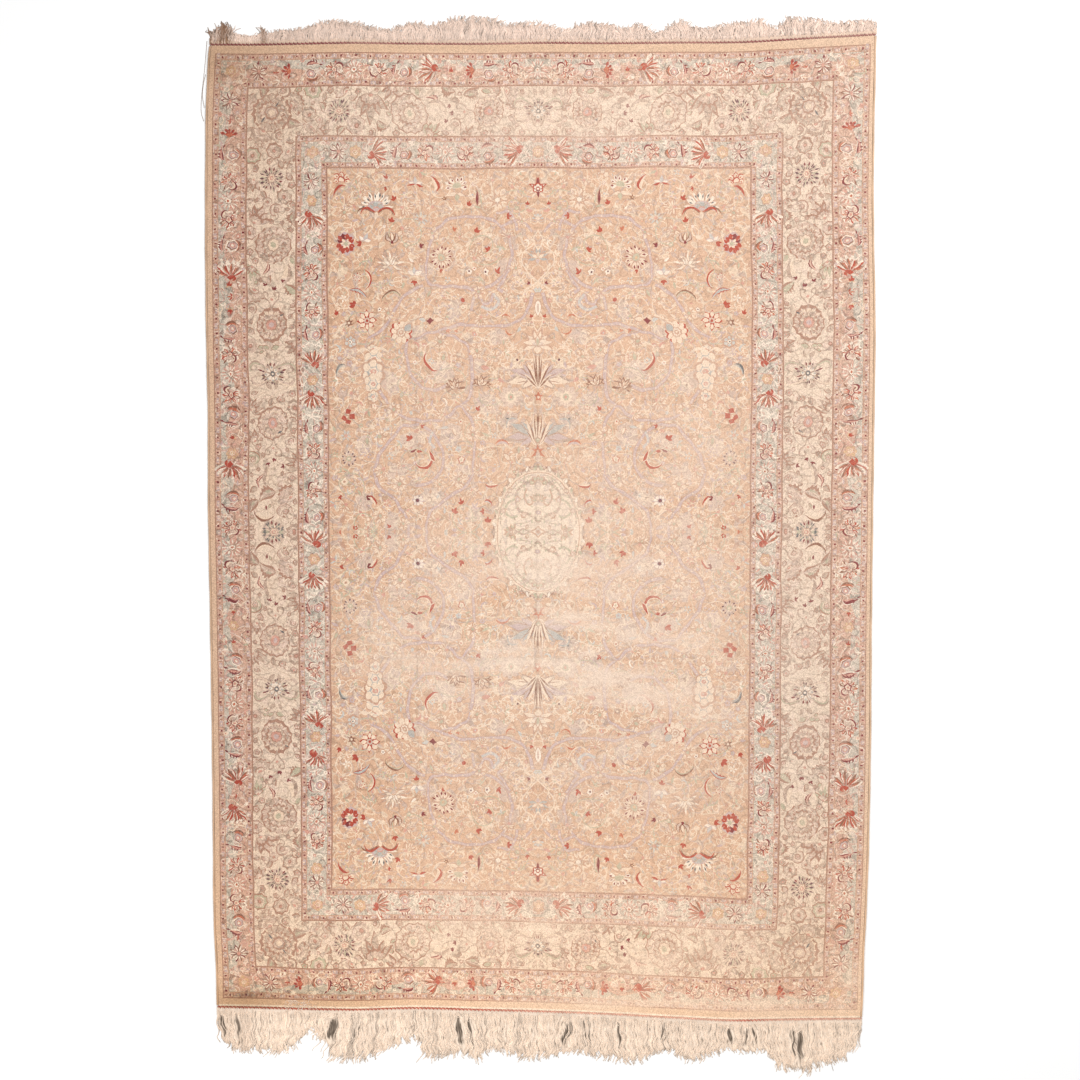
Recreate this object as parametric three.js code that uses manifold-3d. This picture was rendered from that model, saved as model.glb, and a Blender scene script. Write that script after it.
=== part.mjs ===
// A silk pile rug lying flat, with overcast sides, a twined two-colour cord across each end and a fringe.
// Millimetres. X runs across the rug, Y along it, Z is up, and the rug lies on z = 0.
import * as THREE from 'three';
import { mergeVertices } from 'three/addons/utils/BufferGeometryUtils.js';
import Module from 'manifold-3d';

const wasm = await Module();
wasm.setup();

// Driving dimensions
const RUG_WIDTH = 2030; // over the two selvedges, before the drift of the sides
const RUG_LENGTH = 2962; // from the middle of one end cord to the middle of the other
const CLOTH_THICKNESS = 4; // foundation and clipped pile
const GAP = 0.3; // between neighbouring pieces
const SELVEDGE = { width: 7, height: 5, steps: 44 }; // overcast side cord
const END_CORD = { width: 9, height: 5 }; // twined cord across an end
const END_STEPS = 48; // along each end, for the cloth, the cord and the strip alike
const SKIRT_THICKNESS = 2.4; // flat-woven strip that holds the warps
const HALF_WIDTH = RUG_WIDTH / 2;
const HALF_LENGTH = RUG_LENGTH / 2;

const ROOT_IN_SKIRT = 5; // a strand starts this far inside its strip
const TIP_SHARE = 0.45; // a strand's width at its tip, as a share of its width at the root
const SHORTEST_STRAND = 6;
const LENGTH_SPREAD = 0.07; // a strand is up to this share longer or shorter than the line of tips says
const NEIGHBOURS = 40; // strands nearer than this snake together

// How far each side stands out from the straight side, at stations along Y
const SIDE_DRIFT = [
  { at: -1508, left: -14, right: -16 },
  { at: -1448, left: -12, right: -13 },
  { at: -1318, left: -10, right: -11 },
  { at: -1198, left: -5, right: -6 },
  { at: -1008, left: -5, right: 0 },
  { at: -638, left: -5, right: 4 },
  { at: -268, left: -3, right: 3 },
  { at: 102, left: 0, right: 4 },
  { at: 352, left: -2, right: 5 },
  { at: 622, left: 1, right: 6 },
  { at: 892, left: 1, right: -1 },
  { at: 1072, left: -1, right: -4 },
  { at: 1282, left: -5, right: -3 },
  { at: 1402, left: -11, right: -1 },
  { at: 1462, left: -16, right: -1 },
  { at: 1507, left: -24, right: 0 },
];

// How far each end cord stands out from the straight end, at stations along X
const END_DRIFT = [
  { at: -1000, upper: -4, lower: -15 },
  { at: -860, upper: -4, lower: -12 },
  { at: -590, upper: 1, lower: -6 },
  { at: -400, upper: -1, lower: -11 },
  { at: -200, upper: -2, lower: -6 },
  { at: 20, upper: 1, lower: 0 },
  { at: 220, upper: 0, lower: 8 },
  { at: 420, upper: 2, lower: 19 },
  { at: 600, upper: 3, lower: 28 },
  { at: 720, upper: 9, lower: 26 },
  { at: 830, upper: 16, lower: 24 },
  { at: 940, upper: 22, lower: 23 },
  { at: 1020, upper: 27, lower: 22 },
];

// The uneven line of the tips: reach beyond the middle of the end cord, and the sideways lean at the tip
const UPPER_TIPS = [
  { at: -1000, reach: 42, lean: 4 },
  { at: -965, reach: 47, lean: -4 },
  { at: -920, reach: 57, lean: 6 },
  { at: -875, reach: 25, lean: 2 },
  { at: -825, reach: 46, lean: 6 },
  { at: -740, reach: 43, lean: -6 },
  { at: -645, reach: 71, lean: 10 },
  { at: -560, reach: 62, lean: 4 },
  { at: -470, reach: 42, lean: -6 },
  { at: -375, reach: 68, lean: 8 },
  { at: -335, reach: 57, lean: -4 },
  { at: -240, reach: 84, lean: 6 },
  { at: -150, reach: 80, lean: 8 },
  { at: -100, reach: 60, lean: -8 },
  { at: -15, reach: 66, lean: 4 },
  { at: 75, reach: 39, lean: -4 },
  { at: 120, reach: 62, lean: 8 },
  { at: 215, reach: 60, lean: 0 },
  { at: 256, reach: 46, lean: -6 },
  { at: 300, reach: 62, lean: 6 },
  { at: 347, reach: 30, lean: 4 },
  { at: 437, reach: 70, lean: -8 },
  { at: 482, reach: 41, lean: 4 },
  { at: 570, reach: 58, lean: -4 },
  { at: 663, reach: 70, lean: 8 },
  { at: 709, reach: 32, lean: 0 },
  { at: 755, reach: 70, lean: -6 },
  { at: 845, reach: 56, lean: 6 },
  { at: 889, reach: 42, lean: -4 },
  { at: 980, reach: 48, lean: -4 },
  { at: 1015, reach: 44, lean: -8 },
];
const LOWER_TIPS = [
  { at: -1000, reach: 112, lean: 14 },
  { at: -940, reach: 146, lean: 0 },
  { at: -850, reach: 138, lean: -8 },
  { at: -800, reach: 150, lean: -10 },
  { at: -755, reach: 122, lean: -4 },
  { at: -715, reach: 62, lean: 4 },
  { at: -670, reach: 98, lean: 0 },
  { at: -625, reach: 164, lean: -20 },
  { at: -520, reach: 162, lean: -24 },
  { at: -430, reach: 120, lean: -10 },
  { at: -388, reach: 92, lean: 2 },
  { at: -345, reach: 169, lean: -4 },
  { at: -250, reach: 146, lean: 6 },
  { at: -205, reach: 171, lean: 8 },
  { at: -158, reach: 125, lean: 0 },
  { at: -20, reach: 157, lean: -12 },
  { at: 120, reach: 130, lean: -4 },
  { at: 265, reach: 150, lean: 6 },
  { at: 315, reach: 149, lean: 2 },
  { at: 360, reach: 116, lean: -6 },
  { at: 405, reach: 111, lean: 0 },
  { at: 475, reach: 141, lean: -6 },
  { at: 590, reach: 95, lean: -12 },
  { at: 640, reach: 108, lean: 0 },
  { at: 685, reach: 99, lean: 12 },
  { at: 735, reach: 156, lean: 14 },
  { at: 825, reach: 178, lean: 4 },
  { at: 875, reach: 146, lean: -4 },
  { at: 960, reach: 130, lean: -10 },
  { at: 1000, reach: 80, lean: -16 },
];

// Spindle-shaped gaps where the lower strands part, and come together again towards their tips
const PARTINGS = [
  { at: -985, radius: 14, opening: 12 },
  { at: -925, radius: 14, opening: 12 },
  { at: -640, radius: 20, opening: 20 },
  { at: -248, radius: 18, opening: 18 },
  { at: -212, radius: 14, opening: 12 },
  { at: 112, radius: 20, opening: 20 },
  { at: 165, radius: 14, opening: 12 },
  { at: 600, radius: 14, opening: 12 },
  { at: 810, radius: 20, opening: 20 },
];

// Each end's strip and strands. Wave and wave length are the sideways snaking of a strand
const UPPER_FRINGE = {
  end: 1,
  skirt: 12,
  strands: 116,
  steps: 3,
  strandWidth: 6.5,
  strandHeight: 2.2,
  wave: 3,
  waveLength: 60,
  tips: UPPER_TIPS,
  partings: [],
};
const LOWER_FRINGE = {
  end: -1,
  skirt: 21,
  strands: 168,
  steps: 5,
  strandWidth: 5,
  strandHeight: 2.2,
  wave: 2.5,
  waveLength: 85,
  tips: LOWER_TIPS,
  partings: PARTINGS,
};

const finish = (color, roughness) => new THREE.MeshStandardMaterial({ color, roughness, metalness: 0 });
const pileSilk = () => finish(0xdcbb9d, 0.7);
const camelSilk = () => finish(0xcfa57f, 0.75);
const plumAndWhiteSilk = () => finish(0xb5837a, 0.75);
const warpSilk = () => finish(0xe3ccb4, 0.85);

const evenly = (from, to, steps) => (
  Array.from({ length: steps + 1 }, (_, i) => THREE.MathUtils.lerp(from, to, i / steps))
);

// The row before a station, and how far on the way to the next row the station is
function place(table, at) {
  const clamped = THREE.MathUtils.clamp(at, table[0].at, table[table.length - 1].at);
  const after = Math.max(1, table.findIndex((row) => row.at >= clamped));
  const share = (clamped - table[after - 1].at) / (table[after].at - table[after - 1].at);
  return { before: after - 1, share };
}

// A straight line from row to row
function straight(table, column, at) {
  const { before, share } = place(table, at);
  return THREE.MathUtils.lerp(table[before][column], table[before + 1][column], share);
}

// A smooth curve through the rows: between two rows a cubic, whose slope at a row is that from the row before
// it to the row after it
function smooth(table, column, at) {
  const { before, share } = place(table, at);
  const slopeAt = (row) => {
    const low = table[Math.max(row - 1, 0)];
    const high = table[Math.min(row + 1, table.length - 1)];
    return (high[column] - low[column]) / (high.at - low.at);
  };
  const span = table[before + 1].at - table[before].at;
  const rest = 1 - share;
  const rise = table[before + 1][column] - table[before][column];
  const bend = span * share * rest * (rest * slopeAt(before) - share * slopeAt(before + 1));
  return table[before][column] + rise * share * share * (3 - 2 * share) + bend;
}

// The outer edge of a side as x at y, and the middle line of an end cord as y at x. Left and lower are -1
const edgeOf = (side) => (y) => side * (HALF_WIDTH + smooth(SIDE_DRIFT, side > 0 ? 'right' : 'left', y));
const lineOf = (end) => (x) => end * (HALF_LENGTH + smooth(END_DRIFT, end > 0 ? 'upper' : 'lower', x));
const cornerX = (side, end) => edgeOf(side)(lineOf(end)(edgeOf(side)(end * HALF_LENGTH)));
const acrossEnd = (end) => evenly(cornerX(-1, end), cornerX(1, end), END_STEPS);

// Numbers between 0 and 1 that look random and are the same each time: a large sine without its whole part
function chance(index) {
  const wide = Math.sin(index * 12.9898 + 78.233) * 43758.5453;
  return wide - Math.floor(wide);
}

// A closed body from a row of like loops of points: walls between the loops and a flat cap on each end.
// The faces are turned round when the loops ran the other way, so they always point out.
function loft(loops) {
  const sides = loops[0].length;
  const faces = [];
  for (let i = 0; i + 1 < loops.length; i += 1) {
    for (let k = 0; k < sides; k += 1) {
      const a = i * sides + k;
      const b = i * sides + ((k + 1) % sides);
      faces.push([a, b, b + sides], [a, b + sides, a + sides]);
    }
  }
  const end = (loops.length - 1) * sides;
  for (let k = 1; k + 1 < sides; k += 1) {
    faces.push([0, k + 1, k], [end, end + k, end + k + 1]);
  }
  const points = loops.flat();
  const volume = faces.reduce((sum, [a, b, c]) => (
    sum + points[a].dot(new THREE.Vector3().crossVectors(points[b], points[c]))
  ), 0);
  const geometry = new THREE.BufferGeometry().setFromPoints(points);
  geometry.setIndex(faces.flatMap(([a, b, c]) => (volume > 0 ? [a, b, c] : [a, c, b])));
  return geometry;
}

// A low rounded section with a flat foot, as pairs of offset and height
const cordSection = (width, height) => [
  [-width / 2, 0], [width / 2, 0], [width / 2, height * 0.6],
  [width / 4, height], [-width / 4, height], [-width / 2, height * 0.6],
];

function toManifold(geometry) {
  const bare = geometry.clone();
  bare.deleteAttribute('normal');
  bare.deleteAttribute('uv');
  const merged = mergeVertices(bare);
  return new wasm.Manifold(new wasm.Mesh({
    numProp: 3,
    vertProperties: new Float32Array(merged.attributes.position.array),
    triVerts: new Uint32Array(merged.index.array),
  }));
}

function fromManifold(solid) {
  const mesh = solid.getMesh();
  const geometry = new THREE.BufferGeometry();
  geometry.setAttribute('position', new THREE.BufferAttribute(new Float32Array(mesh.vertProperties), 3));
  geometry.setIndex(new THREE.BufferAttribute(new Uint32Array(mesh.triVerts), 1));
  return geometry;
}

function piece(name, geometry, material) {
  geometry.computeVertexNormals();
  const mesh = new THREE.Mesh(geometry, material);
  mesh.name = name;
  return mesh;
}

// The woven and knotted cloth, one flat slab inside the selvedges and the end cords
function cloth() {
  const inFromSide = SELVEDGE.width + GAP;
  const inFromEnd = END_CORD.width / 2 + GAP;
  const onEnd = (x, end) => new THREE.Vector2(x, lineOf(end)(x) - end * inFromEnd);
  const onSide = (y, side) => new THREE.Vector2(edgeOf(side)(y) - side * inFromSide, y);
  const corner = (side, end) => onEnd(cornerX(side, end) - side * inFromSide, end);
  const alongEnd = (end) => acrossEnd(end).slice(1, -1).map((x) => onEnd(x, end));
  const alongSide = (side) => (
    evenly(corner(side, -1).y, corner(side, 1).y, SELVEDGE.steps).slice(1, -1).map((y) => onSide(y, side))
  );
  const outline = [
    corner(-1, -1), ...alongEnd(-1),
    corner(1, -1), ...alongSide(1),
    corner(1, 1), ...alongEnd(1).reverse(),
    corner(-1, 1), ...alongSide(-1).reverse(),
  ];
  return new THREE.ExtrudeGeometry(new THREE.Shape(outline), { depth: CLOTH_THICKNESS, bevelEnabled: false });
}

// The overcast cord down one side, from end cord to end cord
function selvedge(side) {
  const edge = edgeOf(side);
  const endOf = (end) => lineOf(end)(cornerX(side, end)) - end * (END_CORD.width / 2 + 2 * GAP);
  return loft(evenly(endOf(-1), endOf(1), SELVEDGE.steps).map((y) => (
    cordSection(SELVEDGE.width, SELVEDGE.height).map(([offset, z]) => (
      new THREE.Vector3(edge(y) - side * (SELVEDGE.width / 2 - offset), y, z)
    ))
  )));
}

// The twined cord across one end
function endCord(end) {
  const line = lineOf(end);
  return loft(acrossEnd(end).map((x) => (
    cordSection(END_CORD.width, END_CORD.height).map(([offset, z]) => (
      new THREE.Vector3(x, line(x) + offset, z)
    ))
  )));
}

// How far a strand rooted at x has moved sideways, at a share of its length: it snakes, leans and parts
function sway(sizes, x, share, length) {
  const turn = (2 * Math.PI * share * length) / sizes.waveLength + x / NEIGHBOURS;
  const snake = sizes.wave * share * Math.sin(turn);
  const lean = straight(sizes.tips, 'lean', x) * share * share;
  const parted = sizes.partings.reduce((sum, { at, radius, opening }) => {
    const off = (x - at) / radius;
    return sum + opening * off * Math.exp(-off * off / 2) * Math.sin(Math.PI * share);
  }, 0);
  return snake + lean + parted;
}

// One strand: a three-sided bar that lies on its flat side and narrows to its tip
function strand(sizes, index, x) {
  const line = lineOf(sizes.end);
  const root = END_CORD.width / 2 + GAP + sizes.skirt;
  const spread = 1 + LENGTH_SPREAD * (2 * chance(index) - 1);
  const length = Math.max(SHORTEST_STRAND, straight(sizes.tips, 'reach', x) * spread - root);
  const centre = (share) => new THREE.Vector2(
    x + sway(sizes, x, THREE.MathUtils.clamp(share, 0, 1), length),
    line(x) + sizes.end * (root + share * length),
  );
  const shares = [-ROOT_IN_SKIRT / length, ...evenly(0, 1, sizes.steps).slice(1)];
  return loft(shares.map((share) => {
    const here = centre(share);
    const ahead = centre(share + 0.02).sub(centre(share - 0.02)).normalize();
    const narrowing = THREE.MathUtils.lerp(1, TIP_SHARE, Math.max(0, share));
    const half = (sizes.strandWidth / 2) * narrowing;
    return [
      new THREE.Vector3(here.x - ahead.y * half, here.y + ahead.x * half, 0),
      new THREE.Vector3(here.x + ahead.y * half, here.y - ahead.x * half, 0),
      new THREE.Vector3(here.x, here.y, sizes.strandHeight * narrowing),
    ];
  }));
}

// The flat-woven strip beyond an end cord, with the warps that hang from it as strands
function fringe(sizes) {
  const line = lineOf(sizes.end);
  const near = sizes.end * (END_CORD.width / 2 + GAP);
  const far = near + sizes.end * sizes.skirt;
  const stations = acrossEnd(sizes.end);
  const strip = loft(stations.map((x) => [
    new THREE.Vector3(x, line(x) + near, 0),
    new THREE.Vector3(x, line(x) + far, 0),
    new THREE.Vector3(x, line(x) + far, SKIRT_THICKNESS),
    new THREE.Vector3(x, line(x) + near, SKIRT_THICKNESS),
  ]));
  const first = stations[0] + sizes.strandWidth;
  const last = stations[END_STEPS] - sizes.strandWidth;
  return fromManifold(evenly(first, last, sizes.strands - 1).reduce(
    (solid, x, index) => solid.add(toManifold(strand(sizes, index, x))),
    toManifold(strip),
  ));
}

const rug = new THREE.Group();
rug.add(
  piece('rug_body', cloth(), pileSilk()),
  piece('selvedge_left', selvedge(-1), camelSilk()),
  piece('selvedge_right', selvedge(1), camelSilk()),
  piece('end_cord_upper', endCord(1), plumAndWhiteSilk()),
  piece('end_cord_lower', endCord(-1), plumAndWhiteSilk()),
  piece('fringe_upper', fringe(UPPER_FRINGE), warpSilk()),
  piece('fringe_lower', fringe(LOWER_FRINGE), warpSilk()),
);

// The origin is under the middle of the whole rug, fringe included
const middle = new THREE.Box3().setFromObject(rug).getCenter(new THREE.Vector3());
rug.position.set(-middle.x, -middle.y, 0);

export default rug;
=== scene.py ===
"""A hereke silk rug that lies flat on a pale floor, seen from straight above.

The pile is built as a weaver's chart. Patches of yarn are laid over each other in chart squares.
The chart is cut into triangles along every patch's edge, mirrored about the medallion, and drawn
into the rug's uneven outline. The side cords, the twined end cords, the flat-woven strips and the
loose warps are tubes and strips along the same outline. Lengths are in millimetres or chart squares
until a mesh is made, which is in metres.
"""

import logging
import math
from dataclasses import dataclass, field
from enum import Enum

import bpy
import numpy as np
from mathutils.geometry import delaunay_2d_cdt
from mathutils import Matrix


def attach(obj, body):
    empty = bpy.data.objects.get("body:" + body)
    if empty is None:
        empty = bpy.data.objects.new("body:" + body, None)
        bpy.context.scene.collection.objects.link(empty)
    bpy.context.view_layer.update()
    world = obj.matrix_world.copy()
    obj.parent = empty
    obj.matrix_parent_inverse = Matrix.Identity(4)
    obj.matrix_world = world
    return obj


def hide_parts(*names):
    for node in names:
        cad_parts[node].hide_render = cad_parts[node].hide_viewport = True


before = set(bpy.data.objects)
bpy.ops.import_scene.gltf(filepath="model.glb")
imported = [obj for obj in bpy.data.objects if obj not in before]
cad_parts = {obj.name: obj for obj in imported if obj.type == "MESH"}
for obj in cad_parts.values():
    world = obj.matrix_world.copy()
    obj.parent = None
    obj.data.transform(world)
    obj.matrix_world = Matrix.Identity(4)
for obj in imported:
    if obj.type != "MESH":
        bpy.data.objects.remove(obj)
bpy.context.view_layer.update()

log = logging.getLogger("rug")

# Metres in a millimetre, and millimetres in a square of the charts.
MM = 0.001
SQUARE = 3.06

# Half the rug across and along, and how far in from the rim each border ends, in squares.
HALF_WIDE = 334.0
HALF_LONG = 484.0
OUTER_ENDS = 42.5
MAIN_ENDS = 90.5
INNER_ENDS = 123.0

# How far the pile stops short of the side cords' and the end cords' lines, in squares.
SIDE_GAP = 2.4
END_GAP = 1.1

# What stands for a yarn beyond a chart's rim, and where no yarn is known.
BEYOND = -1
UNKNOWN = -2


class Yarn(Enum):
    """The dyed silks of the pile, as the red, green and blue (of 255) that each has faded to."""

    PEACH = (229, 187, 156)
    CAMEL = (234, 198, 168)
    CREAM = (246, 217, 190)
    IVORY = (252, 230, 208)
    BRICK = (192, 92, 72)
    CORAL = (208, 126, 96)
    CRIMSON = (146, 72, 70)
    PLUM = (124, 84, 88)
    SLATE = (120, 116, 114)
    GREY_BLUE = (192, 184, 174)
    PALE_BLUE = (214, 204, 192)
    SAGE = (204, 190, 162)
    LAVENDER = (213, 185, 176)
    ROSE = (222, 166, 146)
    OCHRE = (226, 186, 148)
    BROWN = (162, 114, 92)
    FAWN = (210, 167, 141)
    TAUPE = (216, 187, 165)
    DUSTY = (227, 196, 175)
    STONE = (203, 172, 151)
    BORDER_CREAM = (247, 220, 195)
    PINK_BEIGE = (226, 184, 160)
    BLUE_BEIGE = (219, 202, 183)
    LINE = (188, 145, 123)


YARN_LIST = list(Yarn)
YARN_INDEX = {yarn: index for index, yarn in enumerate(YARN_LIST)}

# How strongly the small figures show on the grounds, as a share.
FIGURED = {
    Yarn.PEACH: 1.0, Yarn.TAUPE: 1.0, Yarn.DUSTY: 1.0, Yarn.BLUE_BEIGE: 1.0, Yarn.PINK_BEIGE: 1.0,
    Yarn.STONE: 0.8, Yarn.BORDER_CREAM: 0.8, Yarn.CAMEL: 0.1, Yarn.LINE: 0.0, Yarn.BRICK: 0.15,
    Yarn.CRIMSON: 0.1,
}


def linear(colour: tuple) -> tuple:
    """Turns red, green and blue of 255 on a screen into linear light.

    Args:
        colour: The three numbers.

    Returns:
        Three numbers from 0 to 1, each the 2.4th power of the share of 255 above the screen's toe.
    """
    share = np.asarray(colour, float) / 255.0
    return tuple(np.where(share < 0.04045, share / 12.92, ((share + 0.055) / 1.055) ** 2.4))


def flowing(rows: tuple, values: tuple, at: np.ndarray) -> np.ndarray:
    """A smooth curve through the rows of a table.

    Between two rows it is a cubic whose slope at a row is that from the row before it to the row after it.

    Args:
        rows: The stations, rising.
        values: The value at each station.
        at: Where the curve is read.

    Returns:
        The curve's value at each place.
    """
    rows = np.asarray(rows, float)
    values = np.asarray(values, float)
    at = np.clip(at, rows[0], rows[-1])
    before = np.clip(np.searchsorted(rows, at) - 1, 0, len(rows) - 2)
    low = np.maximum(np.arange(len(rows)) - 1, 0)
    high = np.minimum(np.arange(len(rows)) + 1, len(rows) - 1)
    slope = (values[high] - values[low]) / (rows[high] - rows[low])
    span = rows[before + 1] - rows[before]
    share = (at - rows[before]) / span
    rest = 1 - share
    rise = values[before + 1] - values[before]
    bend = span * share * rest * (rest * slope[before] - share * slope[before + 1])
    return values[before] + rise * share**2 * (3 - 2 * share) + bend


def noise_like(x: np.ndarray, y: np.ndarray, size: float, seed: int) -> np.ndarray:
    """Slow patches between -1 and 1 that look random: a mean of six sines in scattered directions.

    Args:
        x: Places across, in millimetres.
        y: Places along.
        size: About how far apart two like patches are.
        seed: Picks the directions and phases.

    Returns:
        The value at each place.
    """
    draw = np.random.default_rng(seed)
    total = np.zeros_like(np.asarray(x, float))
    for _ in range(6):
        turn, phase = draw.uniform(0, 2 * math.pi), draw.uniform(0, 2 * math.pi)
        stretch = draw.uniform(0.7, 1.5)
        total += np.sin(2 * math.pi * stretch * (x * math.cos(turn) + y * math.sin(turn)) / size + phase)
    return total / 3.0


@dataclass(frozen=True)
class Outline:
    """The rug's uneven edge in the frame's millimetres, as drifts from a straight rectangle."""

    half_width: float = 1015.0
    half_length: float = 1481.0
    shift_x: float = -2.5
    shift_y: float = 61.4
    middle_x: float = -8.6
    middle_y: float = 67.9
    side_at: tuple = (
        -1508, -1448, -1318, -1198, -1008, -638, -268, 102, 352, 622, 892, 1072, 1282, 1402, 1462, 1507
    )
    left: tuple = (-14, -12, -10, -5, -5, -5, -3, 0, -2, 1, 1, -1, -5, -11, -16, -24)
    right: tuple = (-16, -13, -11, -6, 0, 4, 3, 4, 5, 6, -1, -4, -3, -1, -1, 0)
    end_at: tuple = (-1000, -860, -590, -400, -200, 20, 220, 420, 600, 720, 830, 940, 1020)
    upper: tuple = (-4, -4, 1, -1, -2, 1, 0, 2, 3, 9, 16, 22, 27)
    lower: tuple = (-15, -12, -6, -11, -6, 0, 8, 19, 28, 26, 24, 23, 22)

    def side(self, side: int, y: np.ndarray) -> np.ndarray:
        """The outer edge of a side as x at y. The left side is -1."""
        drift = flowing(
            self.side_at, self.right if side > 0 else self.left, np.asarray(y, float) - self.shift_y
        )
        return side * (self.half_width + drift) + self.shift_x

    def end(self, end: int, x: np.ndarray) -> np.ndarray:
        """The middle line of an end cord as y at x. The lower end is -1."""
        drift = flowing(
            self.end_at, self.upper if end > 0 else self.lower, np.asarray(x, float) - self.shift_x
        )
        return end * (self.half_length + drift) + self.shift_y

    def corner(self, side: int, end: int) -> float:
        """The x at which a side's outer edge meets an end's line."""
        y = self.end(end, self.side(side, end * self.half_length + self.shift_y))
        return float(self.side(side, y))

    def of_chart(self, squares: np.ndarray) -> np.ndarray:
        """Draws the chart into the outline.

        Each point keeps its share of the way from the medallion's middle to the edge on its own
        side, first along the rug and then across it. Inside the rim the rows wander by slow noise,
        as on a loom.

        Args:
            squares: Points of the chart, two columns.

        Returns:
            The same points in the frame's millimetres.
        """
        rough_x = self.middle_x + squares[:, 0] * SQUARE
        share_y = squares[:, 1] / HALF_LONG
        reach_y = np.where(share_y > 0, self.end(1, rough_x), self.end(-1, rough_x)) - self.middle_y
        y = self.middle_y + np.abs(share_y) * reach_y
        share_x = squares[:, 0] / HALF_WIDE
        reach_x = np.where(share_x > 0, self.side(1, y), self.side(-1, y)) - self.middle_x
        x = self.middle_x + np.abs(share_x) * reach_x
        inside = np.clip(
            np.minimum((1 - np.abs(share_x)) * HALF_WIDE, (1 - np.abs(share_y)) * HALF_LONG) / 30.0, 0, 1
        )
        return np.column_stack((
            x + inside * (1.5 * noise_like(x, y, 330.0, 61) + 0.8 * noise_like(x, y, 120.0, 62)),
            y + inside * (1.8 * noise_like(x, y, 370.0, 63) + 0.8 * noise_like(x, y, 130.0, 64)),
        ))


OUTLINE = Outline()


@dataclass(frozen=True)
class Crease:
    """A soft trough or ridge that a fold has left, from one point to another, in the frame's millimetres."""

    x0: float
    y0: float
    x1: float
    y1: float
    rise: float
    width: float

    def height(self, x: np.ndarray, y: np.ndarray) -> np.ndarray:
        """The rise over the flat rug: a bell across the fold's line, which wanders, fading at both ends."""
        long_x, long_y = self.x1 - self.x0, self.y1 - self.y0
        length = math.hypot(long_x, long_y)
        along = ((x - self.x0) * long_x + (y - self.y0) * long_y) / length
        off = ((x - self.x0) * long_y - (y - self.y0) * long_x) / length
        off = off + 2.5 * np.sin(along / 61.0 + self.x0) + 1.5 * np.sin(along / 23.0)
        fade = np.clip(along / 90.0, 0, 1) * np.clip((length - along) / 90.0, 0, 1)
        return self.rise * fade * np.exp(-((off / self.width) ** 2))


@dataclass(frozen=True)
class Lie:
    """How the rug lies on the floor: the folds of its storage and slow, shallow waves."""

    creases: tuple = (
        Crease(-372, 640, -372, -330, -1.2, 8),
        Crease(-516, 420, -516, -420, -0.9, 8),
        Crease(-16, 1000, -20, -1340, -0.7, 8),
        Crease(362, 520, 362, -520, 0.8, 10),
        Crease(-640, 180, 640, 186, -0.9, 8),
        Crease(300, 40, 660, 42, -1.1, 8),
        Crease(-640, -320, 640, -322, 0.7, 10),
        Crease(760, -1160, 990, -1168, -1.2, 7),
        Crease(-470, 1200, -460, 700, 0.6, 9),
        Crease(-30, 1545, -10, 1430, 0.9, 8),
        Crease(-640, -800, 300, -812, -0.5, 9),
    )
    wave: float = 0.35

    def height(self, x: np.ndarray, y: np.ndarray) -> np.ndarray:
        """The pile's rise over its flat level, in millimetres: all creases and the slow waves together."""
        total = self.wave * noise_like(x, y, 260.0, 4)
        for crease in self.creases:
            total = total + crease.height(x, y)
        return total

    def normal(self, x: np.ndarray, y: np.ndarray) -> np.ndarray:
        """The pile's direction at each place: one up, tipped by the height's slope within a millimetre."""
        slope_x = (self.height(x + 0.5, y) - self.height(x - 0.5, y))
        slope_y = (self.height(x, y + 0.5) - self.height(x, y - 0.5))
        up = np.column_stack((-slope_x, -slope_y, np.ones_like(slope_x)))
        return up / np.linalg.norm(up, axis=1, keepdims=True)


LIE = Lie()


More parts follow.
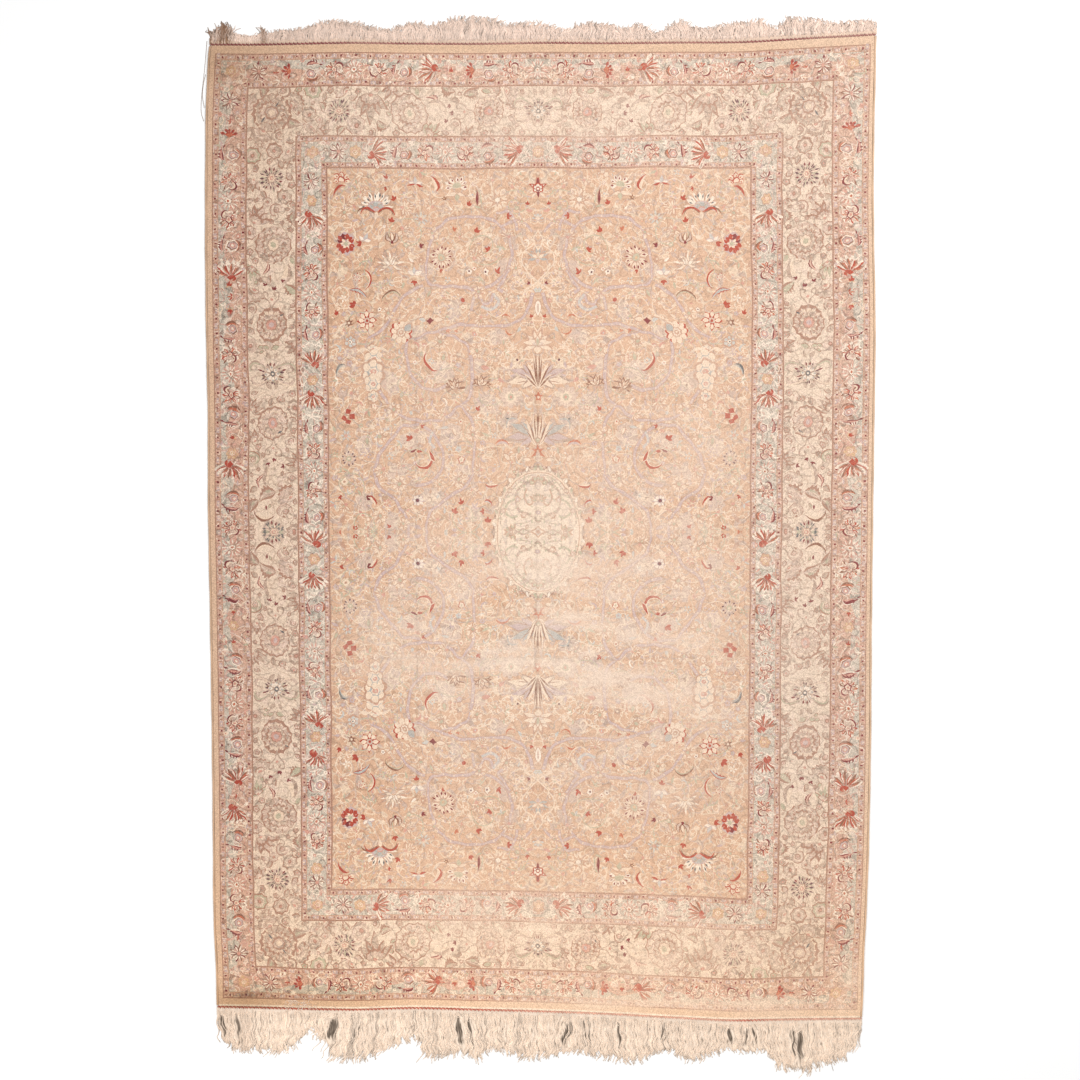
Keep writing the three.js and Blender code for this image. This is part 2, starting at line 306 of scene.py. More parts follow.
@dataclass(frozen=True)
class Age:
    """Where the rug has faded, grown pale with use or been stained, with painted light: the pale patches are
    partly painted sheen, the left side has painted shade, and the folds have painted shade and highlight. In
    the frame's millimetres.
    """

    # Patches where the pile is paler, partly faded and partly painted sheen: the place across and along, the
    # half-widths across and along, and the strength.
    wear_and_sheen_patches: tuple = (
        (-10, -190, 560, 230, 0.30),
        (330, -420, 330, 160, 0.35),
        (-330, -330, 300, 150, 0.26),
        (60, 60, 420, 330, 0.22),
        (420, 330, 260, 300, 0.16),
        (-420, 470, 260, 220, 0.10),
        (200, -700, 420, 120, 0.22),
        (500, -1290, 420, 60, 0.25),
        (780, -300, 60, 420, 0.18),
        (-200, -960, 240, 90, 0.10),
        (80, 1300, 760, 130, 0.26),
        (80, -1140, 760, 140, 0.32),
        (640, -1397, 420, 28, 0.5),
        (150, -1397, 420, 26, 0.34),
        (975, -1400, 55, 120, 0.45),
        (800, -1452, 220, 26, 0.4),
    )
    stains: tuple = (
        (-930, -1390, 110, 40, 0.20),
        (-960, 1480, 130, 60, 0.14),
        (-690, -1372, 250, 45, 0.15),
        (-911, -1367, 42, 9, 0.26),
        (-100, 1526, 900, 13, 0.12),
        (860, -1180, 90, 30, 0.06),
        (-850, 1330, 210, 190, 0.04),
    )
    # Painted shade along the folds, and painted highlight where the strength is below nought: the place
    # across the fold, its width, where it starts and where it ends, all in metres, 1 where it runs along the
    # rug and 0 where it runs across, and the strength.
    folds: tuple = (
        (-0.523, 0.0045, -0.34, 0.68, 1.0, 0.17),
        (-0.379, 0.0045, -0.92, 0.80, 1.0, 0.17),
        (-0.014, 0.0045, -0.62, 0.66, 1.0, 0.17),
        (0.339, 0.0050, -0.60, 0.74, 1.0, 0.09),
        (-0.470, 0.0050, 0.45, 1.25, 1.0, 0.07),
        (-0.030, 0.0060, -1.44, -1.02, 1.0, -0.10),
        (0.343, 0.0050, -1.44, -1.28, 1.0, -0.14),
        (-0.018, 0.0060, 1.36, 1.56, 1.0, 0.12),
        (0.181, 0.0040, -0.66, 0.66, 0.0, 0.10),
        (0.037, 0.0045, 0.10, 0.66, 0.0, 0.14),
        (-0.162, 0.0040, -0.66, 0.10, 0.0, 0.08),
        (-0.318, 0.0060, -0.66, 0.66, 0.0, 0.09),
        (-0.553, 0.0050, -0.30, 0.66, 0.0, 0.09),
        (-1.160, 0.0040, 0.72, 1.02, 0.0, 0.24),
        (0.662, 0.0040, -0.66, -0.20, 0.0, 0.06),
    )
    kept: tuple = (
        (-10, -330, 440, 300, 0.30), (-9, 68, 150, 220, 0.16), (700, -100, 90, 900, 0.10),
        (-835, 0, 70, 1700, -0.17), (-600, 1230, 400, 60, -0.10), (-930, 1440, 160, 160, -0.2),
    )
    level: float = 0.87

    def patches(self, rows: tuple, x: np.ndarray, y: np.ndarray) -> np.ndarray:
        """The sum of soft round patches: each row's strength times a bell of its own two half-widths."""
        total = np.zeros_like(x)
        for at_x, at_y, wide, long, strength in rows:
            total += strength * np.exp(-(((x - at_x) / wide) ** 2) - ((y - at_y) / long) ** 2)
        return total

    def wear_and_sheen(self, x: np.ndarray, y: np.ndarray) -> np.ndarray:
        """The share by which the yarns have paled towards the bare ground, partly by fading and partly as
        painted sheen.
        """
        return np.clip(self.patches(self.wear_and_sheen_patches, x, y), 0, 0.8)

    def depth(self, x: np.ndarray, y: np.ndarray) -> np.ndarray:
        """How much stronger the yarns differ where the pattern is better kept: at the left and in patches."""
        return 0.26 * np.clip((-x - 330.0) / 200.0, 0, 1) + self.patches(self.kept, x, y)

    def tone(self, x: np.ndarray, y: np.ndarray) -> np.ndarray:
        """A factor for red, green and blue: painted shade on the left, duller to the right, warmer below,
        browner where stained.
        """
        # Painted shade: the left side is darker, as the light falls off towards it.
        left = np.clip((-x - 330.0) / 680.0, 0, 1)
        right = np.clip((x - 450.0) / 300.0, 0, 1)
        low = np.clip((-y - 650.0) / 700.0, 0, 1)
        stain = self.patches(self.stains, x, y)
        dull = self.level * (1 - 0.23 * left - 0.07 * right - stain)
        return np.column_stack((
            dull * (1 + 0.14 * low + 0.03 * left), dull * (1 + 0.08 * low - 0.02 * left - 0.3 * stain),
            dull * (1 - 0.05 * left - 0.01 * low - 0.7 * stain),
        ))


AGE = Age()


def disc(radius: float, steps: int = 8, tall: float = 1.0) -> np.ndarray:
    """An ellipse: x is the radius times the sine of the angle, y is that times tall with the cosine."""
    angle = 2 * np.pi * np.arange(steps) / steps
    return np.column_stack((radius * np.sin(angle), radius * tall * np.cos(angle)))


def lobed(radius: float, lobes: int, depth: float, per_lobe: int = 4, tall: float = 1.0) -> np.ndarray:
    """A flower's outline: the radius less a share depth where the sine of half the lobes' angle is nought."""
    angle = 2 * np.pi * np.arange(lobes * per_lobe) / (lobes * per_lobe)
    reach = radius * (1 - depth + depth * np.abs(np.sin(lobes * angle / 2 + np.pi / 2)))
    return np.column_stack((reach * np.sin(angle), reach * tall * np.cos(angle)))


def petal(length: float, width: float, base: float = 0.0, steps: int = 4, belly: float = 0.8) -> np.ndarray:
    """A pointed petal up from the base: half its width times the sine of pi times share to the belly."""
    share = np.linspace(0, 1, steps + 1)
    half = 0.5 * width * np.sin(np.pi * share**belly)
    up = base + length * share
    right = np.column_stack((half, up))
    left = np.column_stack((-half, up))[::-1]
    return np.vstack((left, right[1:-1]))


def ribbon(path: np.ndarray, width: np.ndarray) -> np.ndarray:
    """A band along a path: half the width to each side, at right angles to the path."""
    ahead = np.gradient(path, axis=0)
    ahead /= np.maximum(np.linalg.norm(ahead, axis=1, keepdims=True), 1e-9)
    out = np.column_stack((ahead[:, 1], -ahead[:, 0])) * (np.broadcast_to(width, len(path)) / 2)[:, None]
    return np.vstack((path + out, (path - out)[::-1]))


def scallops(radius: float, lobes: int, span: float, depth: float = 0.18, per_lobe: int = 3) -> np.ndarray:
    """Half a flower's outline: an arc whose radius dips by a share depth between its lobes, and a foot.

    Args:
        radius: To the scallops' tops.
        lobes: How many scallops.
        span: The arc's angle in degrees.
        depth: How deep they are.
        per_lobe: Points on each.

    Returns:
        The outline.
    """
    share = np.linspace(0, 1, lobes * per_lobe + 1)
    angle = np.radians(span) * (share - 0.5)
    reach = radius * (1 - depth + depth * np.abs(np.sin(np.pi * lobes * share)))
    return np.vstack(
        (np.column_stack((reach * np.sin(angle), reach * np.cos(angle))), [[0.0, -0.12 * radius]])
    )


def through(points: tuple, step: float = 2.4) -> np.ndarray:
    """A smooth path through the points: cubics that leave each one along the line of its neighbours.

    Args:
        points: The places, in order.
        step: About how far apart the path's points are.

    Returns:
        The path's points, two columns.
    """
    rows = np.asarray(points, float)
    gaps = np.maximum(np.linalg.norm(np.diff(rows, axis=0), axis=1), 1e-6)
    at = np.concatenate(([0.0], np.cumsum(gaps)))
    count = max(3, int(at[-1] / step) + 1)
    places = np.linspace(0, at[-1], count)
    return np.column_stack((flowing(at, rows[:, 0], places), flowing(at, rows[:, 1], places)))


def bow(radius: float, start: float, end: float, steps: int = 8) -> np.ndarray:
    """Points on a circle about the spot, from one angle to another, in degrees clockwise from up."""
    angle = np.radians(np.linspace(start, end, steps + 1))
    return np.column_stack((radius * np.sin(angle), radius * np.cos(angle)))


def tapered(count: int, width: float, least: float = 0.25) -> np.ndarray:
    """Widths for a band that swells in the middle: the sine of pi times the share, and never under least."""
    return np.maximum(width * np.sin(np.pi * np.linspace(0, 1, count)), least)


@dataclass(frozen=True)
class Spot:
    """A place on the chart: squares right of and up from the middle, and degrees turned clockwise."""

    x: float
    y: float
    turn: float = 0.0
    size: float = 1.0
    flip: bool = False

    def place(self, points: np.ndarray) -> np.ndarray:
        """Turns, sizes and moves points drawn about the origin with up as their front."""
        angle = math.radians(self.turn)
        across = points[:, 0] * self.size * (-1.0 if self.flip else 1.0)
        along = points[:, 1] * self.size
        return np.column_stack((
            self.x + across * math.cos(angle) + along * math.sin(angle),
            self.y - across * math.sin(angle) + along * math.cos(angle),
        ))

    def step(self, x: float = 0.0, y: float = 0.0, turn: float = 0.0, size: float = 1.0) -> "Spot":
        """A spot that is moved and turned as seen from this one."""
        there = self.place(np.array([[x, y]]))[0]
        side = -1.0 if self.flip else 1.0
        return Spot(float(there[0]), float(there[1]), self.turn + side * turn, self.size * size, self.flip)


HERE = Spot(0.0, 0.0)


@dataclass
class Chart:
    """A knotting chart: patches of yarn in squares, each over those of lower layers and earlier ones."""

    region: np.ndarray
    ground: Yarn
    mirror_ends: bool
    seed: int
    patches: list = field(default_factory=list)
    claims: list = field(default_factory=list)
    layer: int = 0

    def __post_init__(self) -> None:
        """Starts the random draws of this chart's scattered motifs."""
        self.rng = np.random.default_rng(self.seed)

    def lay(self, outline: np.ndarray, yarn: Yarn, spot: Spot = HERE) -> None:
        """Lays one patch of yarn.

        Args:
            outline: Its corners about the spot.
            yarn: The silk it is knotted in.
            spot: Where it goes. There it gets a hand's small errors of size, slant and place.
        """
        if spot is not HERE:
            size, slant, miss = self.rng.uniform(-1, 1, (3, 2)) * ((0.1,), (0.08,), (0.22,))
            outline = outline * (1 + size) + outline[:, ::-1] * slant + miss
        points = spot.place(outline)
        turned = np.roll(points, -1, axis=0)
        if np.sum(points[:, 0] * turned[:, 1] - turned[:, 0] * points[:, 1]) < 0:
            points = points[::-1]
        self.patches.append((self.layer, len(self.patches), np.round(points, 2), YARN_INDEX[yarn]))

    def claim(self, spot: Spot, radius: float) -> None:
        """Keeps scattered motifs off a round place."""
        self.claims.append((spot.x, spot.y, radius * spot.size))

    def band(self, path: np.ndarray, width: float, yarn: Yarn, piece: int = 10) -> None:
        """A long band, laid in short lengths so that it may cross itself."""
        widths = np.broadcast_to(width, len(path))
        for start in range(0, len(path) - 1, piece):
            part = slice(start, min(start + piece + 1, len(path)))
            if part.stop - part.start > 1:
                self.lay(ribbon(path[part], widths[part]), yarn)

    def daisy(self, spot: Spot, radius: float, petals: int, yarns: tuple) -> None:
        """A flower of narrow petals round a heart.

        Args:
            spot: Its middle.
            radius: To the tips of the petals.
            petals: How many.
            yarns: Rim or None, petals, tips or None, heart and the heart's middle.
        """
        rim, body, tip, heart, middle = yarns
        if rim:
            self.lay(lobed(radius + 0.9, petals, 0.1, 2), rim, spot)
        width = 2 * math.pi * 0.74 * radius / petals * 0.86
        for index in range(petals):
            place = spot.step(turn=360.0 * index / petals)
            self.lay(petal(radius * 0.68, width, radius * 0.32, 3, 1.2), body, place)
            if tip:
                self.lay(petal(radius * 0.34, width * 0.55, radius * 0.62, 2), tip, place)
        self.lay(disc(radius * 0.32, 8), heart, spot)
        self.lay(disc(radius * 0.15, 6), middle, spot)
        self.claim(spot, radius + 1)

    def rosette(self, spot: Spot, radius: float, lobes: int, yarns: tuple, tall: float = 1.0) -> None:
        """A flower of rings inside one another, each scalloped, with lines between its outer petals.

        Args:
            spot: Its middle.
            radius: To the outer scallops.
            lobes: How many scallops.
            yarns: Rim, outer petals, lines, inner petals, heart and the heart's middle.
            tall: Its height over its width.
        """
        rim, outer, lines, inner, heart, middle = yarns
        if rim:
            self.lay(lobed(radius + 0.9, lobes, 0.2, 4, tall), rim, spot)
        self.lay(lobed(radius, lobes, 0.24, 4, tall), outer, spot)
        if lines and radius > 4:
            for index in range(lobes):
                place = spot.step(turn=360.0 * (index + 0.5) / lobes)
                self.lay(petal(radius * 0.34, 0.9, radius * 0.52, 2), lines, place)
        if radius > 3.2:
            self.lay(
                lobed(radius * 0.56, lobes, 0.2, 2, tall), lines or rim or heart,
                spot.step(turn=180.0 / lobes)
            )
            self.lay(lobed(radius * 0.46, lobes, 0.2, 2, tall), inner, spot.step(turn=180.0 / lobes))
        self.lay(disc(radius * 0.28, 7), heart, spot)
        if radius > 5:
            self.lay(disc(radius * 0.13, 5), middle, spot)
        self.claim(spot, radius * max(1.0, tall) + 1)

    def fan(self, spot: Spot, radius: float, petals: int, span: float, yarns: tuple) -> None:
        """Half a flower: petals fanned out about up, each with a drop, over a scalloped heart.

        Args:
            spot: The middle of the fan.
            radius: To the petals' tips.
            petals: How many.
            span: The fan's angle in degrees.
            yarns: Rim or None, petals, drops or None, heart and the heart's edge.
        """
        rim, body, drop, heart, edge = yarns
        width = math.radians(span) * 0.74 * radius / petals
        for index in range(petals):
            place = spot.step(turn=-span / 2 + span * index / (petals - 1))
            if rim:
                self.lay(petal(radius * 0.72, width * 1.35, radius * 0.36, 4, 1.3), rim, place)
            self.lay(petal(radius * 0.66, width, radius * 0.36, 4, 1.3), body, place)
            if drop:
                self.lay(petal(radius * 0.28, width * 0.46, radius * 0.6, 2), drop, place)
        half = np.vstack((bow(radius * 0.5, -span / 2 - 8, span / 2 + 8, 8), [[0.0, -radius * 0.2]]))
        self.lay(half, edge, spot)
        self.lay(half * 0.8, heart, spot)
        self.claim(spot, radius + 1)

    def wings(self, spot: Spot, half: float, thick: float, yarn: Yarn, lining: Yarn) -> None:
        """The two curved sepals under a palmette: a band from the middle over a hump and down, each side."""
        for side in (-1, 1):
            path = through((
                (0, -half * 0.34), (side * half * 0.28, -half * 0.08), (side * half * 0.58, half * 0.05),
                (side * half * 0.84, -half * 0.06), (side * half, -half * 0.32),
            ), 2.0)
            under = path + np.array([side * half * 0.03, -thick * 0.62])
            self.lay(ribbon(under, tapered(len(path), thick, 0.5)), lining, spot)
            self.lay(ribbon(path, tapered(len(path), thick, 0.8)), yarn, spot)

    def tulip(self, spot: Spot, height: float, yarns: tuple) -> None:
        """A three-petalled bloom seen from the side.

        Args:
            spot: Its foot.
            height: To the middle petal's tip.
            yarns: Edge, petals, the middle petal and the foot.
        """
        edge, body, middle, foot = yarns
        for side in (-1, 1):
            path = through(
                ((0, 0), (side * height * 0.42, height * 0.3), (side * height * 0.38, height * 0.86)), 1.6
            )
            self.lay(ribbon(path, tapered(len(path), height * 0.44, 0.9)), edge, spot)
            self.lay(ribbon(path, tapered(len(path), height * 0.24, 0.3)), body, spot)
        self.lay(petal(height, height * 0.46, 0, 4), edge, spot)
        self.lay(petal(height * 0.8, height * 0.26, height * 0.1, 4), middle, spot)
        self.lay(lobed(height * 0.16, 3, 0.3, 2), foot, spot)
        self.claim(spot.step(0, height * 0.5), height * 0.7)

    def bud(self, spot: Spot, height: float, yarn: Yarn, leaf: Yarn | None = None) -> None:
        """A closed bud of three lobes on two small leaves."""
        if leaf:
            for side in (-1, 1):
                self.lay(petal(height * 0.7, height * 0.3, 0, 3), leaf, spot.step(0, 0, side * 105))
        for angle, long in ((-44, 0.72), (44, 0.72), (0, 1.0)):
            self.lay(petal(height * long, height * 0.42, 0, 3), yarn, spot.step(0, 0, angle))
        self.claim(spot.step(0, height * 0.4), height * 0.7)

    def sickle(self, spot: Spot, radius: float, start: float, end: float, width: float, yarns: tuple) -> None:
        """A crescent leaf: a band on a circle that swells in the middle, with a paler one inside it.

        Args:
            spot: The circle's middle.
            radius: The circle's radius.
            start: The first angle.
            end: The last angle.
            width: The band's greatest width.
            yarns: The outer band and the inner one or None.
        """
        outer, inner = yarns
        steps = max(6, int(abs(end - start) / 18))
        if inner:
            path = bow(radius - width * 0.55, start, end, steps)
            self.lay(ribbon(path, tapered(len(path), width * 1.3, 0.3)), inner, spot)
        path = bow(radius, start, end, steps)
        self.lay(ribbon(path, tapered(len(path), width, 0.4)), outer, spot)
        middle = math.radians((start + end) / 2)
        self.claim(spot.step(radius * 0.6 * math.sin(middle), radius * 0.6 * math.cos(middle)), radius * 0.75)

    def toothed(self, spot: Spot, length: float, width: float, bend: float, teeth: int, yarns: tuple) -> None:
        """A leaf with a toothed edge: its spine bows sideways, its outer edge rises and falls by teeth.

        Args:
            spot: Its foot.
            length: From foot to tip.
            width: Its greatest width.
            bend: How far the spine bows.
            teeth: Teeth along the outer edge.
            yarns: Edge, leaf and spine.
        """
        edge, body, spine = yarns
        share = np.linspace(0, 1, teeth * 2 + 1)
        line = np.column_stack((bend * np.sin(np.pi * share), length * share))
        swell = np.sin(np.pi * share**0.8)
        saw = np.where(np.arange(len(share)) % 2 == 1, 1.0, 0.62)
        for grow, yarn in ((1.0, edge), (0.55, body)):
            outer = line + np.column_stack((width * 0.62 * swell * saw * grow, np.zeros_like(share)))
            inner = line - np.column_stack((width * 0.38 * swell * grow, np.zeros_like(share)))
            self.lay(np.vstack((outer, inner[::-1][1:-1])), yarn, spot)
        self.lay(ribbon(line[1:-1], 0.6), spine, spot)
        self.claim(spot.step(bend * 0.6, length * 0.5), length * 0.5)

    def lyre(self, spot: Spot, size: float, yarn: Yarn, dot: Yarn) -> None:
        """Two hooked curls back to back on a stem."""
        for side in (-1, 1):
            path = through((
                (0, -size), (side * size * 0.25, -size * 0.2), (side * size * 0.7, size * 0.3),
                (side * size * 0.75, size * 0.85), (side * size * 0.3, size * 0.8),
                (side * size * 0.38, size * 0.45),
            ), 1.3)
            self.lay(ribbon(path, np.linspace(1.1, 1.5, len(path))), yarn, spot)
        self.lay(disc(size * 0.16, 5), dot, spot.step(0, size * 0.1))
        self.claim(spot, size)

    def lotus(self, spot: Spot, radius: float, yarns: tuple) -> None:
        """A pointed bloom in two rows of petals over a lobed foot.

        Args:
            spot: Its middle.
            radius: To the tips of the longest petals.
            yarns: Edge, outer petals, inner petals, heart and foot.
        """
        edge, outer, inner, heart, foot = yarns
        for angle in (-104, 104, -74, 74, -44, 44, -16, 16):
            place = spot.step(0, -radius * 0.1, angle)
            self.lay(petal(radius * 0.98, radius * 0.4, radius * 0.1, 4, 0.9), edge, place)
            self.lay(petal(radius * 0.78, radius * 0.24, radius * 0.16, 4, 0.9), outer, place)
        for angle in (-52, 52, 0):
            place = spot.step(0, -radius * 0.14, angle)
            self.lay(petal(radius * 0.74, radius * 0.42, 0, 4), edge, place)
            self.lay(petal(radius * 0.6, radius * 0.26, radius * 0.04, 4), inner, place)
        self.lay(petal(radius * 0.4, radius * 0.2, -radius * 0.1, 3), heart, spot)
        self.lay(lobed(radius * 0.26, 3, 0.35, 3), foot, spot.step(0, -radius * 0.42, 180))
        self.claim(spot, radius + 1)

    def star(
        self, spot: Spot, radius: float, points: int, inner: float, yarn: Yarn, heart: Yarn | None
    ) -> None:
        """A star with sharp rays: the corners lie on two circles by turns."""
        angle = np.pi * np.arange(points * 2) / points
        reach = np.where(np.arange(points * 2) % 2 == 0, radius, inner)
        self.lay(np.column_stack((reach * np.sin(angle), reach * np.cos(angle))), yarn, spot)
        if heart:
            self.lay(disc(inner * 0.6, 6), heart, spot)
        self.claim(spot, radius)

    def floret(self, spot: Spot, radius: float, lobes: int, yarns: tuple) -> None:
        """A tiny flower: a scalloped rim, its petals and a heart."""
        rim, body, heart = yarns
        if rim:
            self.lay(lobed(radius + 0.7, lobes, 0.22, 2), rim, spot)
        self.lay(lobed(radius, lobes, 0.3, 2), body, spot)
        self.lay(disc(radius * 0.34, 5), heart, spot)
        self.claim(spot, radius + 0.4)

    def leaf(self, spot: Spot, length: float, width: float, yarn: Yarn, edge: Yarn | None = None) -> None:
        """A plain pointed leaf, with an edge where one is given."""
        if edge:
            self.lay(petal(length + 1.2, width + 1.3, -0.6, 4), edge, spot)
        self.lay(petal(length, width, 0, 4), yarn, spot)

    def vine(
        self, points: tuple, yarn: Yarn, width: float = 0.9, leaf: Yarn | None = None, every: int = 3
    ) -> None:
        """A thin stem through the points, with leaves to its left and right by turns."""
        path = through(points)
        self.band(path, width, yarn)
        if leaf:
            ahead = np.gradient(path, axis=0)
            angle = np.degrees(np.arctan2(ahead[:, 0], ahead[:, 1]))
            for count, index in enumerate(range(2, len(path) - 1, every)):
                side = 1 if count % 2 else -1
                self.leaf(Spot(path[index, 0], path[index, 1], angle[index] + side * 52), 3.6, 1.5, leaf)

    def scroll(
        self, spot: Spot, radius: float, turns: float, stem: Yarn, leaf: Yarn, width: float = 0.9
    ) -> None:
        """A spiral stem: its radius shrinks with the share along it, and leaves grow from its outer side.

        Args:
            spot: The spiral's middle; its turn is where the stem starts.
            radius: The outer radius.
            turns: Whole turns.
            stem: The stem's yarn.
            leaf: The leaves' yarn.
            width: The stem's width.
        """
        count = max(12, int(2 * math.pi * radius * turns * 0.55 / 2.4))
        share = np.linspace(0, 1, count)
        angle = 2 * math.pi * turns * share
        reach = radius * (1 - 0.82 * share)
        path = spot.place(np.column_stack((reach * np.sin(angle), reach * np.cos(angle))))
        self.band(path, width, stem)
        ahead = np.gradient(path, axis=0)
        heading = np.degrees(np.arctan2(ahead[:, 0], ahead[:, 1]))
        for number, index in enumerate(range(1, count - 2, 3)):
            side = 1 if number % 2 else -1
            place = Spot(path[index, 0], path[index, 1], heading[index] + side * 50)
            self.leaf(place, 4.2 - share[index], 1.7, leaf)

    def cloud(self, points: tuple, width: float, body: Yarn, edge: Yarn, bead: Yarn) -> None:
        """A knotted cloud band: a flat ribbon with an edge on both hands and beads along its middle."""
        path = through(points, 3.0)
        sway = np.sin(np.arange(len(path)) * 1.1)[:, None] * 0.35
        path = path + sway * np.column_stack((np.gradient(path[:, 1]), -np.gradient(path[:, 0]))) / 3.0
        self.band(path, width + 1.3, edge, 6)
        self.band(path, width, body, 6)
        for index in range(1, len(path) - 1, 3):
            self.lay(disc(0.8, 5), bead, Spot(path[index, 0], path[index, 1]))
            self.claims.append((path[index, 0], path[index, 1], width * 0.5 + 1.4))

    def sow(self, tries: int, box: tuple, sizes: tuple, draw: object, gap: float = 0.4) -> list:
        """Scatters small motifs wherever they don't touch one another or a claimed place.

        Args:
            tries: How many places are tried.
            box: Least x, least y, greatest x and greatest y.
            sizes: The least and greatest radius; the larger ones come first.
            draw: Called with each spot and radius.
            gap: The least distance between two motifs.

        Returns:
            The x, y and radius of each motif sown.
        """
        places = self.rng.uniform((box[0], box[1]), (box[2], box[3]), (tries, 2))
        radii = sizes[1] + (sizes[0] - sizes[1]) * np.linspace(0, 1, tries)
        turns = self.rng.uniform(0, 360, tries)
        held = np.array(self.claims, float).reshape(-1, 3)
        sown = []
        for (x, y), radius, turn in zip(places, radii, turns):
            apart = np.hypot(held[:, 0] - x, held[:, 1] - y) - held[:, 2]
            if len(apart) and apart.min() < radius + gap:
                continue
            held = np.vstack((held, (x, y, radius)))
            sown.append((float(x), float(y), float(radius)))
            draw(Spot(float(x), float(y), float(turn)), float(radius))
        self.claims.extend(sown)
        return sown

    def link(self, sown: list, yarn: Yarn, width: float, reach: float, bulge: float = 0.3) -> None:
        """Joins each sown motif to its two nearest neighbours by bowed stems.

        Args:
            sown: The motifs' places.
            yarn: The stems' yarn.
            width: The stems' width.
            reach: The longest stem.
            bulge: How far a stem bows, as a share of its length.
        """
        places = np.array(sown)[:, :2]
        for index, (x, y) in enumerate(places):
            far = np.hypot(places[:, 0] - x, places[:, 1] - y)
            for other in np.argsort(far)[1:3]:
                if far[other] > reach or (other < index and far[other] < reach * 0.4):
                    continue
                middle = (places[index] + places[other]) / 2
                across = np.array([y - places[other, 1], places[other, 0] - x])
                across = across * (bulge if index % 2 else -bulge)
                self.band(through((places[index], middle + across, places[other]), 2.2), width, yarn)


def rectangle(low_x: float, low_y: float, high_x: float, high_y: float) -> np.ndarray:
    """The four corners of an upright rectangle."""
    return np.array([[low_x, low_y], [high_x, low_y], [high_x, high_y], [low_x, high_y]], float)


def half_ring(outer: float, inner: float) -> np.ndarray:
    """The left half of a band round the rug, between two distances from the rim, in squares."""
    far_x, far_y = HALF_WIDE - outer, HALF_LONG - outer
    near_x, near_y = HALF_WIDE - inner, HALF_LONG - inner
    return np.array([
        [0, far_y], [-far_x, far_y], [-far_x, -far_y], [0, -far_y],
        [0, -near_y], [-near_x, -near_y], [-near_x, near_y], [0, near_y],
    ], float)


def quarter_ring(outer: float, inner: float) -> np.ndarray:
    """The upper left quarter of a band round the rug, between two distances from the rim, in squares."""
    far_x, far_y = HALF_WIDE - outer, HALF_LONG - outer
    near_x, near_y = HALF_WIDE - inner, HALF_LONG - inner
    return np.array(
        [[0, far_y], [-far_x, far_y], [-far_x, 0], [-near_x, 0], [-near_x, near_y], [0, near_y]], float
    )


class Side(Enum):
    """The sides that a border's chart runs along."""

    TOP = "top"
    BOTTOM = "bottom"
    LEFT = "left"


@dataclass(frozen=True)
class Course:
    """Walks along one band of a border: along runs right or up, off runs outwards from its middle."""

    side: Side
    depth: float

    def spot(self, along: float, off: float = 0.0, turn: float = 0.0, size: float = 1.0) -> Spot:
        """A spot whose up is outwards at a turn of nought."""
        if self.side is Side.TOP:
            return Spot(along, HALF_LONG - self.depth + off, turn, size)
        if self.side is Side.BOTTOM:
            return Spot(along, self.depth - HALF_LONG - off, 180.0 + turn, size)
        return Spot(self.depth - HALF_WIDE - off, along, -90.0 + turn, size)


class Bloom(Enum):
    """How a pale flower of the field is drawn."""

    SCALLOPS = 0
    RAYS = 1
    LOTUS = 2
    PALMETTE = 3


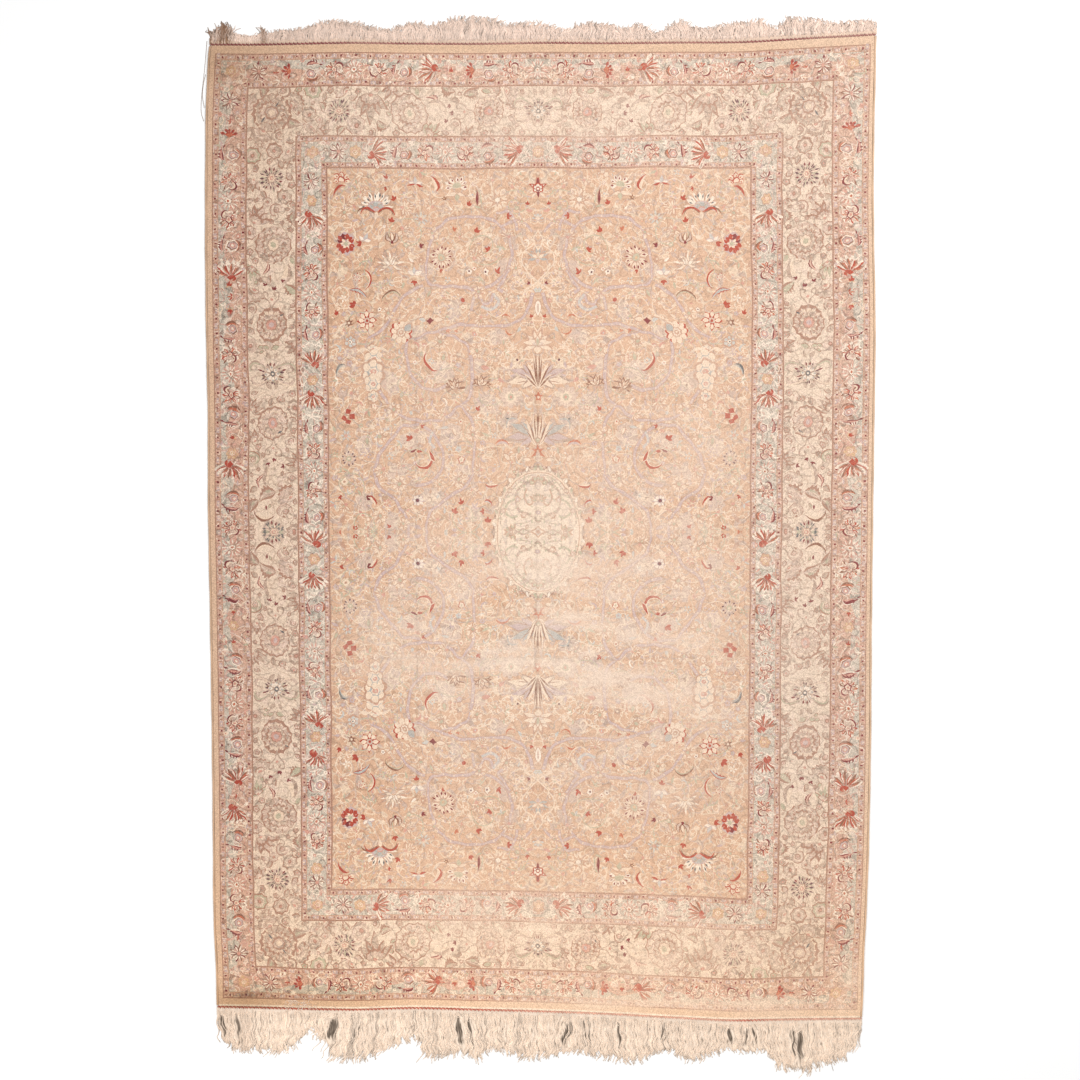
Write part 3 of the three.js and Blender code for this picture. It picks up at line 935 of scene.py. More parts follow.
@dataclass
class FieldChart(Chart):
    """The upper left quarter of the field: flowers, leaves, cloud bands and vines about the medallion."""

    half_x: float = HALF_WIDE - INNER_ENDS
    half_y: float = HALF_LONG - INNER_ENDS

    def draw(self) -> None:
        """Lays the accents, then the bands and the scattered small work, each on its own layer."""
        self.layer = 6
        self.medallion()
        self.axis_flowers()
        self.layer = 5
        self.accents()
        self.blooms()
        self.layer = 3
        self.clouds()
        self.layer = 2
        self.scrolls()
        self.layer = 1
        self.small_work()

    def medallion(self) -> None:
        """The cream oval in the middle with its tonal scrolls."""
        self.lay(lobed(46.0, 30, 0.07, 3, 1.45), Yarn.STONE)
        self.lay(lobed(45.2, 30, 0.08, 3, 1.45), Yarn.CREAM)
        self.lay(disc(41.4, 60, 1.47), Yarn.FAWN)
        self.lay(disc(40.6, 60, 1.475), Yarn.BORDER_CREAM)
        for index in range(23):
            angle = math.radians(4.1 * index + 1.0)
            spot = Spot(
                -44.0 * math.sin(angle), 64.5 * math.cos(angle), -4.1 * index + (60 if index % 2 else -70)
            )
            self.leaf(spot, 4.6, 1.3, (Yarn.BROWN, Yarn.STONE, Yarn.LINE)[index % 3])
        for index in range(17):
            angle = math.radians(5.6 * index)
            spot = Spot(
                -42.5 * math.sin(angle), 62.5 * math.cos(angle), -5.6 * index + (38 if index % 2 else -42)
            )
            self.leaf(spot, 5.5, 2.6, (Yarn.CREAM, Yarn.SAGE, Yarn.CREAM, Yarn.IVORY)[index % 4], Yarn.STONE)
        self.claims.append((0.0, 26.0, 43.0))
        self.claims.append((0.0, 0.0, 45.0))
        self.layer = 7
        for points, width, yarn in (
            (((0, 54), (-11, 50), (-20, 42), (-22, 30), (-16, 20), (-8, 17), (0, 10)), 2.8, Yarn.STONE),
            (((-22, 34), (-30, 30), (-32, 20), (-26, 14), (-20, 16)), 2.2, Yarn.SAGE),
            (((-11, 44), (-14, 34), (-9, 27), (-5, 31), (-8, 36)), 1.8, Yarn.FAWN),
            (((-38, 8), (-37, 22), (-31, 36), (-21, 48), (-8, 57)), 1.2, Yarn.TAUPE),
            (((0, 3), (-9, 0), (-16, 3), (-20, 0)), 1.8, Yarn.STONE),
            (((-3, 16), (-9, 10), (-17, 9), (-24, 7)), 1.2, Yarn.TAUPE),
            (((-4, 58), (-12, 54), (-16, 46), (-11, 43)), 1.2, Yarn.TAUPE),
        ):
            self.vine(points, yarn, width, Yarn.TAUPE if yarn is Yarn.SAGE else Yarn.SAGE, 2)
        self.lotus(Spot(-26, 0, -90), 9, (Yarn.FAWN, Yarn.SAGE, Yarn.TAUPE, Yarn.CREAM, Yarn.STONE))
        self.star(Spot(0, 0), 8, 4, 4.8, Yarn.FAWN, None)
        self.star(Spot(0, 0), 6.4, 4, 3.6, Yarn.BORDER_CREAM, Yarn.FAWN)
        self.lotus(Spot(0, 34), 7, (Yarn.FAWN, Yarn.SAGE, Yarn.TAUPE, Yarn.CREAM, Yarn.STONE))
        self.fan(Spot(0, 50), 7, 5, 160, (Yarn.FAWN, Yarn.SAGE, None, Yarn.TAUPE, Yarn.FAWN))
        for x, y, radius, yarn in (
            (-34, 22, 2.6, Yarn.DUSTY), (-20, 33, 2.8, Yarn.LAVENDER), (-15, 17, 2.4, Yarn.DUSTY),
            (-6, 50, 2.4, Yarn.SAGE), (-28, 42, 2.2, Yarn.TAUPE), (0, 20, 2.6, Yarn.LAVENDER),
            (-11, 5, 2.0, Yarn.TAUPE),
        ):
            self.floret(Spot(x, y), radius, 5, (Yarn.FAWN, yarn, Yarn.CREAM))
        self.layer = 6

    def plume(self, spot: Spot, tall: float, wings: tuple) -> None:
        """A slender bouquet of narrow leaves over two pairs of feathered wings.

        Args:
            spot: Its foot.
            tall: Its height.
            wings: The wings' two yarns.
        """
        for side in (-1, 1):
            for turn, reach, wide in ((98, 0.86, 0.3), (70, 0.74, 0.26), (128, 0.5, 0.2), (48, 0.5, 0.16)):
                place = spot.step(side * tall * 0.04, tall * 0.3, side * turn)
                self.lay(petal(tall * reach, tall * wide, 0, 5), Yarn.STONE, place)
                self.lay(
                    petal(tall * reach * 0.92, tall * wide * 0.8, tall * 0.03, 5), wings[turn > 90], place
                )
                for off in (-0.06, 0.06):
                    line = petal(tall * reach * 0.5, tall * 0.026, tall * 0.2, 2)
                    self.lay(line, Yarn.LINE, place.step(tall * off, 0, off * 60))
        for angle, share in ((-40, 0.5), (40, 0.5), (-24, 0.74), (24, 0.74), (-9, 0.9), (9, 0.9), (0, 1.0)):
            place = spot.step(turn=angle)
            self.lay(petal(tall * share, tall * 0.11, 0, 4), Yarn.CREAM, place)
            self.lay(petal(tall * share * 0.9, tall * 0.05, tall * 0.04, 3), Yarn.BROWN, place)
        self.claim(spot.step(0, tall * 0.45), tall * 0.42)

    def axis_flowers(self) -> None:
        """The flowers that stand on the rug's long axis, drawn whole and cut at the axis."""
        red, white, plum = Yarn.BRICK, Yarn.IVORY, Yarn.PLUM
        top = Spot(0, 341)
        for angle in (-150, 150, -118, 118, -62, 62, 0):
            self.leaf(top.step(0, 0, angle), 10.5, 3.4, Yarn.CREAM if abs(angle) > 100 else red, Yarn.FAWN)
        self.leaf(top, 11, 2.6, Yarn.CRIMSON)
        for angle in (-62, 62):
            self.leaf(top.step(0, 0, angle), 7.5, 1.8, white)
        self.rosette(top, 4.2, 6, (red, white, Yarn.CRIMSON, red, white, red))
        self.leaf(top.step(0, -2, 180), 10, 2.4, Yarn.CRIMSON)
        self.claim(top, 13)
        self.fan(Spot(0, 310), 6, 5, 150, (Yarn.FAWN, Yarn.PALE_BLUE, None, Yarn.CREAM, Yarn.LAVENDER))
        self.lotus(Spot(0, 274), 11, (Yarn.FAWN, Yarn.GREY_BLUE, Yarn.CREAM, Yarn.SAGE, Yarn.LAVENDER))
        for points in (
            ((0, 249), (-9, 258), (-16, 268), (-14, 279), (-6, 284)),
            ((0, 249), (-8, 243), (-14, 238), (-20, 226)),
            ((0, 300), (-4, 292), (-3, 284), (0, 280)),
            ((0, 222), (-5, 214), (-3, 204), (0, 200)),
            ((0, 171), (-7, 166), (-18, 158), (-23, 150)),
            ((0, 170), (-14, 173), (-24, 168), (-30, 158)),
        ):
            self.vine(points, Yarn.CREAM, 1.1, Yarn.CREAM, 4)
        self.leaf(Spot(0, 216, 0), 15, 6.4, Yarn.IVORY, Yarn.FAWN)
        self.leaf(Spot(0, 219, 0), 8, 3, Yarn.DUSTY)
        self.bud(Spot(-6, 214, -20), 4.5, red)
        self.floret(Spot(0, 205), 2.6, 4, (Yarn.FAWN, Yarn.OCHRE, Yarn.CREAM))
        self.lotus(Spot(0, 188), 15, (Yarn.FAWN, Yarn.CREAM, Yarn.BORDER_CREAM, Yarn.SAGE, Yarn.CREAM))
        self.plume(Spot(0, 143), 38, (Yarn.LAVENDER, Yarn.CREAM))
        self.lay(disc(1.3, 5), plum, Spot(-21, 172))
        self.star(Spot(0, 134), 5, 5, 2.6, Yarn.CORAL, Yarn.CREAM)
        self.plume(Spot(0, 86), 37, (Yarn.GREY_BLUE, Yarn.LAVENDER))
        self.sickle(Spot(-24, 106), 9, -110, 30, 2.4, (Yarn.STONE, Yarn.GREY_BLUE))
        self.lay(disc(1.3, 5), Yarn.SLATE, Spot(-30, 112))
        self.claim(Spot(-16, 104), 16)
        self.star(Spot(0, 80), 8, 6, 3, Yarn.CORAL, Yarn.OCHRE)
        self.leaf(Spot(0, 82, 180), 16, 3, Yarn.DUSTY, Yarn.FAWN)
        self.floret(Spot(0, 92), 2.4, 4, (Yarn.FAWN, Yarn.SAGE, Yarn.CREAM))

    def accents(self) -> None:
        """The red, white and dark work that stands out from the ground."""
        red, coral, dark = Yarn.BRICK, Yarn.CORAL, Yarn.CRIMSON
        cream, white, grey = Yarn.CREAM, Yarn.IVORY, Yarn.GREY_BLUE
        self.fan(Spot(-197, 349), 8, 5, 210, (red, cream, coral, cream, red))
        self.sickle(Spot(-196, 334), 9.5, -88, 18, 2.2, (red, Yarn.FAWN))
        self.fan(
            Spot(-162, 322), 16.5, 10, 168, (Yarn.FAWN, white, Yarn.SLATE, Yarn.PALE_BLUE, Yarn.LAVENDER)
        )
        self.fan(Spot(-162, 320), 7.5, 6, 150, (Yarn.STONE, Yarn.GREY_BLUE, None, Yarn.LAVENDER, Yarn.ROSE))
        self.wings(Spot(-162, 322), 18, 2.6, red, Yarn.BROWN)
        self.leaf(Spot(-162, 318, 180), 7, 4, Yarn.CREAM, Yarn.FAWN)
        for x, y, turn, tall in (
            (-153, 351, 10, 6), (-154, 341, 100, 4.5), (-143, 330, -30, 6), (-147, 308, 10, 6.5),
            (-177, 286, -70, 7), (-119, 285, 60, 5), (-86, 302, 60, 4.5), (-62, 299, 20, 7),
            (-48, 281, -60, 6.5), (-41, 258, 30, 6.5), (-124, 251, 180, 6), (-31, 314, 80, 6),
            (-11, 325, 0, 4.5), (-8, 246, -30, 4.5), (-70, 326, 20, 6), (-184, 226, -60, 7.5),
            (-203, 217, -20, 5.5), (-63, 122, 45, 6), (-86, 19, 30, 7), (-77, 28, -20, 6.5), (-51, 10, 10, 7),
            (-149, 4, -40, 5), (-186, 3, 30, 5), (-201, -2, 20, 5.5), (-173, 33, 60, 5), (-200, 37, 160, 5),
            (-83, 200, 40, 4.5),
        ):
            self.bud(Spot(x, y, turn), tall, (red, coral, dark)[int(abs(x) + y) % 3 if tall < 6 else 0])
        self.bud(Spot(-91, 203, 150), 5, coral)
        for x, y, turn in ((-123, 346, 0), (-174, 290, 20), (-124, 257, 0)):
            for angle in (-70, 0, 70):
                self.leaf(
                    Spot(x, y, turn + angle), 7.5, 3.4, (white, Yarn.PALE_BLUE)[angle == 0], Yarn.LAVENDER
                )
            self.claim(Spot(x, y), 8)
        for side in (-1, 1):
            self.leaf(Spot(-123, 346, side * 100), 8, 2.4, red)
        self.sickle(Spot(-109, 346), 8.5, 10, 140, 2.4, (red, cream))
        self.fan(Spot(-82, 344), 11, 7, 190, (Yarn.FAWN, white, dark, Yarn.SAGE, cream))
        for side in (-1, 1):
            self.leaf(Spot(-82, 338, side * 108), 10, 3.4, cream, Yarn.FAWN)
        self.leaf(Spot(-82, 338, 180), 8, 5, Yarn.SAGE, Yarn.FAWN)
        self.star(Spot(-94, 333), 3.4, 5, 1.6, Yarn.BROWN, Yarn.OCHRE)
        self.leaf(Spot(-60, 326), 15, 2.8, dark, Yarn.FAWN)
        self.leaf(Spot(-57, 326), 14, 1.6, Yarn.SAGE)
        self.daisy(Spot(-97, 274), 12, 13, (Yarn.FAWN, Yarn.CREAM, dark, Yarn.SAGE, Yarn.OCHRE))
        self.bud(Spot(-97, 262, 180), 4.5, red)
        ring = Spot(-193, 287)
        self.lay(lobed(10.6, 6, 0.2, 3), Yarn.LAVENDER, ring)
        for index in range(6):
            place = ring.step(turn=60.0 * index)
            for side in (-1, 1):
                yarn = dark if index in (0, 5) and side < 0 else red
                self.lay(petal(6.4, 5.2, 3.6, 3, 1.2), yarn, place.step(turn=side * 13))
            self.lay(petal(2.6, 1.3, 6.2, 2), Yarn.ROSE, place)
            self.lay(petal(4.4, 3.4, 1.6, 3, 1.2), cream, place.step(turn=30))
        self.lay(lobed(3.0, 6, 0.2, 2), Yarn.STONE, ring)
        self.lay(disc(2.2, 7), Yarn.SAGE, ring)
        self.claim(ring, 10)
        self.tulip(Spot(-146, 288), 11, (Yarn.BROWN, Yarn.DUSTY, cream, Yarn.CRIMSON))
        for x, y in ((-69, 260), (-52, 260)):
            self.floret(Spot(x, y), 3.4, 5, (Yarn.FAWN, white, Yarn.PLUM))
        self.floret(Spot(-64, 263), 2.2, 4, (None, white, red))
        self.sickle(Spot(-177, 252), 10.5, 20, 150, 2.2, (red, cream))
        self.toothed(Spot(-189, 243, 118), 20, 6.4, -2.5, 6, (red, grey, Yarn.PALE_BLUE))
        self.daisy(Spot(-181, 254), 4.6, 7, (None, cream, red, Yarn.ROSE, cream))
        self.sickle(Spot(-146, 231), 9, -95, 70, 1.7, (Yarn.BROWN, Yarn.SAGE))
        self.star(Spot(-172, 211), 10.5, 8, 6.8, red, None)
        self.daisy(Spot(-172, 211), 9.4, 8, (None, cream, None, Yarn.DUSTY, red))
        self.star(Spot(-190, 209), 4.8, 6, 2.2, Yarn.BROWN, cream)
        self.vine(((-202, 198), (-199, 206), (-193, 209)), cream, 1.3)
        self.floret(Spot(-158, 222), 3, 5, (Yarn.FAWN, white, Yarn.PLUM))
        for angle in range(0, 360, 60):
            self.lay(disc(1.7, 6), red, Spot(-76, 226).step(0, 6.2, angle))
        self.floret(Spot(-76, 226), 3.2, 6, (Yarn.FAWN, cream, Yarn.SAGE))
        self.claim(Spot(-76, 226), 8)
        self.star(Spot(-108, 211), 3.8, 4, 2.2, dark, None)
        self.leaf(Spot(-104, 211, 80), 10, 4.4, cream, Yarn.FAWN)
        self.leaf(Spot(-112, 211, -80), 8, 3.6, Yarn.PALE_BLUE, Yarn.FAWN)
        self.rosette(
            Spot(-137, 199, 40), 10.5, 9, (red, cream, Yarn.FAWN, Yarn.BORDER_CREAM, Yarn.FAWN, cream)
        )
        self.leaf(Spot(-133, 200, 38), 10, 8, Yarn.GREY_BLUE, Yarn.FAWN)
        self.sickle(Spot(-32, 212), 5, -60, 60, 1.6, (coral, None))
        self.sickle(Spot(-27, 202), 4.6, 120, 290, 1.5, (coral, None))
        self.sickle(Spot(-105, 172), 10, 160, 310, 2.6, (red, cream))
        self.daisy(Spot(-108, 171), 3.6, 6, (None, Yarn.PALE_BLUE, None, cream, red))
        for x, y in ((-192, 121), (-188, 116), (-196, 115), (-192, 111)):
            self.lay(rectangle(-2.4, -2.2, 2.4, 2.2), red, Spot(x, y, 15 * (x + y) % 40))
        self.lay(disc(1.0, 5), cream, Spot(-193, 116))
        self.claim(Spot(-192, 116), 8)
        self.sickle(Spot(-196, 160), 7.5, -120, 20, 2.0, (Yarn.SLATE, grey))
        self.daisy(Spot(-189, 190), 6.2, 6, (Yarn.FAWN, Yarn.PALE_BLUE, None, Yarn.IVORY, Yarn.SLATE))
        self.sickle(Spot(-116, 74), 10.5, 60, 235, 3.0, (red, cream))
        self.leaf(Spot(-104, 70, -28), 13, 3.6, red, cream)
        self.bud(Spot(-128, 93, -50), 7, red)
        self.leaf(Spot(-130, 80, 70), 8, 3, dark, cream)
        self.leaf(Spot(-122, 80, 80), 6, 2.4, red)
        self.sickle(Spot(-36, 82), 9, -50, 60, 2.4, (coral, Yarn.LAVENDER))
        self.floret(Spot(-78, 73), 3.6, 5, (red, cream, Yarn.SAGE))
        self.daisy(Spot(-191, 74), 8, 10, (None, Yarn.DUSTY, Yarn.PLUM, Yarn.SAGE, cream))
        self.floret(Spot(-195, 51), 4, 4, (Yarn.SAGE, cream, Yarn.FAWN))
        self.sickle(Spot(-172, 26), 9, 0, 90, 1.8, (red, cream))
        self.star(Spot(-121, 31), 6.2, 8, 4.4, Yarn.LAVENDER, None)
        self.daisy(Spot(-121, 31), 5.6, 8, (None, white, None, Yarn.PLUM, Yarn.CRIMSON))
        self.sickle(Spot(-46, 54), 9, 135, 225, 2.0, (red, cream))
        self.sickle(Spot(-50, 28), 4.2, -70, 110, 1.8, (red, Yarn.PALE_BLUE))
        self.bud(Spot(-54, 20, -80), 5, red)
        self.bud(Spot(-118, 106, 70), 4.6, red)
        self.floret(Spot(-78, 111), 2.6, 5, (Yarn.FAWN, cream, red))

    def blooms(self) -> None:
        """The pale palmettes, lotuses and rosettes between the accents."""
        pale = (Yarn.FAWN, Yarn.CREAM, Yarn.GREY_BLUE, Yarn.BORDER_CREAM, Yarn.ROSE)
        feathers = (Yarn.STONE, Yarn.CREAM, Yarn.IVORY, Yarn.BORDER_CREAM, Yarn.DUSTY)
        for index, angle in enumerate(range(-120, 121, 20)):
            place = Spot(-148, 266, angle)
            long = 14.5 if index % 2 else 12.0
            self.lay(petal(long, 3.2, 3.0, 4, 0.9), Yarn.FAWN, place)
            self.lay(petal(long * 0.86, 1.7, 4.0, 3, 0.9), (Yarn.IVORY, Yarn.STONE)[index % 2], place)
        self.lotus(Spot(-148, 267), 9, feathers)
        self.claim(Spot(-148, 268), 14)
        self.pale_bloom(Spot(-41, 331), 12, 9, Bloom.SCALLOPS)
        self.lay(lobed(3.6, 6, 0.24, 2), Yarn.STONE, Spot(-41, 331))
        self.lay(lobed(2.8, 6, 0.24, 2), Yarn.IVORY, Spot(-41, 331))
        self.rosette(
            Spot(-28, 135), 11.5, 10, (Yarn.FAWN, Yarn.DUSTY, Yarn.CREAM, Yarn.CREAM, Yarn.SAGE, Yarn.ROSE)
        )
        for x, y, turn in ((-84, 146, -20), (-57, 149, 15)):
            self.lotus(Spot(x, y, turn), 9, (Yarn.BROWN, Yarn.PEACH, Yarn.CREAM, Yarn.FAWN, Yarn.FAWN))
        column = Spot(-166, 158)
        for y, width in ((24, 8), (14, 15), (2, 18), (-10, 14), (-22, 9), (-32, 5)):
            self.rosette(column.step(0, y), width * 0.62, 6, (Yarn.FAWN, *pale[1:], Yarn.DUSTY), 1.1)
        for side in (-1, 1):
            self.sickle(column.step(side * 9, 16), 9, -60 * side, 60 * side, 3, (Yarn.CREAM, None))
        for x, y, radius, petals in (
            (-81, 53, 9, 8), (-140, 48, 9, 8), (-100, 48, 7, 6), (-158, 60, 8, 8), (-60, 62, 7, 6),
            (-160, 96, 8, 7), (-62, 182, 8, 8), (-44, 176, 7, 7), (-120, 130, 9, 9), (-96, 118, 7, 7),
            (-146, 122, 8, 7), (-24, 60, 7, 7), (-194, 318, 7, 7), (-132, 322, 8, 7), (-108, 326, 7, 6),
            (-117, 312, 7, 7), (-200, 250, 6, 6), (-60, 240, 7, 7), (-32, 232, 8, 8), (-120, 232, 7, 7),
            (-98, 190, 8, 8), (-150, 176, 6, 6), (-66, 98, 8, 8), (-104, 10, 8, 8), (-160, 16, 8, 8),
            (-136, 8, 7, 7), (-66, 40, 7, 7), (-186, 140, 7, 7), (-194, 97, 6, 6), (-62, 276, 8, 8),
            (-84, 284, 7, 6), (-78, 296, 5, 5), (-30, 296, 7, 7), (-150, 218, 7, 7), (-38, 118, 6, 6),
            (-176, 338, 5, 5), (-24, 346, 7, 7), (-48, 350, 6, 6), (-58, 212, 7, 7), (-196, 26, 7, 7),
            (-138, 68, 6, 6), (-52, 322, 5, 5), (-16, 308, 6, 6), (-134, 300, 7, 7), (-106, 298, 6, 6),
            (-22, 262, 7, 7),
        ):
            spot = Spot(x, y, 37.0 * x + 11.0 * y)
            if any(math.hypot(cx - x, cy - y) < cr + radius * 0.7 for cx, cy, cr in self.claims):
                radius *= 0.66
            self.pale_bloom(spot, radius, petals, Bloom(int(abs(3 * x + 7 * y)) % 4))

    def pale_bloom(self, spot: Spot, radius: float, petals: int, kind: Bloom) -> None:
        """A flower drawn in thin pale lines on the ground's own colour.

        Args:
            spot: Its middle.
            radius: To its petals' tips.
            petals: How many petals.
            kind: How it is drawn.
        """
        ground = Yarn.PEACH
        line, light = {
            Bloom.SCALLOPS: (Yarn.FAWN, Yarn.CREAM), Bloom.RAYS: (Yarn.STONE, Yarn.PALE_BLUE),
            Bloom.LOTUS: (Yarn.FAWN, Yarn.CREAM), Bloom.PALMETTE: (Yarn.BROWN, Yarn.CREAM),
        }[kind]
        if kind is Bloom.SCALLOPS:
            for grow, yarn in ((1.1, line), (0.96, light), (0.6, ground)):
                base = radius * (1.02 - 0.68 * grow)
                scallop = petal(radius * 0.68 * grow, radius * 0.5 * grow, base, 3, 1.2)
                for index in range(petals):
                    self.lay(scallop, yarn, spot.step(turn=360.0 * index / petals))
            self.lay(lobed(radius * 0.34, 5, 0.24, 2), line, spot)
            self.lay(lobed(radius * 0.24, 5, 0.24, 2), Yarn.SAGE, spot)
        elif kind is Bloom.RAYS:
            for index in range(petals * 2):
                place = spot.step(turn=180.0 * index / petals)
                long = radius * (1.0 if index % 2 else 0.76)
                self.lay(
                    petal(long * 0.74, radius * 0.28, long * 0.3, 3), light if index % 2 else line, place
                )
            self.lay(disc(radius * 0.24, 6), Yarn.ROSE, spot)
        elif kind is Bloom.LOTUS:
            self.lotus(spot, radius, (line, light, ground, Yarn.SAGE, Yarn.ROSE))
        else:
            self.fan(
                spot.step(0, -radius * 0.3), radius * 1.25, 7, 200, (line, light, None, Yarn.LAVENDER, line)
            )
            for side in (-1, 1):
                self.leaf(spot.step(0, -radius * 0.4, side * 118), radius * 0.9, radius * 0.3, light, line)
        self.claim(spot, radius)

    def clouds(self) -> None:
        """The lavender cloud bands that ring the flowers, and the tails that join them."""
        for points in (
            (
                (-113, 254), (-112, 272), (-108, 288), (-103, 302), (-90, 312), (-70, 315), (-50, 313),
                (-36, 304), (-28, 290), (-27, 270), (-36, 254), (-50, 245), (-66, 243)
            ),
            (
                (-113, 254), (-106, 246), (-88, 245), (-70, 244), (-60, 236), (-56, 228), (-48, 230),
                (-46, 238)
            ),
            ((-58, 240), (-66, 232), (-66, 222)),
            ((-36, 304), (-24, 310), (-14, 306), (-6, 298)),
            ((-28, 262), (-34, 252), (-40, 242), (-32, 236)),
            ((-116, 246), (-128, 240), (-138, 230), (-146, 216), (-156, 202), (-170, 194)),
            (
                (-5, 238), (-8, 226), (-16, 214), (-30, 207), (-52, 206), (-78, 208), (-96, 202), (-110, 198),
                (-124, 192)
            ),
            ((-131, 196), (-133, 180), (-130, 162), (-122, 148), (-108, 142), (-92, 146)),
            ((-100, 198), (-80, 194), (-70, 186), (-67, 170), (-67, 150), (-70, 134), (-80, 126)),
            (
                (-160, 142), (-150, 126), (-138, 116), (-122, 112), (-104, 112), (-90, 116), (-80, 126),
                (-70, 118), (-66, 106), (-64, 90), (-66, 70), (-66, 58)
            ),
            ((-146, 96), (-138, 106), (-120, 108)),
            (
                (-146, 96), (-156, 84), (-163, 70), (-164, 54), (-158, 42), (-146, 34), (-138, 22),
                (-132, 10), (-130, 0)
            ),
            ((-118, 108), (-106, 98), (-98, 84), (-96, 70), (-102, 56), (-112, 48), (-124, 46)),
            ((-66, 58), (-74, 46), (-86, 38), (-98, 30), (-108, 20), (-112, 10), (-112, 0)),
            ((-20, 300), (-28, 318), (-42, 318)),
        ):
            self.cloud(points, 2.7, Yarn.LAVENDER, Yarn.FAWN, Yarn.CREAM)
        for points in (
            ((-46, 238), (-40, 230), (-48, 222), (-58, 226)), ((-106, 100), (-110, 90), (-104, 84)),
            ((-150, 104), (-160, 100), (-164, 92), (-158, 86)),
        ):
            self.cloud(points, 2.0, Yarn.PALE_BLUE, Yarn.LAVENDER, Yarn.CREAM)

    def scrolls(self) -> None:
        """Spiral and long cream stems that run through the whole field."""
        for x, y, radius, turn, flip in (
            (-186, 334, 20, 40, False), (-136, 338, 18, 200, True), (-100, 344, 14, 20, False),
            (-60, 340, 16, 160, True), (-22, 326, 16, 300, False), (-196, 296, 14, 120, True),
            (-130, 296, 20, 240, False), (-96, 274, 20, 20, True), (-54, 284, 20, 120, False),
            (-158, 258, 18, 330, True), (-196, 236, 16, 80, False), (-128, 228, 17, 180, True),
            (-92, 222, 18, 280, False), (-40, 226, 17, 30, True), (-178, 206, 20, 150, False),
            (-16, 250, 14, 250, True), (-150, 186, 18, 60, False), (-104, 176, 20, 170, True),
            (-60, 180, 18, 310, False), (-28, 172, 14, 90, True), (-188, 168, 16, 20, False),
            (-130, 146, 18, 140, True), (-86, 148, 20, 260, False), (-46, 138, 17, 20, True),
            (-188, 124, 16, 200, True), (-152, 110, 17, 320, False), (-108, 106, 18, 80, True),
            (-58, 100, 18, 190, False), (-28, 100, 14, 300, True), (-180, 82, 18, 60, False),
            (-126, 70, 20, 180, True), (-84, 62, 19, 290, False), (-56, 50, 15, 10, True),
            (-190, 46, 16, 110, True), (-152, 34, 20, 230, False), (-112, 28, 18, 340, True),
            (-74, 16, 18, 100, False), (-178, 8, 16, 210, True), (-136, 6, 14, 320, False),
            (-200, 330, 12, 10, True),
        ):
            stem = (Yarn.CREAM, Yarn.FAWN, Yarn.SAGE, Yarn.CREAM)[int(abs(x)) % 4]
            leaf = (Yarn.CREAM, Yarn.SAGE, Yarn.LAVENDER, Yarn.STONE)[int(abs(y)) % 4]
            self.scroll(Spot(x, y, turn, 1.0, flip), radius, 1.35, stem, leaf)

    def small_work(self) -> None:
        """Florets, leaves and commas scattered wherever the ground is bare, joined by thin stems."""
        cream = (
            Yarn.CREAM, Yarn.IVORY, Yarn.PALE_BLUE, Yarn.LAVENDER, Yarn.SAGE, Yarn.STONE, Yarn.ROSE, Yarn.FAWN
        )
        by_height = (
            (0.22, 0.04, 0.12, 0.22, 0.12, 0.10, 0.08, 0.10),
            (0.34, 0.06, 0.08, 0.06, 0.16, 0.08, 0.08, 0.14),
        )

        def motif(spot: Spot, radius: float) -> None:
            """Draws one of five small motifs in yarns drawn by lot, with more lavender near the middle."""
            weights = by_height[abs(spot.y) > 225]
            body = cream[self.rng.choice(8, p=weights)]
            other = cream[self.rng.choice(8, p=weights)]
            kind = self.rng.integers(0, 5)
            rim = Yarn.FAWN if self.rng.random() < 0.7 else None
            if kind == 0:
                self.floret(spot, radius * 0.8, 5, (rim, body, other))
            elif kind == 1:
                for angle in range(0, 360, 72):
                    self.leaf(spot.step(0, 0, angle).step(0, radius * 0.3), radius * 0.7, radius * 0.45, body)
            elif kind == 2:
                for angle in (-60, 0, 60):
                    self.leaf(
                        spot.step(0, -radius * 0.7, angle), radius * 1.6, radius * 0.55,
                        body if angle else other
                    )
            elif kind == 3:
                self.leaf(spot.step(0, -radius), radius * 2, radius * 0.8, body, rim)
            else:
                self.sickle(spot, radius * 0.8, 0, 200, radius * 0.5, (body, None))

        box = (-self.half_x + 2, 1, -1, self.half_y - 2)
        sown = self.sow(3600, box, (2.0, 4.2), motif, 0.7)
        self.layer = 0
        self.haze()
        self.link(sown, Yarn.CREAM, 0.8, 15.0)
        self.layer = 1
        self.sow(
            2300, box, (0.9, 1.6),
            lambda spot, r: self.leaf(spot, r * 2.1, r * 0.9, cream[self.rng.integers(0, 8)])
        )

    def haze(self) -> None:
        """Soft greyer patches of the ground between the bands about the medallion."""
        for x, y, radius in (
            (-52, 128, 15), (-88, 98, 14), (-128, 92, 13), (-150, 150, 12), (-96, 160, 14), (-62, 170, 11),
            (-30, 112, 12), (-104, 34, 15), (-74, 58, 12), (-142, 58, 13), (-176, 88, 12), (-122, 198, 12),
            (-40, 196, 11), (-84, 222, 11), (-176, 30, 12), (-64, 18, 9), (-148, 10, 12), (-112, 262, 9),
            (-36, 264, 9), (-188, 180, 9),
        ):
            self.lay(lobed(radius, 7, 0.3, 3, 0.8), Yarn.DUSTY, Spot(x, y, 31.0 * x))


class Tonal(Enum):
    """The tonal motifs that fill the main border."""

    ROSETTE = 0
    HALF_FLOWER = 1
    LEAF = 2
    CURL = 3
    PALMETTE = 4


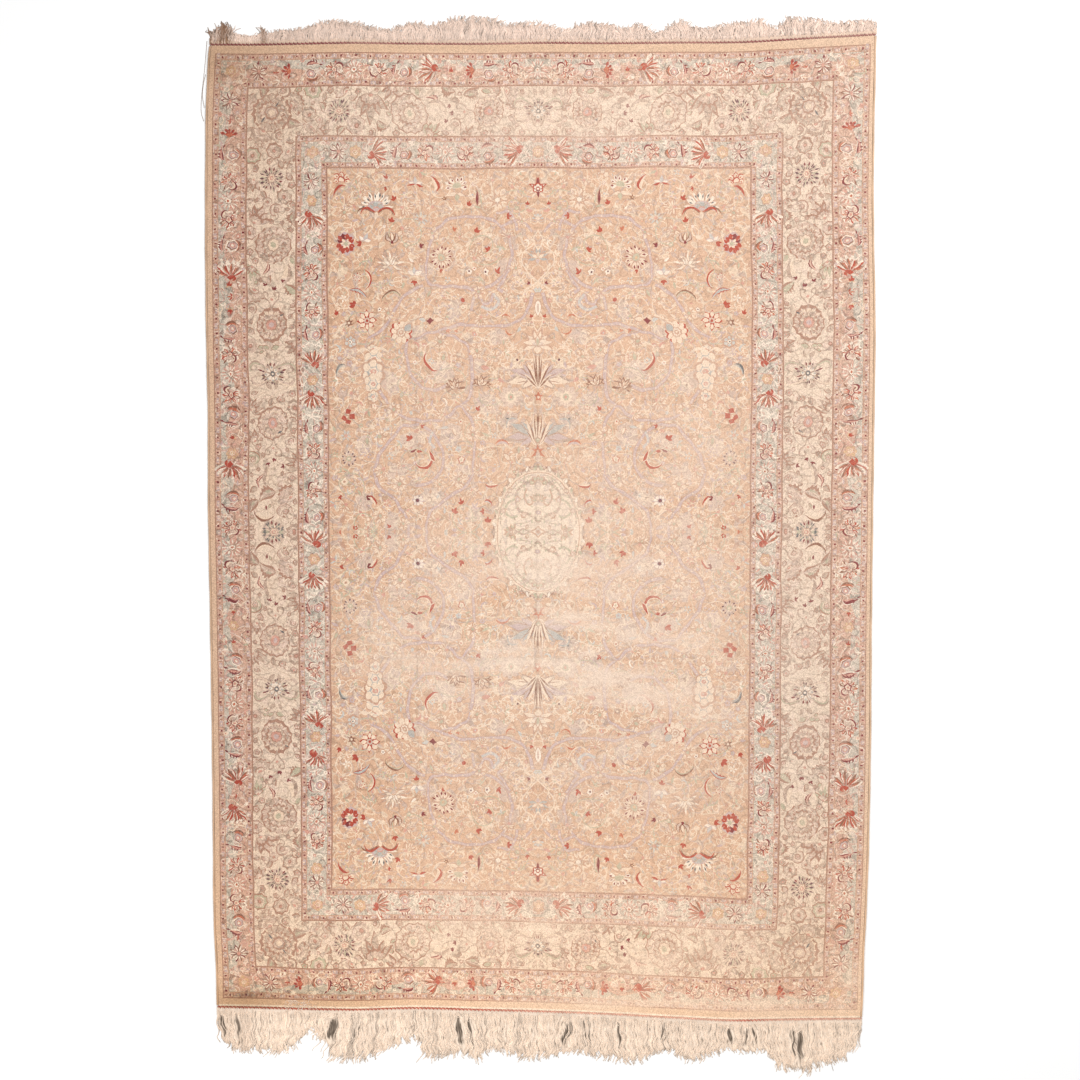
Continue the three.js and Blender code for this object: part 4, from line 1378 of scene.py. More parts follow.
@dataclass
class MainBorderChart(Chart):
    """The upper left quarter of the cream main border with its tonal arabesque."""

    depth: float = 66.5

    def draw(self) -> None:
        """Lays the repeat along the top and the left side, the corner, and the leaves that fill between."""
        top, left = Course(Side.TOP, self.depth), Course(Side.LEFT, self.depth)
        self.layer = 4
        for course, flowers in ((top, (0, 200)), (left, (0, 158, 352))):
            for place in flowers:
                self.big_daisy(course.spot(-place if course is top else place), place == 0 and course is left)
        self.star_group(top.spot(0))
        self.star_group(left.spot(158, 0, 90))
        for course, sign, start in ((top, -1, 0), (left, -1, 158), (left, 1, 158)):
            self.run(course, start, sign)
        self.corner()
        self.layer = 2
        self.filling()

    def big_daisy(self, spot: Spot, dark: bool) -> None:
        """The many-petalled flower that marks each corner and the middle of a side."""
        tips = Yarn.SLATE if dark else Yarn.PLUM
        self.lay(lobed(13.4, 14, 0.08, 2), Yarn.BORDER_CREAM, spot)
        self.lay(lobed(12.0, 17, 0.14, 2), Yarn.DUSTY, spot)
        for index in range(17):
            place = spot.step(turn=360.0 / 17 * index + self.rng.uniform(-5, 5))
            long = self.rng.uniform(0.86, 1.14)
            tip = Yarn.CRIMSON if index in (4, 5, 9, 11, 14) else tips
            self.lay(petal(8.0 * long, 2.1, 4.0, 3, 1.3), (Yarn.SAGE, Yarn.CREAM)[index % 2], place)
            self.lay(petal(4.8 * long, 1.85, 7.2, 2), tip, place)
            self.lay(petal(3.2, 1.2, 4.1, 2), tips, spot.step(turn=360.0 / 17 * (index + 0.5)))
        for reach, yarn in ((4.4, Yarn.LINE), (3.8, Yarn.CREAM), (2.4, Yarn.ROSE), (1.2, Yarn.CREAM)):
            self.lay(lobed(reach, 6, 0.24, 2), yarn, spot)
        self.claim(spot, 13.0)

    def star_group(self, spot: Spot) -> None:
        """The small star with four curved arms and crimson points."""
        for side in (-1, 1):
            for tip in (-1, 1):
                arm = through((
                    (side * 3, tip * 3), (side * 9, tip * 9), (side * 19, tip * 11), (side * 23, tip * 5),
                    (side * 17, tip * 2.5),
                ), 2.0)
                self.lay(
                    ribbon(arm, tapered(len(arm), 3.6, 0.9)), Yarn.STONE if tip > 0 else Yarn.DUSTY, spot
                )
                self.lay(ribbon(arm, tapered(len(arm), 1.5, 0.3)), Yarn.SAGE if tip > 0 else Yarn.CREAM, spot)
                self.leaf(
                    spot.step(side * 10, tip * 3, side * tip * 70), 5, 1.6,
                    Yarn.CRIMSON if tip > 0 else Yarn.BROWN
                )
                self.leaf(spot.step(side * 2, tip * 15, side * 30), 8, 2.6, Yarn.TAUPE, Yarn.STONE)
        self.daisy(spot, 7.5, 8, (Yarn.STONE, Yarn.IVORY, Yarn.GREY_BLUE, Yarn.SLATE, Yarn.IVORY))
        self.claim(spot, 22)

    def run(self, course: Course, start: float, sign: int) -> None:
        """The motifs that follow one another from a star to the next flower.

        Args:
            course: The side they run along.
            start: The star's place along it.
            sign: Which way they run.
        """
        room = 200 if course.side is Side.TOP else (158 if sign < 0 else 194)
        head = 90.0 * sign

        def at(step: float, off: float = 0.0, turn: float = 0.0) -> Spot:
            """A spot a number of squares from the star, facing away from it at a turn of nought."""
            return course.spot(start + sign * step, off, head + turn)

        self.ringed(at(49), 16, 14, (Yarn.LINE, Yarn.DUSTY, Yarn.CREAM, Yarn.TAUPE, Yarn.ROSE, Yarn.LAVENDER))
        self.leaf(at(57, -9, 60), 5, 1.6, Yarn.SLATE)
        self.lyre(at(73), 10, Yarn.STONE, Yarn.ROSE)
        for step, off, turn in ((84, -2, 20), (88, 6, -30), (92, -11, 60)):
            self.bud(at(step, off, turn), 4.8, Yarn.CRIMSON)
        self.toothed(at(99, 9, 20), 15, 5, 3, 6, (Yarn.CRIMSON, Yarn.ROSE, Yarn.CREAM))
        self.sickle(at(104, -4), 14, 60, 150, 4, (Yarn.STONE, Yarn.CREAM))
        if room < 170:
            self.mass(at(120, 6, 60), 9, Yarn.TAUPE, Tonal.LEAF)
            self.mass(at(121, -13, 120), 8, Yarn.DUSTY, Tonal.HALF_FLOWER)
            self.sickle(at(136, 8), 10, -60, 90, 2.4, (Yarn.BROWN, Yarn.CREAM))
            self.leaf(at(131, 7, 10), 5, 2, Yarn.CRIMSON)
            return
        self.ringed(
            at(129, -2), 18, 14, (Yarn.LINE, Yarn.DUSTY, Yarn.BORDER_CREAM, Yarn.TAUPE, Yarn.CREAM, Yarn.SAGE)
        )
        if room < 196:
            self.mass(at(176, -13, 30), 8, Yarn.TAUPE, Tonal.ROSETTE)
            self.mass(at(158, 12, 30), 11, Yarn.DUSTY, Tonal.PALMETTE)
            return
        self.mass(at(168, 5, -90), 14.5, Yarn.TAUPE, Tonal.PALMETTE)
        self.mass(at(183, -14, 20), 9.5, Yarn.DUSTY, Tonal.ROSETTE)
        self.mass(at(156, -14, 200), 7.5, Yarn.TAUPE, Tonal.LEAF)

    def ringed(self, spot: Spot, radius: float, lobes: int, yarns: tuple) -> None:
        """A large tonal flower: scallops with a line between each two, then rays, inside one another.

        Args:
            spot: Its middle.
            radius: To the outer scallops.
            lobes: How many scallops.
            yarns: Edge, outer ring, rays, inner ring, heart's ring and heart.
        """
        edge, outer, ray, inner, ring, heart = yarns
        for grow, yarn in ((1.04, edge), (1.0, outer), (0.86, ray), (0.81, outer)):
            self.lay(lobed(radius * grow, lobes, 0.14, 3), yarn, spot)
        for index in range(lobes):
            place = spot.step(turn=360.0 * (index + 0.5) / lobes)
            self.lay(petal(radius * 0.3, 1.0, radius * 0.64, 2), edge, place)
            self.lay(
                petal(radius * 0.16, radius * 0.1, radius * 0.76, 2), ray,
                spot.step(turn=360.0 * index / lobes)
            )
        for share, yarn in ((0.66, edge), (0.61, inner)):
            self.lay(lobed(radius * share, lobes, 0.2, 2), yarn, spot)
        for index in range(lobes - 4):
            place = spot.step(turn=360.0 * index / (lobes - 4))
            self.lay(petal(radius * 0.2, radius * 0.13, radius * 0.37, 2), ray, place)
        self.lay(lobed(radius * 0.36, 8, 0.16, 2), edge, spot)
        self.lay(lobed(radius * 0.31, 8, 0.16, 2), ring, spot)
        self.lay(disc(radius * 0.15, 6), heart, spot)
        self.claim(spot, radius + 0.6)

    def mass(self, spot: Spot, radius: float, body: Yarn, kind: Tonal) -> None:
        """One tonal motif with a brown outline and its own inner drawing.

        Args:
            spot: Its middle.
            radius: Its reach.
            body: Its yarn.
            kind: Which motif it is.
        """
        line, light, blush = Yarn.LINE, Yarn.BORDER_CREAM, Yarn.ROSE
        if kind is Tonal.ROSETTE:
            for share, yarn, lobes in (
                (1.06, line, 8), (0.98, body, 8), (0.66, light, 8), (0.56, Yarn.DUSTY, 8), (0.3, line, 5)
            ):
                self.lay(lobed(radius * share, lobes, 0.16, 2), yarn, spot)
            self.lay(disc(radius * 0.14, 5), blush, spot)
        elif kind is Tonal.HALF_FLOWER:
            foot = spot.step(0, -radius * 0.62)
            for share, yarn in (
                (1.66, line), (1.56, body), (1.12, light), (1.0, Yarn.DUSTY), (0.6, line), (0.5, light),
                (0.3, blush)
            ):
                self.lay(scallops(radius * share, 7, 150.0, 0.14, 2), yarn, foot)
        elif kind is Tonal.LEAF:
            foot = spot.step(-radius * 0.2, -radius)
            self.toothed(foot, radius * 2, radius * 1.5, radius * 0.34, 6, (line, body, light))
            self.lay(
                petal(radius * 0.9, radius * 0.3, radius * 0.4, 3), Yarn.SAGE, foot.step(radius * 0.3, 0, 6)
            )
        elif kind is Tonal.CURL:
            for wide, yarn in ((0.82, line), (0.66, body), (0.2, light)):
                path = bow(radius * 0.62, -20, 250, 11)
                self.lay(ribbon(path, tapered(len(path), radius * wide, 0.5)), yarn, spot)
            self.floret(spot.step(0, -radius * 0.1), radius * 0.34, 5, (line, Yarn.DUSTY, blush))
        else:
            foot = spot.step(0, -radius * 0.8)
            for grow, yarn in ((1.08, line), (0.98, body)):
                for angle in (-52, 52, -27, 27, 0):
                    long = radius * (1.9 if angle == 0 else 1.5) * grow
                    self.lay(petal(long, radius * 0.62 * grow, 0, 4), yarn, foot.step(turn=angle))
            for angle in (-40, 40, -14, 14):
                self.lay(petal(radius * 0.9, radius * 0.2, radius * 0.4, 3), line, foot.step(turn=angle))
            for share, yarn in ((0.84, line), (0.72, Yarn.DUSTY), (0.4, light), (0.22, blush)):
                self.lay(scallops(radius * share, 5, 130.0, 0.16, 2), yarn, foot)
        self.claim(spot, radius * 0.94)

    def corner(self) -> None:
        """The large flower in the corner with leaves on all hands, so that almost no cream shows."""
        x, y = self.depth - HALF_WIDE, HALF_LONG - self.depth
        spot = Spot(x, y, -45)
        for angle, reach, kind in (
            (20, 25, Tonal.LEAF), (70, 24, Tonal.CURL), (115, 25, Tonal.HALF_FLOWER), (160, 24, Tonal.LEAF),
            (205, 24, Tonal.CURL), (250, 24, Tonal.HALF_FLOWER), (335, 24, Tonal.HALF_FLOWER),
        ):
            body = Yarn.TAUPE if angle % 2 else Yarn.STONE
            self.mass(spot.step(turn=angle).step(0, reach), 8.5, body, kind)
        self.ringed(spot, 20, 15, (Yarn.LINE, Yarn.TAUPE, Yarn.CREAM, Yarn.DUSTY, Yarn.DUSTY, Yarn.CREAM))
        for side in (-1, 1):
            self.leaf(spot.step(side * 7, 2, side * 100), 6, 1.6, Yarn.SLATE)
        self.mass(Spot(x + 37, y - 3, 10), 8, Yarn.TAUPE, Tonal.ROSETTE)
        self.mass(Spot(x + 3, y - 38, 10), 8, Yarn.TAUPE, Tonal.ROSETTE)

    def filling(self) -> None:
        """Tonal motifs packed between the main ones, large ones first, so that cream shows as narrow gaps."""
        tones = (Yarn.TAUPE, Yarn.DUSTY, Yarn.STONE, Yarn.TAUPE, Yarn.SAGE, Yarn.DUSTY)

        def large(spot: Spot, radius: float) -> None:
            """Draws one of the five tonal motifs by lot."""
            body = tones[self.rng.integers(0, len(tones))]
            self.mass(spot, radius, body, Tonal(int(self.rng.integers(0, len(Tonal)))))

        def small(spot: Spot, radius: float) -> None:
            """Draws a floret or a small leaf."""
            body = tones[self.rng.integers(0, len(tones))]
            if self.rng.random() < 0.4:
                self.floret(spot, radius * 0.85, 5, (Yarn.LINE, body, Yarn.ROSE))
            else:
                self.leaf(spot.step(0, -radius), radius * 2.1, radius * 1.2, body, Yarn.LINE)

        inner_x, inner_y = HALF_WIDE - MAIN_ENDS, HALF_LONG - MAIN_ENDS
        outer_x, outer_y = HALF_WIDE - OUTER_ENDS, HALF_LONG - OUTER_ENDS
        for box in (
            (-outer_x + 2, inner_y + 2, -1, outer_y - 2), (-outer_x + 2, 1, -inner_x - 2, inner_y + 2)
        ):
            sown = self.sow(1600, box, (4.6, 8.8), large, 0.2)
            sown += self.sow(2600, box, (1.9, 4.2), small, 0.2)
            self.layer = 1
            self.link(sown, Yarn.TAUPE, 1.3, 14.0)
            self.layer = 2
            self.sow(
                1600, box, (0.9, 1.5), lambda spot, r: self.leaf(spot, r * 2.2, r * 1.3, Yarn.TAUPE), 0.4
            )


class Motif(Enum):
    """The motifs that run round the minor borders, each with its letter in the borders' rows."""

    DAISY = "D"
    PALMETTE = "P"
    CARNATION = "C"
    CURL = "S"
    FLORET = "F"
    STAR = "X"
    HALF_FLOWER = "H"
    BUD = "k"
    PETALS = "r"


@dataclass
class MinorBorderChart(Chart):
    """What the two minor borders share: guard stripes, plain lines and the flowers that run round them."""

    def stripes(self, rows: tuple) -> None:
        """Plain bands round the rug, each given by its distances in from the rim and its yarn."""
        for outer, inner, yarn in rows:
            self.lay(half_ring(outer, inner), yarn)

    def lines(self, depths: tuple) -> None:
        """Thin fawn lines round the rug, each at its distance in from the rim."""
        for depth in depths:
            self.lay(half_ring(depth - 0.45, depth + 0.45), Yarn.FAWN)

    @staticmethod
    def motifs(rows: tuple) -> list:
        """The rows with each letter turned into its motif."""
        return [(Motif(letter), along, turn) for letter, along, turn in rows]

    @staticmethod
    def facing(kind: Motif, way: int, lean: float) -> float:
        """A motif's turn on a side: a quarter turn its way, or a lean where it is a curled leaf."""
        return 90.0 * way if way else lean * (kind is Motif.CURL)

    def guard(self, depth: float, width: float, dot: Yarn) -> None:
        """Dots along a guard stripe, with paler blocks between them.

        Args:
            depth: The stripe's middle, in squares in from the rim.
            width: The stripe's width.
            dot: The dots' yarn.
        """
        pitch = 14.8
        for side in Side:
            half = (HALF_LONG if side is Side.LEFT else HALF_WIDE) - depth
            course = Course(side, depth)
            for index in range(int((half * (2 if side is Side.LEFT else 1)) / pitch) + 1):
                along = -half + 4 + pitch * index
                spot, between = course.spot(along), course.spot(along + pitch / 2)
                self.lay(rectangle(-0.8, -width * 0.2, 0.8, width * 0.24), dot, spot)
                for off in (-3.4, 3.4):
                    self.lay(rectangle(off - 0.5, -width * 0.34, off + 0.5, width * 0.34), Yarn.LINE, spot)
                self.lay(rectangle(-2.4, -width * 0.3, 2.4, width * 0.3), Yarn.LAVENDER, between)
                self.lay(rectangle(-0.6, -width * 0.2, 0.6, width * 0.2), Yarn.CREAM, between)

    def flower(self, kind: Motif, spot: Spot, size: float) -> None:
        """One motif of the running border.

        Args:
            kind: Which motif it is.
            spot: Its middle, facing the way that it opens.
            size: Its radius in squares.
        """
        red, coral, dark, white = Yarn.BRICK, Yarn.CORAL, Yarn.CRIMSON, Yarn.IVORY
        if kind is Motif.DAISY:
            for index in range(24):
                place = spot.step(turn=15.0 * index)
                long = size * (0.62 if index % 2 else 0.5)
                self.lay(petal(long, size * 0.15, size * 0.42, 2), Yarn.ROSE if index % 2 else white, place)
            self.lay(lobed(size * 0.4, 8, 0.3, 2), Yarn.BROWN, spot)
            self.lay(lobed(size * 0.32, 8, 0.3, 2), white, spot)
            self.lay(disc(size * 0.14, 5), coral, spot)
        elif kind is Motif.PALMETTE:
            self.palmette(spot, size)
        elif kind is Motif.CARNATION:
            foot = spot.step(size * 0.1, -size * 0.8)
            self.lay(scallops(size * 1.9, 8, 150.0, 0.24, 3), white, foot)
            self.lay(scallops(size * 1.76, 8, 144.0, 0.26, 3), Yarn.DUSTY, foot)
            for index in range(8):
                place = foot.step(turn=-62 + 17.0 * index + self.rng.uniform(-4, 4))
                long = size * self.rng.uniform(1.35, 1.8)
                self.lay(petal(long, size * 0.29, size * 0.2, 4, 1.2), (Yarn.BROWN, red)[index % 2], place)
                self.lay(petal(long * 0.7, size * 0.16, size * 0.5, 3, 1.2), (coral, white)[index % 2], place)
            self.sickle(foot.step(size * 0.2, -size * 0.1), size * 0.34, -60, 190, size * 0.3, (red, coral))
            self.lay(lobed(size * 0.34, 4, 0.3, 2), red, foot)
        elif kind is Motif.CURL:
            self.curl(spot, size)
        elif kind is Motif.FLORET:
            self.rosette(
                spot, size * 0.66, 6, (Yarn.FAWN, Yarn.OCHRE, Yarn.ROSE, Yarn.CREAM, Yarn.OCHRE, white)
            )
        elif kind is Motif.STAR:
            for index in range(10):
                place = spot.step(turn=36.0 * index)
                self.lay(
                    petal(size * 0.95, size * 0.3, size * 0.1, 3, 1.2), Yarn.BROWN if index % 2 else dark,
                    place
                )
                self.lay(petal(size * 0.7, size * 0.17, size * 0.2, 3, 1.2), white, place)
            self.lay(disc(size * 0.2, 6), Yarn.ROSE, spot)
        elif kind is Motif.HALF_FLOWER:
            self.fan(spot.step(0, -size * 0.3), size, 5, 150, (None, red, dark, coral, red))
        elif kind is Motif.BUD:
            self.bud(spot.step(0, -size * 0.3), size * 0.85, coral if size > 7 else red, Yarn.OCHRE)
        else:
            for angle in (-50, 10, 70):
                self.leaf(
                    spot.step(0, -size * 0.3, angle), size * 0.72, size * 0.26, coral if angle == 10 else red
                )
        self.claim(spot, size)

    def palmette(self, spot: Spot, size: float) -> None:
        """An open flower of uneven red, coral and brown petals with pale streaks, and a dark hook."""
        petals = (Yarn.BRICK, Yarn.CORAL, Yarn.BROWN, Yarn.BRICK, Yarn.BROWN)
        cup = spot.step(0, -size * 0.12)
        self.lay(lobed(size * 1.1, 9, 0.2, 2), Yarn.IVORY, cup)
        self.lay(lobed(size * 0.96, 9, 0.24, 2), Yarn.DUSTY, cup)
        for index in range(10):
            place = cup.step(turn=-130 + 29.0 * index + self.rng.uniform(-8, 8))
            long = size * self.rng.uniform(0.8, 1.2)
            self.lay(petal(long * 0.72, size * 0.29, size * 0.28, 3, 1.2), petals[index % 5], place)
            self.lay(
                petal(long * 0.46, size * 0.13, size * 0.4, 2), (Yarn.IVORY, Yarn.CREAM)[index % 2], place
            )
        for reach, yarn in ((0.4, Yarn.CRIMSON), (0.31, Yarn.CREAM), (0.17, Yarn.ROSE)):
            self.lay(lobed(size * reach, 5, 0.24, 2), yarn, cup)
        self.sickle(
            cup.step(size * 0.26, -size * 0.56), size * 0.46, 10, 220, size * 0.2, (Yarn.CRIMSON, Yarn.CREAM)
        )
        self.lay(petal(size * 0.7, size * 0.2, 0, 2), Yarn.BROWN, cup.step(-size * 0.4, -size * 0.6, 210))

    def curl(self, spot: Spot, size: float) -> None:
        """A leaf like an S: a toothed crimson half that turns into a round lavender and rose one."""
        share = np.linspace(0, 1, 9)
        upper = np.column_stack((-size * 0.95 * np.sin(np.pi * share * 0.55), size * (1.0 - share)))
        for wide, yarn in ((0.62, Yarn.IVORY), (0.46, Yarn.CRIMSON), (0.24, Yarn.ROSE)):
            self.lay(ribbon(upper, tapered(len(upper), size * wide, 0.7)), yarn, spot)
        for index in (1, 3, 5):
            x, y = upper[index]
            self.lay(petal(size * 0.46, size * 0.18, 0, 2), Yarn.CRIMSON, spot.step(x, y, -70.0 + 10 * index))
        lower = spot.step(size * 0.12, -size * 0.42)
        for grow, yarn in (
            (1.16, Yarn.IVORY), (1.0, Yarn.BROWN), (0.86, Yarn.LAVENDER), (0.54, Yarn.ROSE),
            (0.28, Yarn.IVORY)
        ):
            self.lay(lobed(size * 0.6 * grow, 6, 0.16, 2, 0.9), yarn, lower)
        self.sickle(lower.step(size * 0.1, 0), size * 0.78, 70, 200, size * 0.24, (Yarn.BROWN, Yarn.CORAL))
        self.lay(petal(size * 0.6, size * 0.2, 0, 2), Yarn.CRIMSON, spot.step(0, size * 0.9, 70))

    def sprinkle(self, outer: float, inner: float, yarns: tuple, edge: Yarn) -> None:
        """Small leaves and florets in the room that the running flowers leave, joined by thin stems.

        Args:
            outer: Where the ground starts, in squares in from the rim.
            inner: Where it ends.
            yarns: The yarns drawn by lot.
            edge: The stems' yarn.
        """
        far_x, far_y = HALF_WIDE - outer, HALF_LONG - outer
        near_x, near_y = HALF_WIDE - inner, HALF_LONG - inner
        for box in (
            (-far_x, near_y, -1, far_y), (-far_x, -far_y, -1, -near_y), (-far_x, -near_y, -near_x, near_y)
        ):
            sown = self.sow(1100, box, (1.6, 3.3), lambda spot, r: self.spray(spot, r, yarns), 0.4)
            self.layer = 1
            self.link(sown, edge, 0.9, 13.0)
            self.layer = 2
            self.sow(700, box, (0.8, 1.3), lambda spot, r: self.leaf(spot, r * 2, r, self.pick(yarns)), 0.5)

    def pick(self, yarns: tuple) -> Yarn:
        """One of the yarns, drawn by lot."""
        return yarns[self.rng.integers(0, len(yarns))]

    def spray(self, spot: Spot, radius: float, yarns: tuple) -> None:
        """A floret or a pair of leaves in yarns drawn by lot."""
        if self.rng.random() < 0.45:
            self.floret(spot, radius * 0.8, 5, (None, self.pick(yarns), self.pick(yarns)))
        else:
            for angle in (-35, 35):
                self.leaf(spot.step(0, -radius, angle), radius * 1.9, radius * 0.6, self.pick(yarns))


# Each motif's radius in the outer minor border, in squares.
OUTER_SIZES = {
    Motif.DAISY: 9.6, Motif.PALMETTE: 8.4, Motif.CARNATION: 8.6, Motif.CURL: 8.6, Motif.FLORET: 8.0,
    Motif.STAR: 9.0, Motif.HALF_FLOWER: 8.0, Motif.BUD: 5.6, Motif.PETALS: 5.4,
}


@dataclass
class OuterBorderChart(MinorBorderChart):
    """The plain rim, the outer minor border, half blue and half rose, and its guard stripes."""

    top_row: tuple = (
        ("D", 0, 0), ("P", -29, -90), ("S", -49, 40), ("H", -69, -90), ("k", -88, 0), ("r", -101, 0),
        ("C", -112, -90), ("S", -138, -40), ("P", -160, 90), ("D", -186, 0), ("P", -207, -90),
        ("S", -227, 40), ("H", -252, -90), ("r", -264, 0), ("X", -282, 0), ("F", -309, 0),
    )
    side_row: tuple = (
        ("X", 429, 0), ("r", 409, 0), ("H", 397, 1), ("S", 377, 0), ("P", 351, 1), ("D", 330, 0),
        ("P", 310, -1), ("S", 287, 0), ("C", 261, 1), ("k", 248, 1), ("r", 235, 0), ("k", 221, -1),
        ("S", 200, 0), ("P", 179, 1), ("D", 158, 0), ("P", 136, -1), ("S", 115, 0), ("k", 95, 0),
        ("F", 79, 0), ("C", 62, -1), ("S", 31, 0), ("P", 6, 1), ("D", -16, 0), ("P", -39, -1), ("S", -61, 0),
        ("k", -81, -1), ("F", -94, 0), ("k", -110, 1), ("S", -133, 0), ("P", -152, 1), ("D", -174, 0),
        ("P", -195, -1), ("S", -218, 0), ("C", -246, 1), ("r", -267, 0), ("C", -286, -1), ("S", -313, 0),
        ("P", -337, 1), ("D", -358, 0), ("P", -378, -1), ("S", -400, 0), ("r", -413, 0), ("X", -429, 0),
    )
    depth: float = 24.8

    def draw(self) -> None:
        """Lays the stripes, the two-coloured ground, the running flowers and the small work."""
        self.stripes((
            (0, 9, Yarn.CAMEL), (8.9, 10.0, Yarn.LINE), (10.0, 15.4, Yarn.PINK_BEIGE),
            (36.2, 41.0, Yarn.PINK_BEIGE), (41.0, 42.6, Yarn.LINE),
        ))
        self.lay(rectangle(-340, -483.7, 1, -481.1), Yarn.IVORY)
        self.lines((15.2, 36.0))
        self.two_grounds()
        self.layer = 1
        self.guard(12.6, 4.4, Yarn.CRIMSON)
        self.guard(38.6, 4.6, Yarn.CRIMSON)
        self.layer = 4
        top, bottom = Course(Side.TOP, self.depth + 0.8), Course(Side.BOTTOM, self.depth + 0.8)
        left = Course(Side.LEFT, self.depth)
        for kind, along, turn in self.motifs(self.top_row):
            self.flower(kind, top.spot(along, -0.5, turn), OUTER_SIZES[kind])
        for kind, along, turn in self.motifs(self.top_row):
            self.flower(kind, bottom.spot(along * 0.985, -0.5, -turn), OUTER_SIZES[kind])
        for index, (kind, along, way) in enumerate(self.motifs(self.side_row)):
            turn = self.facing(kind, way, 40.0 if index % 2 else -40.0)
            self.flower(kind, left.spot(along, -0.5, turn), OUTER_SIZES[kind])
        self.layer = 2
        self.sprinkle(
            15.8, 36.5,
            (Yarn.IVORY, Yarn.IVORY, Yarn.LAVENDER, Yarn.SAGE, Yarn.ROSE, Yarn.CREAM, Yarn.STONE), Yarn.CREAM,
        )

    def two_grounds(self) -> None:
        """The rose inner half of the ground: its outer edge waves along each side as a sine."""
        for side in Side:
            half = (HALF_LONG if side is Side.LEFT else HALF_WIDE) - 16
            course = Course(side, self.depth)
            along = np.arange(-half, half if side is Side.LEFT else 2.0, 5.0)
            wave = 1.0 + 3.2 * np.sin(2 * np.pi * along / 93.0 + 1.2) + 1.2 * np.sin(2 * np.pi * along / 31.0)
            edge = [course.spot(float(a), float(o)) for a, o in zip(along, wave)]
            foot = [course.spot(float(a), -10.8) for a in (along[-1], along[0])]
            corners = np.array([[spot.x, spot.y] for spot in edge + foot])
            self.lay(corners, Yarn.PINK_BEIGE)


@dataclass
class InnerBorderChart(MinorBorderChart):
    """The inner minor border on its blue ground, between its guard stripes."""

    top_row: tuple = (
        ("F", 0, 0), ("C", -26, -90), ("S", -49, 35), ("P", -71, 90), ("D", -93, 0), ("P", -115, -90),
        ("S", -137, -35), ("C", -160, 90), ("F", -183, 0), ("X", -200, 0), ("F", -226, 0),
    )
    side_row: tuple = (
        ("X", 349, 0), ("F", 330, 0), ("C", 310, -1), ("S", 283, 0), ("P", 261, 1), ("D", 239, 0),
        ("P", 219, -1), ("S", 198, 0), ("C", 174, 1), ("F", 152, 0), ("C", 132, -1), ("S", 105, 0),
        ("P", 82, 1), ("D", 61, 0), ("P", 40, -1), ("S", 16, 0), ("C", -5, 1), ("F", -27, 0), ("C", -50, -1),
        ("S", -75, 0), ("P", -96, 1), ("D", -119, 0), ("P", -139, -1), ("S", -162, 0), ("C", -187, 1),
        ("F", -206, 0), ("C", -230, -1), ("S", -254, 0), ("P", -271, 1), ("D", -291, 0), ("P", -313, -1),
        ("F", -340, 0), ("X", -354, 0),
    )
    depth: float = 106.8

    def draw(self) -> None:
        """Lays the stripes, the running flowers and the small work."""
        self.stripes((
            (90.0, 92.0, Yarn.LINE), (92.0, 96.4, Yarn.PINK_BEIGE), (117.2, 121.4, Yarn.PINK_BEIGE),
            (121.4, 123.6, Yarn.LINE),
        ))
        self.lines((96.2, 117.4))
        self.layer = 1
        self.guard(94.2, 4.2, Yarn.CRIMSON)
        self.guard(119.3, 4.0, Yarn.CRIMSON)
        self.layer = 4
        top, bottom, left = (Course(side, self.depth) for side in Side)
        for kind, along, turn in self.motifs(self.top_row):
            size = {Motif.DAISY: 9.6, Motif.PALMETTE: 8.4}.get(kind, 8.6)
            self.flower(kind, top.spot(along, 0, turn), size)
            self.flower(kind, bottom.spot(along, 0, -turn), size)
        for index, (kind, along, way) in enumerate(self.motifs(self.side_row)):
            size = {Motif.DAISY: 9.2, Motif.PALMETTE: 8.0}.get(kind, 8.2)
            turn = self.facing(kind, way, 35.0 if index % 2 else -35.0)
            self.flower(kind, left.spot(along, 0, turn), size)
        self.layer = 2
        self.sprinkle(
            97.0, 117.0,
            (Yarn.IVORY, Yarn.IVORY, Yarn.LAVENDER, Yarn.SAGE, Yarn.ROSE, Yarn.STONE), Yarn.IVORY,
        )


